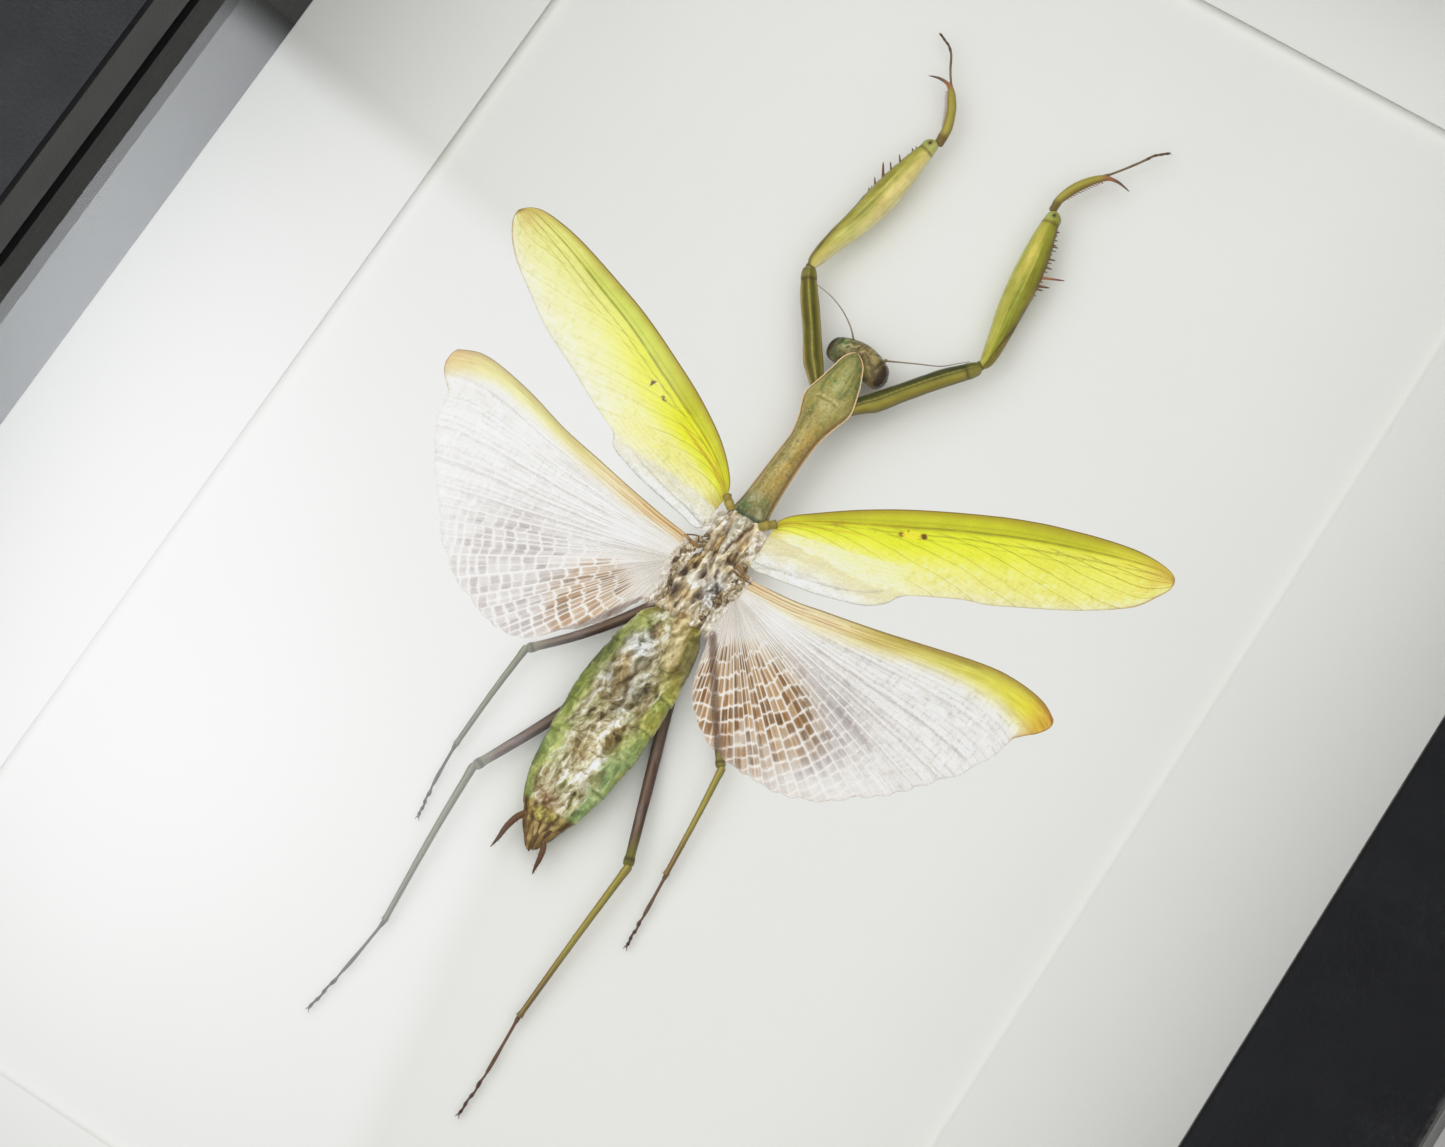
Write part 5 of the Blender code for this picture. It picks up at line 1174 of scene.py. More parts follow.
def walking_leg(pair, which, side, femur, tibia, foot, knee, base, near, far, sole):
    skin = Skin()
    segment(skin, femur, walking_femur_paint(knee, base), side, around=28, gap=0.18, reach=(0.2, 0.55), blunt=0.6)
    for k in range(8):
        spine(skin, femur, 0.2 + 0.09 * k, 0.16, 1 if k % 2 else -1, 50, radius=0.05, colour=(74, 54, 44), root=0.95)
    skin.make("%s_%s_femur" % (pair, which), LEG)
    skin = Skin()
    segment(skin, tibia, walking_tibia_paint(near, far), side, around=20, gap=0.18, reach=(1.0, 0.35), blunt=0.35)
    for k in range(10):
        spine(skin, tibia, 0.12 + 0.085 * k, 0.22, 1 if k % 2 else -1, 55, radius=0.045, colour=far, root=0.95)
    for way in (-1, 1):
        spine(skin, tibia, 0.985, 0.75, way, 62, radius=0.08, colour=far, root=0.7)
    skin.make("%s_%s_tibia" % (pair, which), LEG)
    tarsus("%s_%s_tarsus" % (pair, which), foot, side, sole)


fore_leg("left", 1,
    [(-1.4, 29.3, 4.8, 0.9, 0.8), (-3.4, 31.6, 4.6, 1.25, 1.1), (-4.6, 33.0, 4.4, 1.4, 1.3), (-7.4, 37.0, 4.0, 1.3, 1.3),
     (-10.1, 40.6, 3.7, 1.3, 1.2), (-11.9, 43.2, 3.5, 1.1, 1.1), (-12.6, 44.6, 3.4, 0.8, 0.9)],
    [(-12.7, 45.2, 3.4, 0.7, 0.8), (-12.6, 46.6, 3.4, 1.1, 1.1), (-11.9, 50.0, 3.4, 1.5, 1.3), (-10.8, 54.0, 3.4, 1.9, 1.4),
     (-9.9, 58.5, 3.4, 2.1, 1.5), (-9.2, 63.0, 3.3, 1.9, 1.4), (-8.6, 67.0, 3.3, 1.4, 1.2), (-8.0, 70.2, 3.2, 0.9, 0.9)],
    [(-7.5, 71.1, 3.2, 0.65, 0.75), (-7.75, 73.2, 3.1, 0.72, 0.75), (-8.75, 75.9, 3.0, 0.66, 0.66), (-9.95, 77.8, 2.9, 0.58, 0.6), (-10.8, 78.8, 2.75, 0.42, 0.45),
     (-11.6, 79.25, 2.65, 0.28, 0.32), (-12.8, 79.4, 2.6, 0.21, 0.24), (-13.7, 79.25, 2.55, 0.14, 0.16), (-14.5, 79.0, 2.5, 0.06, 0.07)],
    [(-10.9, 79.2, 2.6), (-12.4, 81.4, 2.4), (-13.6, 83.5, 2.25), (-14.7, 84.6, 2.15), (-16.7, 85.6, 2.0)],
    [(0.53, 0.9, 42), (0.58, 1.6, 45), (0.643, 2.7, 50), (0.708, 1.6, 46), (0.78, 1.45, 44), (0.873, 0.8, 42)], 40)
fore_leg("right", -1,
    [(3.4, 28.7, 4.8, 0.9, 0.8), (5.2, 30.9, 4.6, 1.25, 1.1), (6.4, 32.2, 4.4, 1.4, 1.3), (9.2, 36.2, 4.0, 1.3, 1.3),
     (12.2, 40.2, 3.7, 1.3, 1.2), (14.6, 43.0, 3.5, 1.1, 1.1), (15.6, 44.2, 3.4, 0.8, 0.9)],
    [(15.9, 44.9, 3.4, 0.7, 0.8), (15.9, 46.4, 3.4, 1.1, 1.1), (15.4, 50.0, 3.4, 1.5, 1.3), (14.7, 54.0, 3.4, 1.9, 1.4),
     (14.1, 58.5, 3.4, 2.1, 1.5), (13.4, 63.0, 3.3, 1.9, 1.4), (12.7, 67.0, 3.3, 1.4, 1.2), (12.3, 69.7, 3.2, 0.9, 0.9)],
    [(11.7, 70.7, 3.2, 0.55, 0.65), (11.7, 72.0, 3.1, 0.62, 0.7), (12.3, 73.9, 3.05, 0.70, 0.7), (13.3, 75.8, 3.0, 0.66, 0.66), (14.4, 77.3, 2.85, 0.55, 0.58), (15.4, 78.2, 2.75, 0.42, 0.45),
     (16.2, 78.55, 2.65, 0.28, 0.32), (17.3, 78.65, 2.6, 0.21, 0.24), (18.3, 78.5, 2.55, 0.14, 0.16), (19.2, 78.3, 2.5, 0.06, 0.07)],
    [(15.4, 78.8, 2.6), (16.6, 80.5, 2.45), (18.2, 83.0, 2.25), (19.4, 85.0, 2.15), (20.9, 86.4, 2.0)],
    [(0.535, 1.2, 5), (0.554, 1.9, 10), (0.607, 3.5, 12), (0.676, 1.2, 0), (0.728, 1.2, 5), (0.807, 1.0, 0), (0.894, 0.5, 10)], 8)

walking_leg("midleg", "left", 1,
    [(-3.6, -5.6, 1.3, 0.7, 0.7), (-5.2, -9.6, 1.6, 0.8, 0.8), (-10.2, -16.9, 2.2, 0.7, 0.7), (-15.2, -22.6, 2.7, 0.62, 0.65)],
    [(-15.7, -23.6, 2.7, 0.50, 0.55), (-16.2, -31.0, 2.1, 0.42, 0.45), (-16.5, -39.0, 1.4, 0.36, 0.4)],
    [(-16.5, -39.7, 1.3), (-16.1, -45.0, 1.0), (-15.3, -50.1, 0.8)],
    (124, 120, 96), (96, 66, 36), (118, 114, 92), (112, 104, 90), (92, 78, 70))
walking_leg("midleg", "right", -1,
    [(4.9, -5.2, 1.3, 0.7, 0.7), (5.9, -8.6, 1.6, 0.8, 0.8), (11.2, -16.2, 2.2, 0.7, 0.7), (16.2, -22.8, 2.7, 0.62, 0.65)],
    [(16.7, -23.8, 2.7, 0.50, 0.55), (17.4, -31.0, 2.1, 0.42, 0.45), (18.0, -39.1, 1.4, 0.36, 0.4)],
    [(18.1, -39.8, 1.3), (18.5, -45.0, 1.0), (18.8, -50.1, 0.8)],
    (132, 124, 56), (86, 62, 50), (152, 138, 62), (126, 98, 60), (108, 82, 58))
walking_leg("hindleg", "left", 1,
    [(-2.2, -13.0, 1.1, 0.8, 0.7), (-4.6, -22.0, 1.2, 0.85, 0.75), (-7.4, -29.8, 1.7, 0.8, 0.75), (-12.0, -40.3, 2.8, 0.66, 0.7)],
    [(-12.3, -41.4, 2.8, 0.55, 0.6), (-11.8, -52.0, 2.1, 0.46, 0.5), (-10.8, -64.6, 1.4, 0.38, 0.45)],
    [(-10.8, -65.4, 1.3), (-11.5, -72.0, 1.0), (-12.7, -79.9, 0.8)],
    (134, 130, 112), (70, 54, 50), (122, 118, 100), (116, 108, 98), (98, 88, 84))
walking_leg("hindleg", "right", -1,
    [(3.0, -13.0, 1.1, 0.8, 0.7), (6.0, -21.6, 1.2, 0.85, 0.75), (9.3, -30.4, 1.9, 0.8, 0.75), (13.2, -40.9, 2.8, 0.66, 0.7)],
    [(13.4, -42.0, 2.8, 0.55, 0.6), (12.7, -53.2, 2.1, 0.46, 0.5), (12.1, -65.8, 1.4, 0.38, 0.45)],
    [(12.1, -66.6, 1.3), (12.6, -75.0, 1.0), (12.5, -81.0, 0.8)],
    (118, 112, 44), (78, 58, 52), (148, 134, 58), (124, 98, 62), (104, 76, 54))

# ---- body -----------------------------------------------------------------------------------------------------------


def sections(rows, count, upper, lower, blunt=(1.0, 1.0), squeeze=0.0):
    """Rings round a body part, from rows (y, centre x, half width, underside h, top h). Gives centre, half size and
    height arrays, with c across (-1 to 1) and u up (1 on top, below 0 underneath)."""
    run = curve_through(sorted(rows), 14)
    y = np.linspace(run[0, 0], run[-1, 0], count + 1)
    cx, w, low, top = (np.interp(y, run[:, 0], run[:, k])[:, None] for k in range(1, 5))
    near = [np.clip(1 - (a + 0.02) / b, 0, 1) for a, b in ((y - y[0], blunt[0]), (y[-1] - y, blunt[1]))]
    taper = np.sqrt(np.clip(1 - np.maximum(*near) ** 2, 0.01, 1))[:, None]
    turn = np.r_[np.linspace(np.pi, 0, upper, endpoint=False), np.linspace(0, -np.pi, lower, endpoint=False)]
    return y[:, None], cx, w, low, top, taper, np.cos(turn)[None], np.sin(turn)[None]


# pronotum: a flared rim all round, a raised front lobe with a pale suture behind it, and a slender shaft
SHELL = surface("shell_cuticle", 0.9, 0.020, 0.07, (0.58, 0.26))


def pronotum():
    left = np.array([(7.7, -1.2), (8.5, -1.8), (10.5, -1.6), (14.1, -1.4), (18.0, -1.2), (21.6, -1.0), (24.4, -1.5), (26.3, -2.2), (28.1, -2.6),
                     (30.5, -1.95), (33.0, -1.2), (34.6, -0.75), (35.4, -0.3), (36.0, 0.35), (36.15, 0.8)])
    right = np.array([(7.7, 2.9), (8.5, 3.6), (10.4, 3.25), (13.7, 3.0), (17.1, 2.9), (20.6, 2.95), (23.4, 3.35), (25.7, 4.05), (27.2, 4.6),
                      (28.6, 4.75), (30.5, 4.3), (32.5, 3.7), (34.6, 2.8), (35.5, 2.1), (36.0, 1.3), (36.15, 0.85)])
    l, r = curve_through(left, 10), curve_through(right, 10)
    count = 260
    y = 7.75 + (36.12 - 7.75) * (1 - (1 - np.linspace(0, 1, count + 1)) ** 1.12)
    lx, rx = np.interp(y, l[:, 0], l[:, 1]), np.interp(y, r[:, 0], r[:, 1])
    teeth = 0.05 * fbm(y * 2.6, 0.5, seed=169, octaves=2) * step(y, 23.5, 25) * (1 - step(y, 34, 35))
    cx, w = ((lx + rx) / 2)[:, None], ((rx - lx) / 2 + teeth)[:, None]
    top = np.interp(y, [7.7, 9, 11, 14, 18, 21, 24, 26, 28, 30.5, 33, 35, 36.2], [6.9, 7.25, 7.5, 7.45, 7.25, 7.15, 7.25, 7.4, 7.5, 7.5, 7.55, 7.5, 7.2])[:, None]
    low = np.interp(y, [7.7, 9, 14, 21, 26, 29, 32.4, 33.6, 34.4, 36.2], [4.4, 3.3, 2.8, 2.5, 2.2, 2.1, 2.9, 4.4, 6.55, 6.85])[:, None]
    rim = np.interp(y, [7.7, 12, 20, 26, 31, 34, 36.2], [5.9, 5.6, 5.5, 5.7, 6.0, 6.6, 6.95])[:, None]
    turn = np.r_[np.linspace(np.pi, 0, 104, endpoint=False), np.linspace(0, -np.pi, 30, endpoint=False)]
    c, u = np.cos(turn)[None], np.sin(turn)[None]
    y = y[:, None]
    flat = 0.40 / w  # width of the rim as a share of the half width
    inner = np.clip(abs(c) / np.clip(1 - flat, 0.3, 1), 0, 1)
    dome = np.sqrt(np.clip(1 - inner ** 2.3, 0, 1))
    x = cx + w * c
    mottle = fbm(x * 0.9, y * 0.55, seed=171, octaves=4)
    fine = fbm(x * 2.4, y * 1.4, seed=173, octaves=3)
    lobe = step(y, 27.4, 28.6)
    mid = x - (1.0 + 0.10 * (y - 20) / 20)
    relief = 0.09 * mottle + 0.05 * fine
    relief = relief - 0.14 * bump_at(mid, 0, 0.16) * (1 - step(y, 24, 26)) * step(y, 10, 12) * 0.5
    suture_y = 28.35 - 0.07 * mid ** 2 + 0.15 * mottle
    suture = bump_at(y, suture_y, 0.12) * (1 - step(abs(mid), 1.4, 2.1)) * np.clip(0.5 + 0.8 * fine, 0.2, 1)
    relief = relief - 0.20 * bump_at(y, suture_y - 0.28, 0.2) * (1 - step(abs(mid), 1.9, 2.6)) + 0.10 * suture
    relief = relief - 0.16 * bump_at(abs(mid), 1.35 - 0.10 * (y - 29), 0.24) * step(y, 29, 30) * (1 - step(y, 33, 34.5))
    relief = relief + 0.14 * np.exp(-((mid + 0.1) / 0.8) ** 2 - ((y - 26.6) / 1.0) ** 2) - 0.12 * bump_at(y, 10.2, 0.5)
    z_up = rim + (top - rim) * dome + relief * dome
    z_low = rim - 0.22 - (rim - 0.22 - low) * np.clip(-u, 0, 1) ** 0.9
    squeeze = np.where(u < 0, 1 - 0.30 * step(-u, 0.02, 0.25), 1)
    X = cx + w * c * squeeze
    Z = np.where(u >= 0, z_up, z_low)
    # ends close round
    first, final = np.clip(1 - (y - 7.75) / 0.45, 0, 1), np.clip(1 - (36.12 - y) / 0.5, 0, 1)
    taper = np.sqrt(np.clip(1 - np.maximum(first, final) ** 2, 0.02, 1))
    Z = rim + (Z - rim) * taper
    colour = along(y + 0 * c, [(8, (98, 94, 50)), (10.5, (114, 106, 56)), (12, (142, 124, 62)), (15, (158, 134, 66)), (19, (158, 136, 66)), (22, (150, 132, 62)), (25, (142, 128, 62)), (28, (146, 136, 72)), (31, (138, 132, 66)), (34, (128, 122, 60)), (36, (128, 118, 66))])
    grain = fbm(x * 4.6, y * 3.6, seed=179, octaves=2)
    colour = colour + (22 * mottle + 20 * fine + 26 * grain)[..., None]
    colour = blend(colour, (172, 158, 106), bump_at(mid, -0.35, 0.8) * bump_at(y, 19.5, 6.0) * (0.35 + 0.5 * step(mottle, -0.3, 0.4)))
    colour = blend(colour, (178, 142, 70), bump_at(mid, 0.95, 0.42) * step(y, 12, 15) * (1 - step(y, 21, 25)) * 0.65)
    colour = blend(colour, (112, 104, 50), bump_at(mid, -1.15, 0.45) * step(y, 12, 15) * (1 - step(y, 24, 27)) * 0.7)
    colour = blend(colour, (88, 82, 36), step(mottle, 0.05, 0.6) * 0.42)
    colour = blend(colour, (164, 166, 112), step(-mottle, 0.10, 0.6) * 0.45)
    colour = blend(colour, (72, 92, 54), (1 - step(y, 9.5, 12.5)) * step(mottle + 0.4 * fine, -0.1, 0.4) * 0.75)
    colour = blend(colour, (158, 158, 132), (1 - step(y, 10.5, 13.5)) * step(-mottle, 0.0, 0.4) * 0.6)
    # front lobe: mottled green shield, darker round its border; pale patch and suture
    ring = np.hypot(mid / np.clip(1.95 - 0.13 * (y - 29), 0.5, 2.2), (y - 31.6) / 3.9)
    colour = blend(colour, (88, 92, 44), bump_at(ring, 1.02, 0.13) * step(y, 28.4, 29.2) * 0.7)
    colour = blend(colour, (150, 156, 104), step(-ring, -0.85, -0.3) * step(y, 28.8, 29.6) * step(-mottle, -0.25, 0.35) * 0.55)
    colour = blend(colour, (82, 104, 52), step(y, 28.8, 29.6) * step(mottle + 0.5 * fine, 0.05, 0.5) * 0.6)
    colour = blend(colour, (96, 98, 44), np.exp(-((mid + 1.0) / 0.4) ** 2 - ((y - 26.0) / 1.6) ** 2) * 0.7)
    colour = blend(colour, (196, 184, 138), np.exp(-((mid - 0.55) / 1.0) ** 2 - ((y - 27.0) / 0.8) ** 2) * (0.5 + 0.5 * step(mottle, -0.5, 0.3)) * 0.75)
    colour = blend(colour, (168, 172, 128), np.exp(-((mid - 0.3) / 0.5) ** 2 - ((y - 30.3) / 1.2) ** 2) * 0.5)
    colour = blend(colour, (218, 208, 164), suture * 0.75)
    colour = blend(colour, (96, 86, 40), bump_at(y, suture_y - 0.42, 0.12) * (1 - step(abs(mid), 1.6, 2.2)) * 0.45)
    # dots, rim and borders
    cell_x, cell_y = np.floor(x / 0.62), np.floor(y / 0.62)
    dot_x = (cell_x + 0.25 + 0.5 * dice(cell_x, cell_y, seed=175)) * 0.62
    dot_y = (cell_y + 0.25 + 0.5 * dice(cell_x, cell_y, seed=176)) * 0.62
    dot = (1 - step(np.hypot(x - dot_x, y - dot_y), 0.05, 0.13)) * (dice(cell_x, cell_y, seed=177) > 0.66) * step(y, 9, 12) * (1 - step(y, 25, 28))
    colour = blend(colour, (74, 46, 26), dot * 0.5)
    colour = blend(colour, (70, 66, 26), step(grain + 0.5 * fine, 0.25, 0.6) * 0.45)
    colour = blend(colour, (190, 184, 132), step(-grain - 0.4 * fine, 0.28, 0.6) * 0.40)
    inset = (1 - abs(c)) * w
    dark_rim = bump_at(inset, 0.27 + 0.06 * (c > 0), 0.10 + 0.05 * (c > 0) * (y < 27))
    colour = blend(colour, (104, 70, 36), dark_rim * 0.8 * np.clip(0.6 + fine, 0.3, 1))
    # painted shade just inside the rim on the right side, away from the window
    colour = blend(colour, (128, 94, 46), (1 - step(inset, 0.3, 0.9)) * step(y, 12, 15) * (1 - step(y, 25, 28)) * (c > 0) * 0.45)
    pale = 1 - step(inset, 0.07, 0.20)
    colour = blend(colour, along(y + 0 * c, [(8, (120, 112, 70)), (12, (150, 124, 84)), (20, (168, 140, 98)), (24, (208, 178, 140)), (34, (214, 184, 146)), (36, (220, 190, 150))]), pale * 0.9)
    colour = blend(colour, (46, 58, 40), bump_at(y, 8.05, 0.35) * 0.7)
    colour = colour + (9 * fine)[..., None]
    # underside darker: painted shade
    colour = np.where((u < -0.1)[..., None], colour * 0.8, colour)
    skin = Skin()
    skin.closed(np.stack([X, y + 0 * c + 0.35 * (1 - c ** 2) * (-first), FLOOR + Z], -1), colour, 1.0, np.clip(0.62 + 0.25 * mottle - 0.4 * pale, 0, 1))
    skin.make("pronotum", SHELL, 1.42)


pronotum()


def head():
    rows = [(-3.75, 35.6, 0.40, 0.5), (-3.55, 35.6, 1.05, 1.1), (-3.1, 35.7, 1.6, 1.6), (-2.4, 35.8, 2.0, 1.95), (-1.5, 36.0, 2.15, 2.05),
            (-0.3, 36.2, 2.2, 2.15), (1.0, 36.2, 2.2, 2.2), (2.3, 36.0, 2.35, 2.15), (3.6, 35.65, 2.35, 2.05), (4.6, 35.35, 2.15, 1.95), (5.3, 35.3, 1.7, 1.6),
            (5.8, 35.25, 1.1, 1.1), (6.05, 35.2, 0.4, 0.5)]
    run = curve_through(rows, 16)
    x = np.linspace(-3.8, 6.08, 171)
    yc, deep, tall = (np.interp(x, run[:, 0], run[:, k])[:, None] for k in (1, 2, 3))
    near = np.minimum(x + 3.82, 6.10 - x)[:, None]
    taper = np.sqrt(np.clip(1 - np.clip(1 - near / 0.5, 0, 1) ** 2, 0.02, 1))
    turn = 2 * np.pi * np.arange(96) / 96
    c, u = np.cos(turn)[None], np.sin(turn)[None]
    X = x[:, None] + 0 * c
    mid = X - 1.05
    Y = yc + deep * taper * c
    mottle = fbm(X * 0.9, Y * 0.9, u, seed=181, octaves=4)
    fine = fbm(X * 2.6, Y * 2.6, u * 2, seed=183, octaves=3)
    eye = np.maximum(1 - step(X, -3.15 - 0.15 * u, -2.35), step(X, 4.55, 5.25 + 0.1 * u))
    colour = along(X, [(-3.8, (60, 50, 30)), (-2.9, (78, 80, 44)), (-2.0, (88, 96, 54)), (-0.8, (96, 92, 50)), (0.4, (102, 88, 46)), (1.6, (94, 76, 36)), (2.8, (138, 122, 66)), (4.0, (136, 120, 68)), (5.0, (80, 64, 38)), (6.1, (50, 38, 26))])
    colour = colour + (20 * fine)[..., None]
    colour = blend(colour, (150, 138, 88), step(mottle + 0.4 * fine, 0.0, 0.5) * 0.55)
    colour = blend(colour, (52, 48, 22), step(-mottle + 0.3 * fine, 0.05, 0.5) * 0.6)
    colour = blend(colour, (96, 140, 84), np.exp(-((X + 1.8) / 0.6) ** 2 - ((Y - 36.6) / 0.7) ** 2) * 0.45)
    # pale lines from front to back between the eyes
    for place, wide, strong in ((-0.75, 0.10, 0.3), (-0.15, 0.09, 0.38), (0.35, 0.12, 0.45), (0.95, 0.08, 0.3), (1.5, 0.10, 0.22)):
        line = bump_at(mid + 0.22 * mottle, place + 0.12 * (Y - 36), wide) * step(Y, 35.2, 36.0) * (1 - step(Y, 37.6, 38.1)) * (u > -0.2)
        colour = blend(colour, (176, 158, 112), line * strong)
        colour = blend(colour, (58, 50, 26), bump_at(mid + 0.22 * mottle, place + 0.2 + 0.12 * (Y - 36), wide) * step(Y, 35.2, 36) * 0.25)
    # bent pale marks of the crown, and its dark ground near the eyes
    for pts, wide, tint, strong in ((((-1.5, 36.0), (-0.9, 36.7), (-0.2, 36.5), (0.3, 37.2)), 0.13, (182, 172, 128), 0.75), (((0.9, 36.2), (1.5, 36.9), (2.3, 36.6), (2.9, 37.1)), 0.12, (176, 160, 114), 0.7),
                                    (((-2.1, 36.9), (-1.4, 37.4), (-0.6, 37.6)), 0.11, (160, 166, 120), 0.6), (((3.1, 35.9), (3.5, 36.8)), 0.12, (150, 132, 88), 0.55),
                                    (((-2.5, 35.4), (-2.3, 36.4), (-2.4, 37.4)), 0.22, (44, 44, 24), 0.7), (((3.9, 35.2), (4.1, 36.4), (3.9, 37.2)), 0.26, (50, 40, 22), 0.7)):
        d, _ = near_line(X - 0.2 + 0.2 * mottle, Y + 0.15 * fine, pts)
        colour = blend(colour, tint, np.exp(-(d / wide) ** 2) * strong * (u > -0.2))
    colour = blend(colour, (172, 156, 106), (bump_at(Y, 35.0 - 0.10 * mid ** 2, 0.22)) * step(fine, -0.3, 0.4) * (1 - eye) * 0.5)
    colour = blend(colour, (48, 36, 24), eye * 0.9)
    colour = blend(colour, (96, 76, 52), eye * step(fine + 0.3 * mottle, 0.0, 0.5) * 0.45)
    relief = (0.07 * mottle + 0.05 * fine) * (1 - eye) + 0.12 * eye
    relief = relief + 0.12 * bump_at(mid, 0, 1.0) * (c > 0)
    X = X - 0.2
    Y = yc + 0.4 + (deep - 0.15 + relief) * taper * c
    Z = FLOOR + 4.0 + (tall + relief) * taper * u
    skin = Skin()
    skin.closed(np.stack([X, Y, Z], -1), colour + (7 * fine * (1 - eye))[..., None], 1.0, np.clip(0.45 + 0.25 * mottle * (1 - eye) + 0.55 * eye, 0, 1))
    # simple eyes and the sockets of the antennae, on the front
    k = np.linspace(0, 1, 9)
    for ex, ey, ez in ((0.4, 37.75, 5.3), (1.6, 37.75, 5.3), (1.0, 37.9, 4.9)):
        skin.tube(np.c_[ex + 0 * k, ey + 0.34 * (k - 0.5), FLOOR + ez + 0 * k], 0.20 * np.sin(np.pi * (0.06 + 0.88 * k)), (120, 92, 48), sides=12, gloss=1.0)
    for ex, ey, way in ((-0.9, 37.7, -0.35), (4.1, 37.4, 0.45)):
        skin.tube(np.c_[ex + way * k, ey + 0.55 * k, FLOOR + 5.15 + 0.25 * k], 0.26 * np.sin(np.pi * (0.10 + 0.78 * k)) ** 0.6, (104, 94, 58), sides=14, gloss=0.6)
    skin.make("head", surface("head_cuticle", 0.9, 0.022, 0.08, (0.58, 0.10)), 1.30)


head()


def antenna(node, rows):
    run = spaced(curve_through(rows, 12), np.linspace(0, 1, 76))
    k = np.linspace(0, 1, 76)
    radius = (0.13 - 0.075 * k) * (1 + 0.13 * np.cos(k * 2 * np.pi * 25))
    skin = Skin()
    tint = along(k, [(0, (118, 104, 72)), (0.15, (150, 138, 118)), (1, (142, 130, 120))])
    skin.tube(run + [0, 0, FLOOR], radius, tint, sides=10, gloss=0.5)
    skin.make(node, LEG)


antenna("antenna_left", [(-1.2, 38.2, 5.4), (-2.6, 39.6, 5.2), (-4.8, 41.0, 5.4), (-7.2, 41.8, 6.0), (-9.6, 42.1, 6.4)])
antenna("antenna_right", [(4.6, 37.8, 5.4), (8.2, 39.7, 5.0), (11.2, 41.2, 4.8), (13.2, 42.5, 5.6), (14.6, 43.4, 6.2)])


def cercus(node, rows):
    run = spaced(curve_through(rows, 12), np.linspace(0, 1, 60))
    k = np.linspace(0, 1, 60)
    radius = run[:, 3] * (1 + 0.03 * np.cos(k * 2 * np.pi * 11) * (1 - k)) * 0.92
    tint = blend(along(k, [(0, (118, 82, 44)), (0.5, (104, 66, 42)), (1, (84, 54, 40))]), (66, 42, 28), (0.5 + 0.5 * np.cos(k * 2 * np.pi * 11 + 2)) * 0.28)
    skin = Skin()
    skin.tube(run[:, :3] + [0, 0, FLOOR], radius, tint, sides=16, gloss=0.5)
    for i in range(22):
        at = 3 + int(i * 2.4)
        turn = i * 2.4
        base = run[at, :3] + [0, 0, FLOOR]
        out = np.array([np.cos(turn), -0.6, 0.6 * np.sin(turn)])
        skin.tube(base + out * np.linspace(0.1, 0.30 + run[at, 3], 4)[:, None], np.array([0.03, 0.026, 0.018, 0.008]), (110, 82, 60), sides=4)
    skin.make(node, LEG)


cercus("cercus_left", [(-2.3, -42.3, 3.3, 0.5), (-3.2, -43.6, 3.0, 0.52), (-3.7, -45.4, 2.8, 0.45), (-3.85, -47.2, 2.5, 0.30), (-4.1, -48.8, 2.3, 0.06)])
cercus("cercus_right", [(1.7, -44.2, 3.3, 0.42), (2.35, -45.4, 3.1, 0.46), (2.65, -46.8, 2.85, 0.40), (2.75, -48.0, 2.6, 0.26), (2.9, -49.0, 2.4, 0.06)])

# pterothorax: a pale plate between dark seams, ragged ridges and pits behind it, and the wings' brown hinges
THORAX = surface("thorax_cuticle", 1.0, 0.030, 0.09, (0.60, 0.16))


def lump(skin, px, py, h, long, wide, turn, shade, seed):
    """A torn, creased piece of tissue, half length by half width, with its own tone from dark brown to cream."""
    k = np.linspace(-1, 1, 25)[:, None]
    turned = np.linspace(0, 2 * np.pi, 20, endpoint=False)[None]
    body = np.sqrt(np.clip(1.01 - k ** 2, 0.01, 1)) * wide
    rag = 1 + 0.55 * fbm(k * 2.2 + seed, np.cos(turned) * 1.4, np.sin(turned) * 1.4, octaves=4, seed=210)
    value, lean, edge = facets(k * long * 1.6 + seed * 3.1, (turned + 0.3 * k) * wide * 1.6, 0.55, 212)
    across, up = body * rag * np.cos(turned), body * (rag + 0.5 * (value - 0.5) + 0.6 * lean) * np.sin(turned) * 0.62
    forward = long * k * (1 + 0.12 * fbm(k * 3 + seed, np.cos(turned), np.sin(turned), seed=214)) + 0 * turned
    X = px + forward * np.cos(turn) - across * np.sin(turn)
    Y = py + forward * np.sin(turn) + across * np.cos(turn)
    tint = along(np.clip(shade + 0.12 + 0.55 * (value - 0.5) + 0.35 * fbm(k * 4 + seed, np.cos(turned) * 2, np.sin(turned) * 2, seed=216), 0, 1),
                 [(0, (56, 42, 26)), (0.3, (100, 80, 52)), (0.55, (136, 118, 86)), (0.8, (168, 154, 122)), (1, (206, 196, 170))])
    # painted shade along the creases
    tint = blend(tint, (62, 44, 26), 0.5 * (1 - step(edge, 0.0, 0.14)))
    skin.closed(np.stack([X, Y, FLOOR + h + up], -1), tint, 1.0, 0.7)


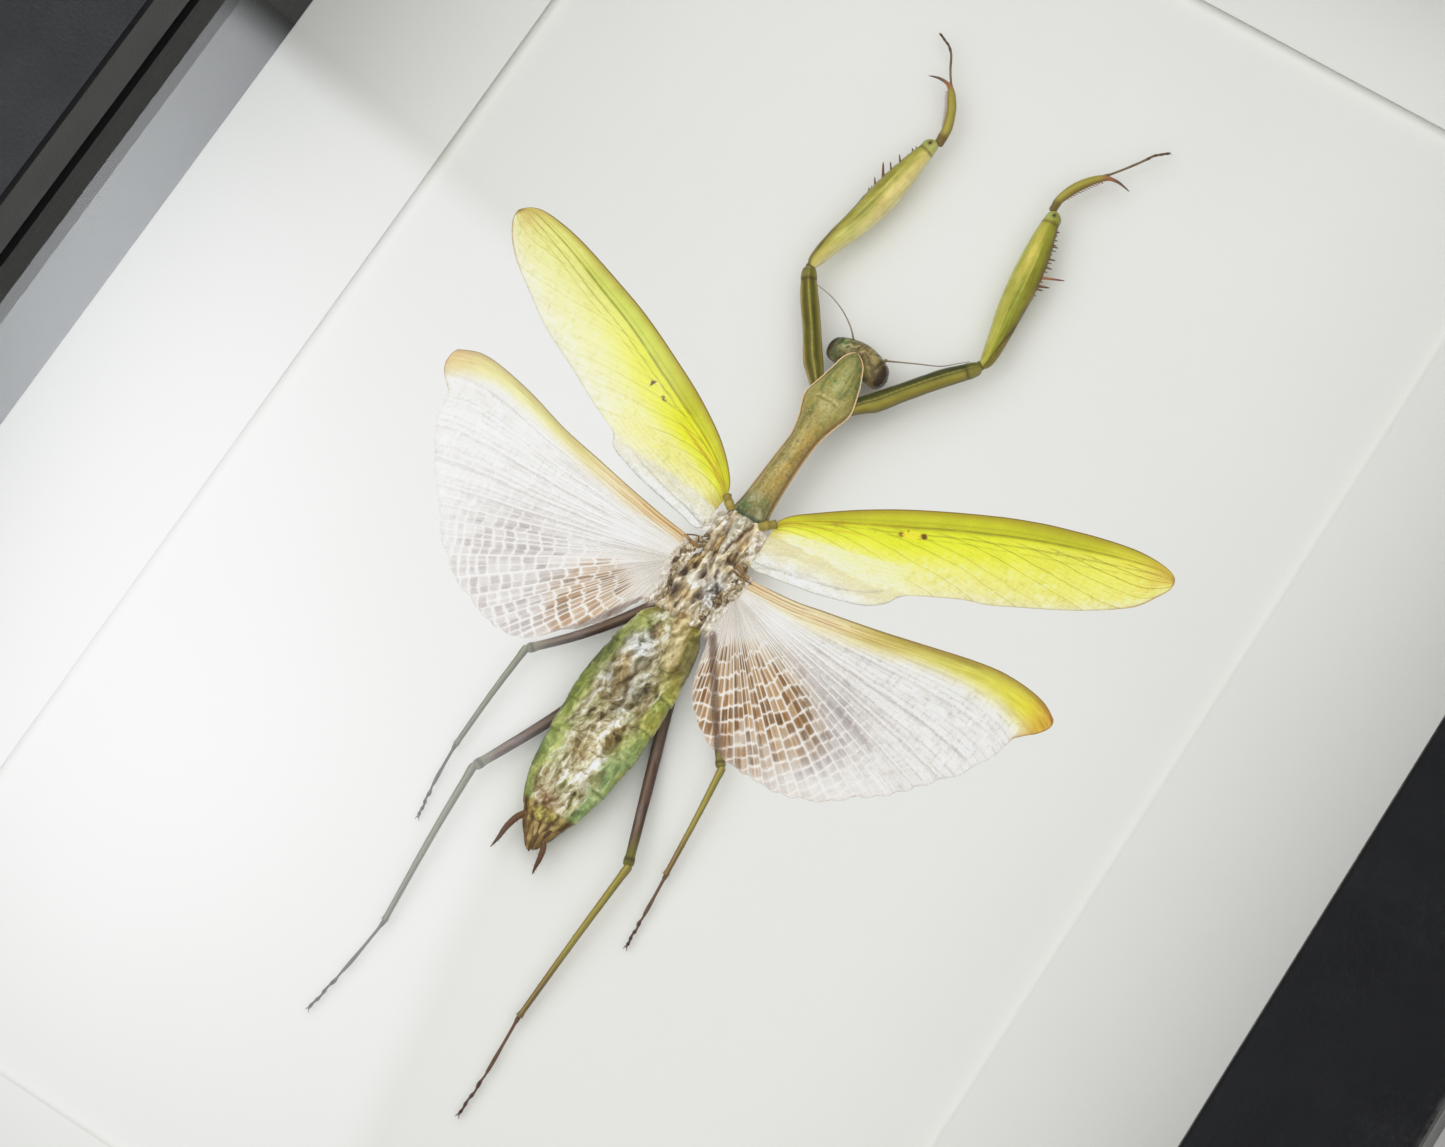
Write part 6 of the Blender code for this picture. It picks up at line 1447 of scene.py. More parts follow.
def pterothorax():
    y, cx, w, low, top, taper, c, u = sections([
        (8.6, 0.9, 2.6, 3.0, 6.3), (7.4, 1.0, 3.2, 1.6, 6.9), (5.6, 1.0, 3.5, 0.8, 7.2), (4.0, 0.95, 3.4, 0.4, 7.3), (2.2, 0.9, 3.4, 0.4, 7.3), (0.4, 0.8, 3.8, 0.3, 7.2), (-2.0, 0.5, 4.4, 0.3, 7.0),
        (-4.0, 0.5, 4.1, 0.3, 7.0), (-6.0, 0.4, 3.8, 0.3, 6.9), (-8.0, 0.3, 3.8, 0.8, 6.8), (-9.6, 0.3, 3.5, 1.4, 6.6)], 172, 128, 24, (0.9, 0.9))
    x = cx + w * c
    wx, wy = x + 0.35 * fbm(x * 0.7, y * 0.5, seed=191), y + 0.6 * fbm(x * 0.6, y * 0.4, seed=192)
    crest = ridged(wx * 0.85, wy * 0.30, seed=193, octaves=2)
    small = ridged(wx * 1.9, wy * 1.3, seed=195, octaves=3)
    fine = fbm(x * 3.0, y * 2.4, seed=197, octaves=3)
    shade1, lean1, crease1 = facets(wx, wy * 0.55, 0.95, 247)
    shade2, lean2, crease2 = facets(wx + 0.2 * fine, wy * 0.70, 0.50, 249)
    fold1, lit_lean1, edge1, valley_shade1 = crumple(wx, wy * 0.5, 1.35, 261)
    fold2, lit_lean2, edge2, valley_shade2 = crumple(wx, wy * 0.5, 0.7, 263)
    # colour mixes random tone with painted light where pieces lean to the window and painted shade along the creases
    rough = np.clip(0.56 + 0.60 * (0.76 * crest + 0.24 * small - 0.42) + 0.22 * (shade1 - 0.5) + 0.12 * (shade2 - 0.5) + 0.46 * lit_lean1 + 0.22 * lit_lean2 - 0.08 * (1 - step(crease1, 0, 0.14)), 0, 1)
    relief = 0.50 * (crest - 0.5) + 0.10 * (small - 0.5) + 0.03 * fine + 0.22 * (shade1 - 0.5) * step(crease1, 0, 0.3) + 0.3 * lean1 + 0.1 * lean2 + 1.2 * (fold1 - 0.5) + 0.35 * (fold2 - 0.5)
    colour = along(rough, [(0.05, (52, 38, 24)), (0.20, (86, 68, 44)), (0.36, (120, 102, 72)), (0.52, (150, 134, 102)), (0.70, (184, 172, 144)), (0.85, (220, 213, 194)), (0.95, (246, 242, 232))])
    warm = fbm(x * 0.5, y * 0.35, seed=199, octaves=3)
    colour = blend(colour, colour * [1.02, 0.92, 0.72], 0.8 * step(warm, 0.0, 0.5))
    colour = blend(colour, colour * 0.55 + [84, 84, 84], 0.7 * step(-warm, 0.0, 0.4))
    # silver crumples beside the right hinge: their bright and dark flecks are a painted sheen
    foil = ridged(wx * 1.5 + 3, wy * 1.2, seed=201, octaves=3)
    silver_sheen = np.clip(np.exp(-((x - 3.1) / 1.7) ** 2 - ((y + 3.7) / 2.6) ** 2) * 1.35, 0, 1)
    colour = blend(colour, along(foil, [(0.10, (76, 69, 65)), (0.29, (136, 130, 122)), (0.50, (196, 192, 183)), (0.80, (247, 247, 243))]), silver_sheen)
    relief = relief + 0.55 * (foil - 0.5) * np.clip(silver_sheen, 0, 1)
    # the pale plate
    plate_mid = 0.75 + 0.02 * (y - 4)
    plate_half = np.interp(y, [0.6, 1.4, 4.0, 7.4, 8.6], [0.02, 0.35, 0.75, 1.15, 1.35])
    inside = (1 - step(abs(x - plate_mid) / plate_half, 0.82, 1.08)) * step(y, 0.8, 1.6) * (u > 0)
    glassy = along(small + 0.4 * (shade2 - 0.5), [(0.1, (138, 128, 104)), (0.5, (174, 167, 146)), (0.9, (216, 211, 196))])
    colour = colour * (1 - inside[..., None]) + (glassy + (10 * fine)[..., None]) * inside[..., None]
    relief = relief * (1 - 0.75 * inside) + 0.18 * inside
    # raised and sunken lines read from the picture: points, width, height, colour, strength
    for pts, wide, high, tint, strong in (
            (((-0.55, 8.1), (-0.45, 6.0), (-0.1, 3.8), (0.3, 1.5)), 0.17, 0.18, (150, 112, 66), 0.75),
            (((2.15, 7.6), (1.85, 5.5), (1.45, 3.8), (1.1, 1.8)), 0.20, -0.32, (56, 38, 26), 0.90),
            (((2.75, 7.8), (2.45, 5.8), (2.1, 3.8), (1.7, 1.6), (1.9, 0.2)), 0.20, 0.34, (214, 202, 176), 0.85),
            (((3.5, 7.4), (3.2, 6.0), (2.6, 4.6)), 0.28, -0.28, (88, 58, 36), 0.85),
            (((-1.35, 7.8), (-1.25, 5.5), (-1.0, 3.2), (-0.6, 1.4)), 0.24, -0.25, (96, 68, 42), 0.80),
            (((-1.95, 7.4), (-1.9, 5.4), (-1.7, 3.4), (-1.9, 1.4)), 0.24, 0.30, (196, 170, 126), 0.80),
            (((3.6, 5.2), (3.0, 3.4), (2.9, 1.6)), 0.22, 0.30, (226, 214, 188), 0.75),
            (((0.7, 1.0), (1.25, -1.0), (1.0, -4.1), (0.4, -6.3), (-0.3, -8.4)), 0.24, 0.42, (222, 204, 160), 0.85),
            (((0.2, 0.6), (0.5, -1.6), (0.2, -4.0), (-0.3, -6.2)), 0.18, -0.35, (84, 62, 38), 0.75),
            (((-0.9, 0.8), (-0.7, -2.0), (-0.9, -4.8), (-1.5, -7.8)), 0.24, 0.36, (206, 186, 142), 0.80),
            (((1.8, 0.6), (1.9, -1.6), (1.6, -3.8), (1.2, -6.4)), 0.18, -0.32, (74, 58, 46), 0.75),
            (((-2.2, 1.0), (-1.4, -0.2), (-0.1, -0.9), (1.4, -2.4)), 0.16, 0.25, (236, 228, 206), 0.70),
            (((3.9, 1.4), (2.8, 0.2), (1.6, -0.6)), 0.18, 0.25, (206, 182, 136), 0.75),
            (((2.2, -6.2), (1.6, -7.6), (0.9, -8.8)), 0.26, 0.30, (186, 148, 84), 0.75),
            (((-2.6, -7.2), (-1.6, -7.9), (-0.6, -8.6)), 0.24, 0.30, (168, 132, 80), 0.75)):
        d, _ = near_line(wx, wy, pts)
        line = np.exp(-((d + 0.10 * fine) / wide) ** 2) * step(noise(wx * 0.9, wy * 0.9, abs(high) * 40, 265), 0.22, 0.5)
        relief = relief * (1 - 0.5 * line) + 0.62 * high * line
        colour = blend(colour, tone(*tint) + (26 * fine + 22 * (small - 0.5))[..., None], line * strong * 0.8)
    # pits, sunken and darkened with painted shade
    for px, py, rx_, ry_, deep in ((-2.3, -3.0, 0.55, 0.9, 0.9), (-2.1, -5.9, 0.5, 0.8, 0.85), (3.4, -3.2, 0.40, 0.7, 0.45), (2.9, 1.6, 0.45, 0.5, 0.7),
                                   (0.3, -2.4, 0.28, 0.7, 0.6), (3.7, 4.5, 0.5, 0.6, 0.6), (-2.2, 2.4, 0.35, 0.7, 0.55), (1.7, -5.0, 0.35, 0.7, 0.6), (-1.3, -1.4, 0.3, 0.5, 0.5)):
        pit = np.exp(-(((wx - px) / rx_) ** 2 + ((wy - py) / ry_) ** 2) ** 1.4)
        relief = relief - 0.8 * deep * pit
        colour = blend(colour, (48, 34, 26), pit * deep)
    colour = colour + (9 * fine)[..., None]
    colour = np.where((u < -0.1)[..., None], blend(colour, (150, 120, 78), 0.7 + 0 * x), colour)
    soft = step(u, -0.05, 0.5)
    half = low + 0.55 * (top - low)
    Z = half + np.where(u > 0, (top - half) * np.clip(u, 0, 1) ** 0.75, (half - low) * u) * taper + relief * soft * taper
    ragged = 0.55 * fbm(y * 0.9, np.sign(c) * 5, seed=203, octaves=4)
    X = cx + (w + 0.3 * relief + ragged * step(abs(c), 0.4, 0.9)) * taper * c
    skin = Skin()
    skin.closed(np.stack([X, y + 0 * X, FLOOR + Z], -1), colour, 1.0, np.clip(0.45 + 0.5 * np.clip(silver_sheen, 0, 1) + 0.4 * inside + 0.4 * (rough - 0.5), 0, 1))
    # loose scraps of the hinges, along both edges: (x, y) runs that they lie on
    for side, run in ((-1, ((-1.7, 8.0), (-2.6, 6.8), (-2.7, 5.0), (-2.4, 3.0), (-2.7, 1.2), (-3.6, -0.4), (-4.0, -2.4), (-3.5, -4.6), (-3.3, -6.8), (-3.4, -8.6))),
                      (1, ((3.2, 7.9), (4.4, 7.0), (4.4, 5.2), (4.1, 3.2), (4.4, 1.4), (4.9, -0.4), (4.8, -2.6), (4.4, -4.6), (3.9, -6.6), (3.8, -8.4)))):
        run = np.array(run)
        for i in range(11):
            r1, r2, r3, r4, r5 = (float(dice(i, side * 3 + 7, j, 209)) for j in range(5))
            r5 = 0.62 * r5
            px, py = spaced(run, (i + r1) / 11)
            turn = np.pi * (0.5 + (r2 - 0.5) * 0.7) + (0.3 if side > 0 else -0.3)
            long, wide = 0.7 + 0.6 * r3, 0.36 + 0.24 * r4
            lump(skin, px - side * (0.30 + 0.35 * r4), py, 5.9 + 0.55 * r2, long, wide, turn, r5, i + 40 * side)
    # torn tissue that joins the hindwings to the body: (x, y, h, half length, half width, turn, tone)
    for i, (px, py, h, long, wide, turn, r5) in enumerate((
            (-3.2, 1.8, 6.2, 0.8, 0.50, 1.2, 0.5), (-3.5, 0.5, 6.1, 1.0, 0.65, 0.5, 0.60), (-3.9, -0.8, 5.9, 1.0, 0.65, 1.9, 0.22), (-4.1, -2.1, 5.8, 1.1, 0.60, 1.3, 0.05),
            (-3.8, -3.4, 5.7, 0.9, 0.55, 1.7, 0.4), (4.5, 1.5, 6.2, 0.8, 0.50, 1.9, 0.30), (4.7, 0.3, 6.1, 1.0, 0.60, 2.6, 0.50), (5.1, -0.9, 5.9, 1.1, 0.70, 1.2, 0.35),
            (5.1, -2.3, 5.8, 1.1, 0.65, 1.6, 0.55), (4.8, -3.6, 5.7, 1.0, 0.60, 1.4, 0.30), (4.4, -4.9, 5.6, 0.9, 0.50, 1.7, 0.50))):
        lump(skin, px, py, h, long, wide, turn, r5, i + 90)
    # the stalks of the wings and their thin dark veins: points (x, y, h), radius at both ends, colour
    for pts, r0, r1, tint in (
            (((-1.5, 7.7, 6.7), (-2.3, 8.3, 6.8), (-3.2, 9.1, 6.6)), 0.60, 0.66, (162, 146, 62)),
            (((-2.2, 1.7, 7.0), (-2.9, 1.5, 6.7), (-3.5, 2.2, 6.4), (-5.0, 1.7, 6.0)), 0.11, 0.11, (104, 74, 40)),
            (((-2.3, 0.9, 6.9), (-3.6, 1.0, 6.5), (-5.2, 1.5, 6.1)), 0.26, 0.22, (164, 130, 82)),
            (((3.0, 7.6, 6.7), (3.9, 8.3, 6.8), (4.8, 9.2, 6.6)), 0.60, 0.66, (154, 140, 56)),
            (((3.4, 1.2, 6.9), (4.6, 0.9, 6.6), (5.8, 0.7, 6.1)), 0.26, 0.22, (164, 130, 82)),
            (((3.6, 0.4, 6.8), (4.9, 0.2, 6.4), (6.4, 0.3, 6.0)), 0.14, 0.10, (120, 88, 52))):
        run = spaced(curve_through(pts, 8), np.linspace(0, 1, 25))
        k = np.linspace(0, 1, 25)
        knots = 0.85 + 0.35 * noise(k * 6, abs(pts[0][1]), seed=205)
        tint = blend(tone(*tint) + 0 * k[:, None], (66, 42, 22), 0.6 * noise(k * 7, abs(pts[0][1]), seed=207) ** 1.5)
        skin.tube(run + [0, 0, FLOOR - 0.05], (r0 + (r1 - r0) * k) * knots, tint, sides=12, gloss=0.7)
    skin.make("pterothorax", THORAX, 1.35)


pterothorax()

# abdomen: green sides with folds, and a crumpled, dried-out back
ABDOMEN = surface("abdomen_skin", 0.9, 0.026, 0.07, (0.56, 0.16))


def abdomen():
    y, cx, w, low, top, taper, c, u = sections([
        (-7.6, 1.3, 2.6, 3.2, 6.2), (-9.2, 0.4, 3.9, 2.9, 6.6), (-11.0, 0.3, 4.9, 2.6, 7.0), (-14.5, 0.2, 5.8, 2.4, 7.2), (-18.5, 0.1, 6.3, 2.3, 7.2),
        (-22.5, 0.0, 6.6, 2.3, 7.1), (-27.0, 0.1, 6.5, 2.3, 6.9), (-31.0, 0.1, 6.15, 2.2, 6.6), (-35.0, 0.0, 5.7, 2.0, 6.1), (-38.4, -0.1, 4.9, 1.9, 5.5),
        (-41.0, 0.0, 3.8, 1.8, 4.9), (-43.6, 0.35, 2.3, 1.8, 4.2), (-46.2, 0.6, 0.9, 2.0, 3.4)], 296, 150, 28, (0.5, 1.2))
    s = (-7.6 - y) / 38.6
    x = cx + w * c
    # the sides show a step at the end of each segment
    n_seg = np.interp(y, [-46, -41, -36, -30.5, -25.5, -20.5, -15.5, -11, -7], [8, 7, 6, 5, 4, 3, 2, 1, 0]) + 0.10 * np.sin(c * 2)
    phase = n_seg - np.floor(n_seg)
    torn = noise(np.floor(n_seg) * 3.7, np.sign(c) * 2.2, seed=229)
    notch = (0.20 * torn * (phase ** 3 - 0.3) + 0.12 * fbm(y * 0.6, np.sign(c) * 4, seed=230)) * step(abs(c), 0.72, 1.0) * (1 - step(s, 0.9, 1.0))
    wx, wy = x + 1.0 * fbm(x * 0.28, y * 0.20, seed=211), y + 1.8 * fbm(x * 0.26, y * 0.18, seed=212)
    big = ridged(wx * 0.36, wy * 0.21, seed=213, octaves=2)
    mid = ridged(wx * 0.85, wy * 0.52, seed=215, octaves=3)
    small = ridged(wx * 2.0, wy * 1.2, seed=217, octaves=3)
    fine = fbm(x * 2.6, y * 2.0, seed=219, octaves=3)
    warm = fbm(x * 0.30, y * 0.22, seed=221, octaves=4)
    cool = fbm(x * 0.24, y * 0.16, seed=223, octaves=4)
    back = (1 - step(abs(c) + 0.22 * cool + 0.25 * (mid - 0.45) + 0.10 * fine, 0.52, 0.76))
    # crumpled back: creased pieces of two sizes, longer than wide, painted lighter where they lean to the window, with
    # painted shade in their valleys and painted highlights on their crests
    tiny = ridged(wx * 3.6, wy * 2.4, seed=218, octaves=2)
    shade1, lean1, crease1 = facets(wx + 0.5 * fbm(x * 0.8, y * 0.7, seed=233), wy * 0.55, 2.1, 235)
    shade2, lean2, crease2 = facets(wx * 1.0 + 0.25 * fine, wy * 0.72, 0.9, 237)
    bend_x, bend_y = wx + 0.5 * fbm(x * 0.5, y * 0.5, seed=251), wy * 0.7 + 0.5 * fbm(x * 0.5, y * 0.4, seed=252)
    fold1, lit_lean1, crest_highlight1, valley_shade1 = crumple(bend_x, bend_y, 2.3, 253)
    fold2, lit_lean2, crest_highlight2, valley_shade2 = crumple(bend_x, bend_y, 1.05, 255)
    rough = np.clip(0.53 + 0.13 * step(s, 0.42, 0.72) + 0.08 * (1 - step(s, 0.02, 0.10)) + 0.26 * (shade1 - 0.5) + 0.16 * (shade2 - 0.5) + 0.52 * lit_lean1 + 0.36 * lit_lean2 + 0.4 * (fold1 - 0.5) + 0.30 * (big - 0.42) + 0.20 * (mid - 0.42) + 0.11 * (small - 0.42), 0, 1)
    paper = along(rough, [(0.04, (60, 46, 24)), (0.20, (96, 80, 46)), (0.36, (134, 120, 78)), (0.52, (166, 155, 114)), (0.68, (194, 187, 154)), (0.82, (226, 223, 206)), (0.95, (252, 252, 246))])
    gold = along(rough, [(0.04, (62, 40, 14)), (0.22, (112, 84, 38)), (0.38, (150, 122, 64)), (0.54, (182, 154, 92)), (0.70, (208, 186, 128)), (0.84, (234, 220, 176)), (0.95, (250, 244, 222))])
    sage = along(rough, [(0.04, (54, 60, 28)), (0.20, (92, 98, 52)), (0.38, (130, 136, 82)), (0.56, (162, 168, 118)), (0.72, (192, 196, 154)), (0.86, (226, 228, 204)), (0.96, (248, 250, 236))])
    golden = np.clip(0.95 * (1 - step(s, 0.07, 0.20)) * step(c, -0.5, 0.4) + bump_at(c, 0.72, 0.30) * (1 - step(s, 0.20, 0.34)) + bump_at(c, -0.28, 0.20) * bump_at(s, 0.30, 0.14) * 0.9
                     + step(warm, 0.12, 0.55) * 0.55 + step(s, 0.78, 0.90) * 0.7, 0, 1)
    colour = paper * (1 - golden[..., None]) + gold * golden[..., None]
    colour = blend(colour, (92, 70, 36), 0.46 * valley_shade1 + 0.30 * valley_shade2)
    colour = blend(colour, (246, 244, 230), 0.36 * crest_highlight1 + 0.30 * crest_highlight2)
    colour = blend(colour, sage, np.clip(step(cool, -0.1, 0.4) * step(abs(c), 0.15, 0.5) * 0.8 + 0.35 * step(fbm(x * 0.5, y * 0.4, seed=239), 0.0, 0.4), 0, 0.9))
    colour = blend(colour, (198, 196, 190), bump_at(c, -0.02, 0.4) * bump_at(s, 0.22, 0.08) * 0.35 * step(rough, 0.3, 0.6))
    # the green sides, also painted lighter where pieces lean to the window
    edge_rough = np.clip(0.47 + 0.7 * (0.55 * mid + 0.30 * small + 0.15 * tiny - 0.42) + 0.14 * (shade1 - 0.5) + 0.08 * (shade2 - 0.5) + 0.20 * lit_lean1 + 0.12 * lit_lean2 + 0.22 * cool, 0, 1)
    leaf = along(edge_rough, [(0.05, (66, 70, 28)), (0.22, (94, 102, 44)), (0.42, (122, 132, 62)), (0.62, (152, 158, 84)), (0.82, (190, 190, 120)), (0.95, (222, 220, 170))])
    teal = along(edge_rough, [(0.05, (66, 78, 42)), (0.25, (92, 110, 64)), (0.45, (120, 142, 84)), (0.65, (152, 168, 108)), (0.85, (192, 200, 148)), (0.96, (224, 228, 192))])
    olive = along(edge_rough, [(0.05, (60, 48, 8)), (0.25, (90, 78, 20)), (0.48, (122, 110, 36)), (0.70, (158, 146, 66)), (0.90, (202, 192, 120))])
    green = leaf.copy()
    bluish = np.clip(step(c, 0.2, 0.7) * step(s, 0.42, 0.60) * (1 - step(s, 0.90, 0.97)) + 0.45 * step(-c, 0.5, 0.8) * step(s, 0.40, 0.7) * (1 - step(s, 0.86, 0.94)) * step(cool, -0.3, 0.3), 0, 1)
    green = blend(green, teal, bluish)
    green = blend(green, olive, np.clip(step(c, 0.3, 0.7) * (1 - step(s, 0.20, 0.40)) + (1 - step(s, 0.02, 0.12)) + step(s, 0.84, 0.93) * 1.0 + 0.6 * step(warm, 0.1, 0.5), 0, 1))
    green = blend(green, (66, 82, 40), step(-c, 0.90, 0.985) * step(s, 0.15, 0.3) * 0.45)
    side = 1 - back
    colour = colour * (1 - side[..., None]) + green * side[..., None]
    # bright fold lines where back and side meet
    for sign, place in ((-1, 0.70), (1, 0.74)):
        wave = place + 0.06 * np.sin(n_seg * 2 * np.pi) * (1 - step(s, 0.8, 0.9)) + 0.05 * warm
        line = bump_at(sign * c, wave, 0.045) * step(s, 0.12, 0.22) * (1 - step(s, 0.82, 0.92))
        colour = blend(colour, (196, 192, 120), line * 0.5 * step(small, 0.3, 0.7) * step(noise(y * 0.7, sign, seed=241), 0.35, 0.7))
        colour = blend(colour, (88, 80, 38), bump_at(sign * c, wave - 0.07, 0.04) * step(s, 0.12, 0.22) * (1 - step(s, 0.82, 0.92)) * 0.4 * step(noise(y * 0.6, sign * 3, seed=243), 0.3, 0.7))
    fold = np.exp(-(np.minimum(phase, 1 - phase) / 0.045) ** 2) * step(abs(c), 0.55, 0.8) * (1 - step(s, 0.86, 0.93)) * step(s, 0.06, 0.14)
    fold = fold * (0.25 + 0.75 * torn) * np.clip(0.4 + 1.2 * noise(x * 0.9, y * 0.9, seed=231), 0, 1)
    colour = blend(colour, (206, 200, 118), np.exp(-((phase - 0.90) / 0.05) ** 2) * step(abs(c), 0.60, 0.8) * step(small, 0.2, 0.6) * (1 - step(s, 0.86, 0.93)) * step(s, 0.08, 0.16) * 0.5 * torn)
    colour = blend(colour, (64, 66, 26), fold * 0.6)
    # long creases of the back: (points, width, depth, darkness)
    relief = 0.65 * (big - 0.5) * (0.4 + 0.6 * back) + 0.20 * (mid - 0.5) + 0.07 * (small - 0.5) + 0.03 * (tiny - 0.5) + 0.02 * fine - 0.12 * fold
    relief = relief + (0.12 + 0.88 * back) * (2.1 * (fold1 - 0.5) + 0.75 * (fold2 - 0.5) + 0.16 * lean1 + 0.08 * lean2)
    for pts, wide, deep, dark in (
            (((0.9, -15.6), (0.3, -17.8), (-0.6, -20.2), (1.0, -22.5), (0.4, -24.6)), 0.34, 0.42, 0.85),
            (((-0.4, -18.2), (-1.8, -20.0), (-2.6, -22.4), (-1.6, -23.8), (0.6, -22.8)), 0.24, 0.30, 0.55),
            (((2.2, -13.4), (2.6, -16.4), (1.6, -19.2)), 0.22, 0.28, 0.45),
            (((0.4, -24.6), (-0.8, -28.2), (-0.6, -31.4), (-1.0, -35.2)), 0.22, 0.26, 0.45),
            (((-3.2, -15.6), (-3.6, -19.2), (-3.2, -24.0), (-3.6, -28.4)), 0.26, 0.28, 0.45),
            (((3.4, -18.4), (3.6, -23.4), (3.0, -27.6), (3.2, -31.8)), 0.22, 0.24, 0.40),
            (((-2.6, -12.2), (-0.8, -12.8), (0.6, -14.2), (1.2, -15.6)), 0.20, 0.25, 0.45),
            (((-1.9, -29.8), (0.4, -30.6), (2.4, -29.8)), 0.20, 0.22, 0.35),
            (((3.0, -9.4), (2.2, -11.4), (2.8, -13.6), (4.4, -15.2)), 0.26, 0.30, 0.60)):
        d, _ = near_line(wx, wy, pts)
        line = np.exp(-(d / wide) ** 2)
        relief = relief - deep * line
        colour = blend(colour, (74, 56, 26), line * dark * (0.55 + 0.6 * (1 - rough)))
    # bright crumpled spots: (x, y, size), with painted highlights on their shards and painted grey shade between
    for px, py, size, strong in ((-1.9, -15.6, 1.3, 0.8), (-0.9, -14.2, 0.9, 0.9), (-2.8, -21.6, 1.2, 0.7), (1.6, -21.0, 1.2, 0.6), (1.2, -24.6, 1.1, 0.6), (0.9, -12.0, 1.0, 0.5)):
        spot = np.exp(-(((wx - px) / size) ** 2 + ((wy - py) / size) ** 2))
        shard = step(ridged(wx * 1.3 + 5, wy * 1.1, seed=225, octaves=3), 0.45, 0.8)
        colour = blend(colour, (246, 246, 240), spot * shard * strong)
        colour = blend(colour, (112, 110, 96), spot * (1 - shard) * strong * 0.55)
        relief = relief + 0.30 * spot * (shard - 0.4)
    # silvery foil near the front: a painted sheen, lighter where its pieces lean to the window
    foil = np.clip(0.5 + 0.9 * lit_lean2 + 0.8 * (ridged(wx * 1.2, wy * 1.0, seed=257, octaves=3) - 0.42), 0, 1)
    silver_sheen = np.exp(-(((x + 1.0) / 1.7) ** 2 + ((y + 15.2) / 2.1) ** 2) ** 1.5)
    colour = blend(colour, along(foil, [(0.12, (92, 86, 74)), (0.36, (150, 150, 140)), (0.6, (206, 208, 204)), (0.85, (252, 253, 252))]), silver_sheen * 0.9)
    relief = relief + 0.45 * (foil - 0.5) * silver_sheen
    # a smooth tan lobe along the right side of the front, painted lighter where it leans to the window, with a painted
    # highlight along its middle and painted shade round its foot
    colour = blend(colour, along(edge_rough, [(0.1, (60, 52, 24)), (0.5, (98, 90, 46)), (0.9, (146, 136, 84))]), step(c + 0.1 * fine, 0.62, 0.80) * step(s, 0.04, 0.10) * (1 - step(s, 0.17, 0.28)) * 0.8)
    d, _ = near_line(x, y, [(1.7, -9.2), (2.9, -11.6), (3.3, -15.2)])
    d = d + 0.20 * fine + 0.55 * fbm(x * 0.45, y * 0.35, seed=267)
    lobe = 1 - step(d, 0.7, 1.5)
    colour = blend(colour, along(np.clip(0.5 + 0.5 * fine + 0.9 * lit_lean2, 0, 1), [(0, (144, 121, 72)), (0.5, (188, 166, 114)), (1, (226, 210, 164))]), lobe * 0.7)
    colour = blend(colour, (226, 214, 176), np.exp(-((d - 0.15) / 0.30) ** 2) * 0.5 * step(noise(y * 0.8, 2.0, seed=259), 0.35, 0.6))
    colour = blend(colour, (92, 68, 34), bump_at(d, 1.45, 0.14) * 0.5 * step(-y, 9.5, 11) * step(noise(x * 0.8, y * 0.8, seed=268), 0.3, 0.6))
    relief = relief * (1 - 0.6 * lobe) + 0.30 * np.sqrt(np.clip(1 - (d / 1.45) ** 2, 0, 1))
    # rear end: brown blot, yellow plate, converging stripes
    tail = step(-y, 40.2, 41.0) + 0 * c
    blot = np.exp(-((x + 0.6) / 1.6) ** 2 - ((y + 39.6) / 0.75) ** 2)
    colour = blend(colour, (98, 62, 34), blot * (0.4 + 0.6 * step(small, 0.2, 0.6)) * 0.9)
    plate_at = np.hypot((x - 0.1) / 2.1, (y + 41.6 - 0.12 * x) / 1.0) + 0.28 * fbm(x * 0.9, y * 0.9, seed=245)
    plate = 1 - step(plate_at, 0.78, 1.08)
    colour = blend(colour, (112, 92, 46), tail * 0.85)
    stripes = 0.5 + 0.5 * np.sin((x - 0.55) / np.clip((y + 48.5) * 0.11, 0.2, 1.2) * 3.1 + 1.2 * warm + 0.8 * fine)
    colour = blend(colour, (176, 156, 96), tail * step(stripes, 0.55, 0.9) * 0.8)
    colour = blend(colour, (66, 46, 22), tail * (1 - step(stripes, 0.08, 0.35)) * 0.8)
    colour = blend(colour, along(small + 0.3 * (shade2 - 0.5), [(0.1, (104, 84, 34)), (0.5, (146, 132, 64)), (0.9, (196, 188, 112))]), plate)
    colour = blend(colour, (84, 58, 26), bump_at(plate_at, 1.14, 0.12) * 0.5 * step(-y, 41.0, 41.9))
    relief = relief * (1 - 0.6 * np.clip(tail + plate, 0, 1)) + 0.30 * plate + 0.14 * (stripes - 0.5) * tail
    colour = colour * (1 - 0.16 * step(-c, 0.35, 0.7) * bump_at(s, 0.26, 0.14) - 0.14 * (1 - step(abs(c), 0.3, 0.6)) * bump_at(s, 0.36, 0.09)
                       - 0.08 * step(c, 0.6, 0.8) * bump_at(s, 0.15, 0.08) + 0.20 * step(c, 0.6, 0.85) * bump_at(s, 0.37, 0.09))[..., None]
    colour = colour + (9 * fine + 7 * warm)[..., None]
    colour = np.where((u < -0.15)[..., None], blend(colour, (118, 134, 72), 0.7 + 0 * x), colour)
    half = low + 0.45 * (top - low)
    Z = half + np.where(u > 0, (top - 0.25 - half) * np.clip(u, 0, 1) ** 0.72, (half - low) * u) * taper + relief * step(u, -0.05, 0.45) * taper
    X = cx + (w + notch + 0.16 * (mid - 0.5) * step(abs(c), 0.5, 1)) * taper * c
    skin = Skin()
    skin.closed(np.stack([X, y + 0 * X, FLOOR + Z], -1), colour, 1.0, np.clip(0.50 + 0.55 * (rough - 0.45) + 0.25 * back, 0, 1))
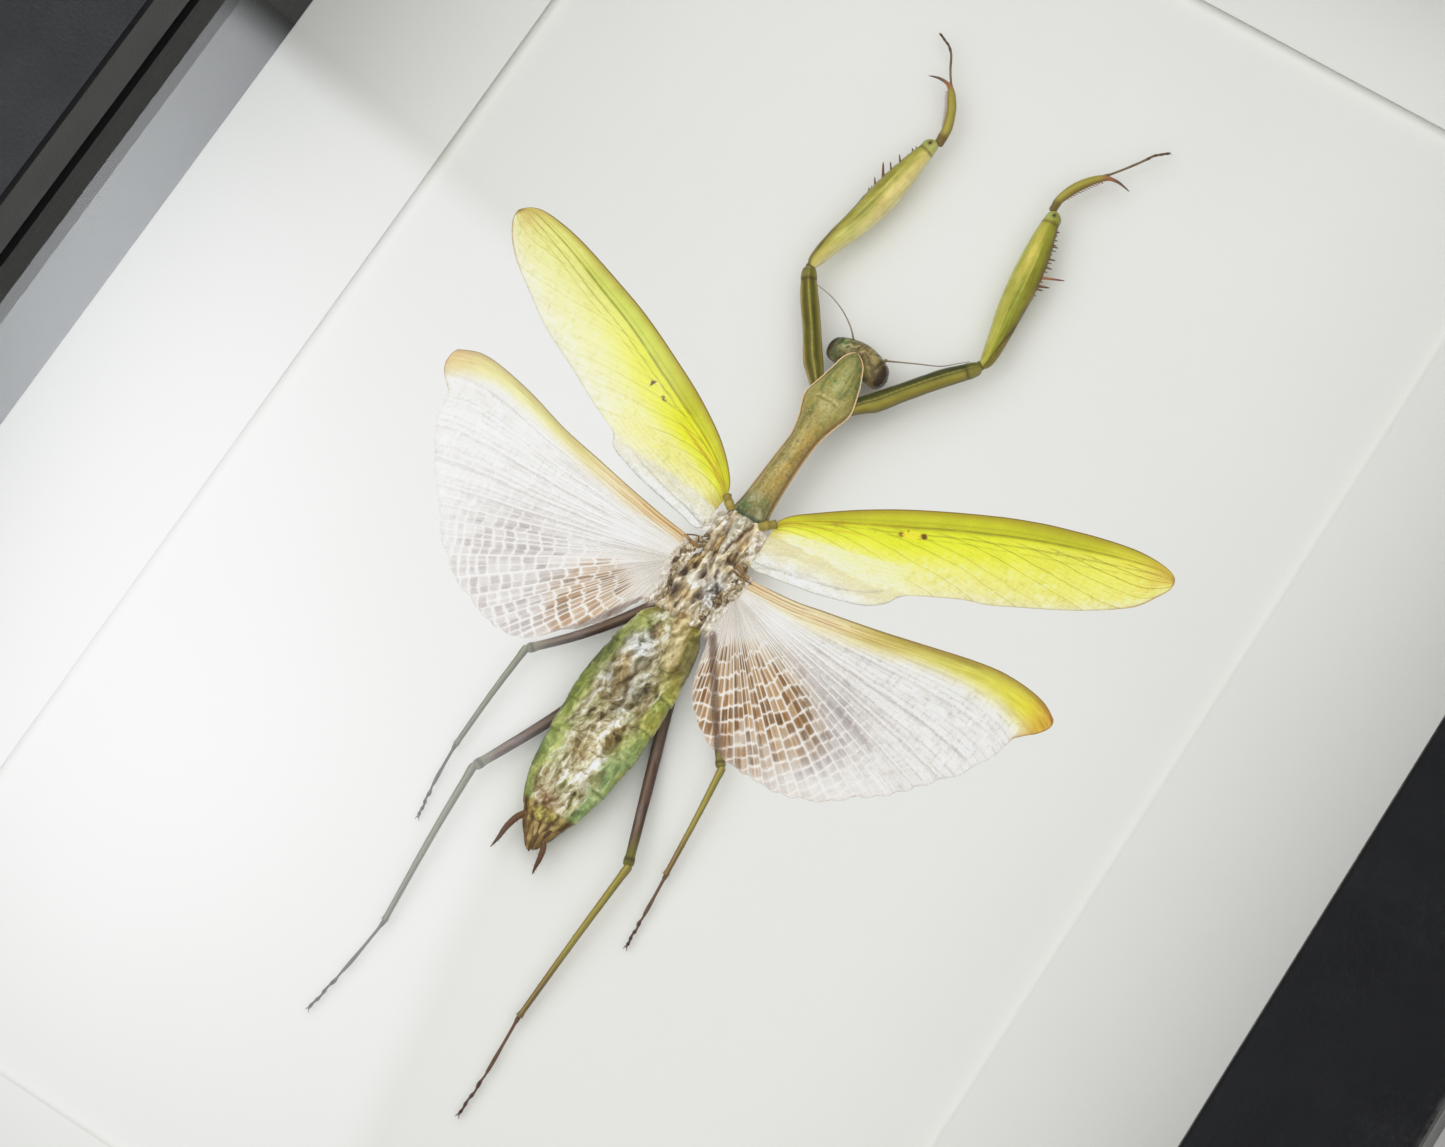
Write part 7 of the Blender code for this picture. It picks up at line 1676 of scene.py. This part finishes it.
    # the narrow plates of the rear end
    k = np.linspace(0, 1, 15)[:, None]
    for a, b, r0, tint in (((-1.8, -42.6, 3.5), (0.2, -46.3, 3.0), 0.50, (118, 94, 48)), ((-0.7, -42.9, 3.8), (0.5, -46.6, 3.1), 0.38, (160, 140, 82)),
                           ((0.5, -43.0, 3.8), (0.8, -46.7, 3.1), 0.36, (92, 70, 38)), ((1.5, -42.8, 3.7), (1.1, -46.3, 3.0), 0.40, (152, 130, 76)),
                           ((2.9, -41.8, 3.4), (1.5, -45.5, 3.0), 0.46, (124, 100, 52)), ((-2.9, -41.4, 3.3), (-1.0, -44.9, 3.0), 0.46, (96, 74, 38)),
                           ((-0.1, -42.6, 4.0), (0.6, -45.2, 3.6), 0.24, (176, 160, 104)), ((2.2, -42.4, 3.8), (1.4, -44.9, 3.4), 0.24, (84, 62, 34))):
        a, b = np.array(a), np.array(b)
        line = a + (b - a) * k + np.array([0, 0, 0.3]) * np.sin(np.pi * k)
        shade_ = blend(tone(*tint) + 0 * k, (78, 50, 20), 0.7 * noise(k[:, 0] * 5, abs(a[0]) * 3, seed=227)) + 22 * (noise(k * 8, a[0], seed=228) - 0.5)
        skin.tube(line + [0, 0, FLOOR], r0 * np.sin(np.pi * (0.22 + 0.70 * k[:, 0])) ** 0.7, shade_, sides=18, gloss=0.7, flat=0.6)
    skin.make("abdomen", ABDOMEN, 1.22)


abdomen()

# ---- floor and light ----------------------------------------------------------------------------------------------
bm = bmesh.new()
bmesh.ops.create_grid(bm, x_segments=8, y_segments=8, size=3.0)
floor_mesh = bpy.data.meshes.new("floor")
bm.to_mesh(floor_mesh)
bm.free()
floor = bpy.data.objects.new("floor", floor_mesh)
scene.collection.objects.link(floor)
floor_mat = Mat("pale_floor", Roughness=0.9)
fp = floor_mat.coords()
floor_mat.set(Base_Color=floor_mat.mix(floor_mat.noise(fp, 0.01, 4, 0.6), (0.60, 0.59, 0.57), (0.66, 0.65, 0.63)))
floor_mesh.materials.append(floor_mat.m)
floor.location.z = -0.0001

# A bright window stands in the glass as a soft veil over the left of the picture. Its corner and its two visible edges
# are given as points of the picture; each is mirrored in the pane's front and carried to a card above.
CARD_Z = 1700.0
PANE_MIRROR = 0.083  # what both faces of the pane throw back together


def mirrored(px, py):
    d = CAM_X * ((px - 722.5) / FOCAL_PX) + CAM_DOWN * ((py - 573.5) / FOCAL_PX) + CAM_VIEW
    start = Vector((CAMERA.x, CAMERA.y, 2 * GLASS_FRONT - CAMERA.z))
    d = Vector((d.x, d.y, -d.z))
    return start + d * ((CARD_Z - start.z) / d.z)


corner = mirrored(683, 378)
along_top = (mirrored(262, 30) - corner).normalized()
along_right = (mirrored(358, 1140) - corner).normalized()
px_mm = (mirrored(722, 573) - mirrored(700, 573)).length / 22
SOFT = 30 * px_mm  # half the width of the veil's soft edge
reach_top, reach_right = 1250 * px_mm, 1350 * px_mm
verts = [corner - along_top * SOFT - along_right * SOFT, corner + along_top * reach_top - along_right * SOFT,
         corner + along_top * reach_top + along_right * reach_right, corner - along_top * SOFT + along_right * reach_right]
card_mesh = bpy.data.meshes.new("window_card")
card_mesh.from_pydata([v * M for v in verts], [], [(0, 1, 2, 3)])
uv = card_mesh.uv_layers.new(name="UVMap")
for loop, (u, v) in zip(uv.data, [(-SOFT, -SOFT), (reach_top, -SOFT), (reach_top, reach_right), (-SOFT, reach_right)]):
    loop.uv = (u, v)
card = bpy.data.objects.new("window_card", card_mesh)
scene.collection.objects.link(card)
glow = Mat("window_glow", Base_Color=(0, 0, 0, 1), Roughness=1.0, Specular_IOR_Level=0.0)
uvc = glow.node("ShaderNodeTexCoord", out=2)
fade = glow.math("MULTIPLY", glow.map(glow.axis(uvc, "X"), -SOFT, SOFT, 0, 1, True), glow.map(glow.axis(uvc, "Y"), -SOFT, SOFT, 0, 1, True))
# brightest at the picture's left, falling off to the right and below
hot = mirrored(120, 680)
step_x, step_y = mirrored(120 + 260, 680) - hot, mirrored(120, 680 + 300) - hot
solve = Matrix(((step_x.x, step_y.x), (step_x.y, step_y.y))).inverted()
from_hot = glow.vec("SUBTRACT", glow.coords(), tuple(hot))
gx = glow.vec("DOT_PRODUCT", from_hot, (solve[0][0], solve[0][1], 0), out=1)
gy = glow.vec("DOT_PRODUCT", from_hot, (solve[1][0], solve[1][1], 0), out=1)
gy = glow.math("ADD", glow.math("MAXIMUM", gy, 0.0), glow.math("MULTIPLY", glow.math("MINIMUM", gy, 0.0), 0.33))
fall = glow.math("EXPONENT", glow.math("MULTIPLY", glow.math("ADD", glow.math("MULTIPLY", gx, gx), glow.math("MULTIPLY", gy, gy)), -1.0))
veil = glow.math("ADD", glow.math("MULTIPLY", fall, 0.45), 0.10)
glow.set(Emission_Color=(0.93, 0.965, 1.0), Emission_Strength=glow.math("MULTIPLY", glow.math("MULTIPLY", fade, veil), 1 / PANE_MIRROR))
card_mesh.materials.append(glow.m)
card.visible_camera = card.visible_diffuse = card.visible_shadow = card.visible_volume_scatter = False


def area(name, azimuth, elevation, size, share, colour, glossy=False, away=2.0):
    """A rectangular lamp in a direction, in degrees; share is its part of the light on the white mat."""
    az, el = math.radians(azimuth), math.radians(elevation)
    place = Vector((math.cos(el) * math.cos(az), math.cos(el) * math.sin(az), math.sin(el))) * away
    data = bpy.data.lights.new(name, "AREA")
    data.shape = "RECTANGLE"
    data.size, data.size_y = size
    data.energy = share * 0.803 / 0.8 * math.pi ** 2 * away ** 2 / math.sin(el)
    data.color = colour
    obj = bpy.data.objects.new(name, data)
    scene.collection.objects.link(obj)
    obj.location = place
    obj.rotation_euler = (-place).to_track_quat("-Z", "Y").to_euler()
    obj.visible_glossy = obj.visible_transmission = glossy
    return obj


# The window from the picture's upper left, a pale wall from the right, and the room behind the camera.
area("window_light", 155, 60, (2.8, 2.2), 0.40, (0.99, 0.995, 1.0))
area("wall_light", -5, 65, (2.3, 1.9), 0.32, (1.0, 1.0, 0.995))
area("room_light", -105, 52, (2.0, 1.8), 0.17, (1.0, 0.995, 0.985))

world = bpy.data.worlds.new("room")
scene.world = world
world.use_nodes = True
wt = world.node_tree
background = wt.nodes["Background"]
background.inputs[0].default_value = (0.99, 0.995, 1.0, 1)
path = wt.nodes.new("ShaderNodeLightPath")
dim = wt.nodes.new("ShaderNodeMapRange")
wt.links.new(path.outputs["Is Glossy Ray"], dim.inputs[0])
dim.inputs[3].default_value = 0.52
dim.inputs[4].default_value = 0.14
wt.links.new(dim.outputs[0], background.inputs[1])

# ---- picture tone: straight to 0.7, then a soft shoulder, as a camera gives bright white --------------------------------
view = scene.view_settings
view.view_transform = "Standard"
view.look = "None"
view.use_curve_mapping = True
curve = view.curve_mapping
WHITE, KNEE = 2.4, 0.7
curve.use_clip = False
curve.white_level = (WHITE, WHITE, WHITE)
line = curve.curves[3]
stops = [0, 0.2, 0.4, 0.6, 0.7, 0.75, 0.8, 0.88, 0.96, 1.06, 1.2, 1.4, 1.7, 2.0, 2.4]
while len(line.points) < len(stops):
    line.points.new(0.5, 0.5)
for point, x in zip(line.points, stops):
    point.location = (x / WHITE, x if x < KNEE else KNEE + (1 - KNEE) * (1 - math.exp(-(x - KNEE) / (1 - KNEE))))
curve.update()
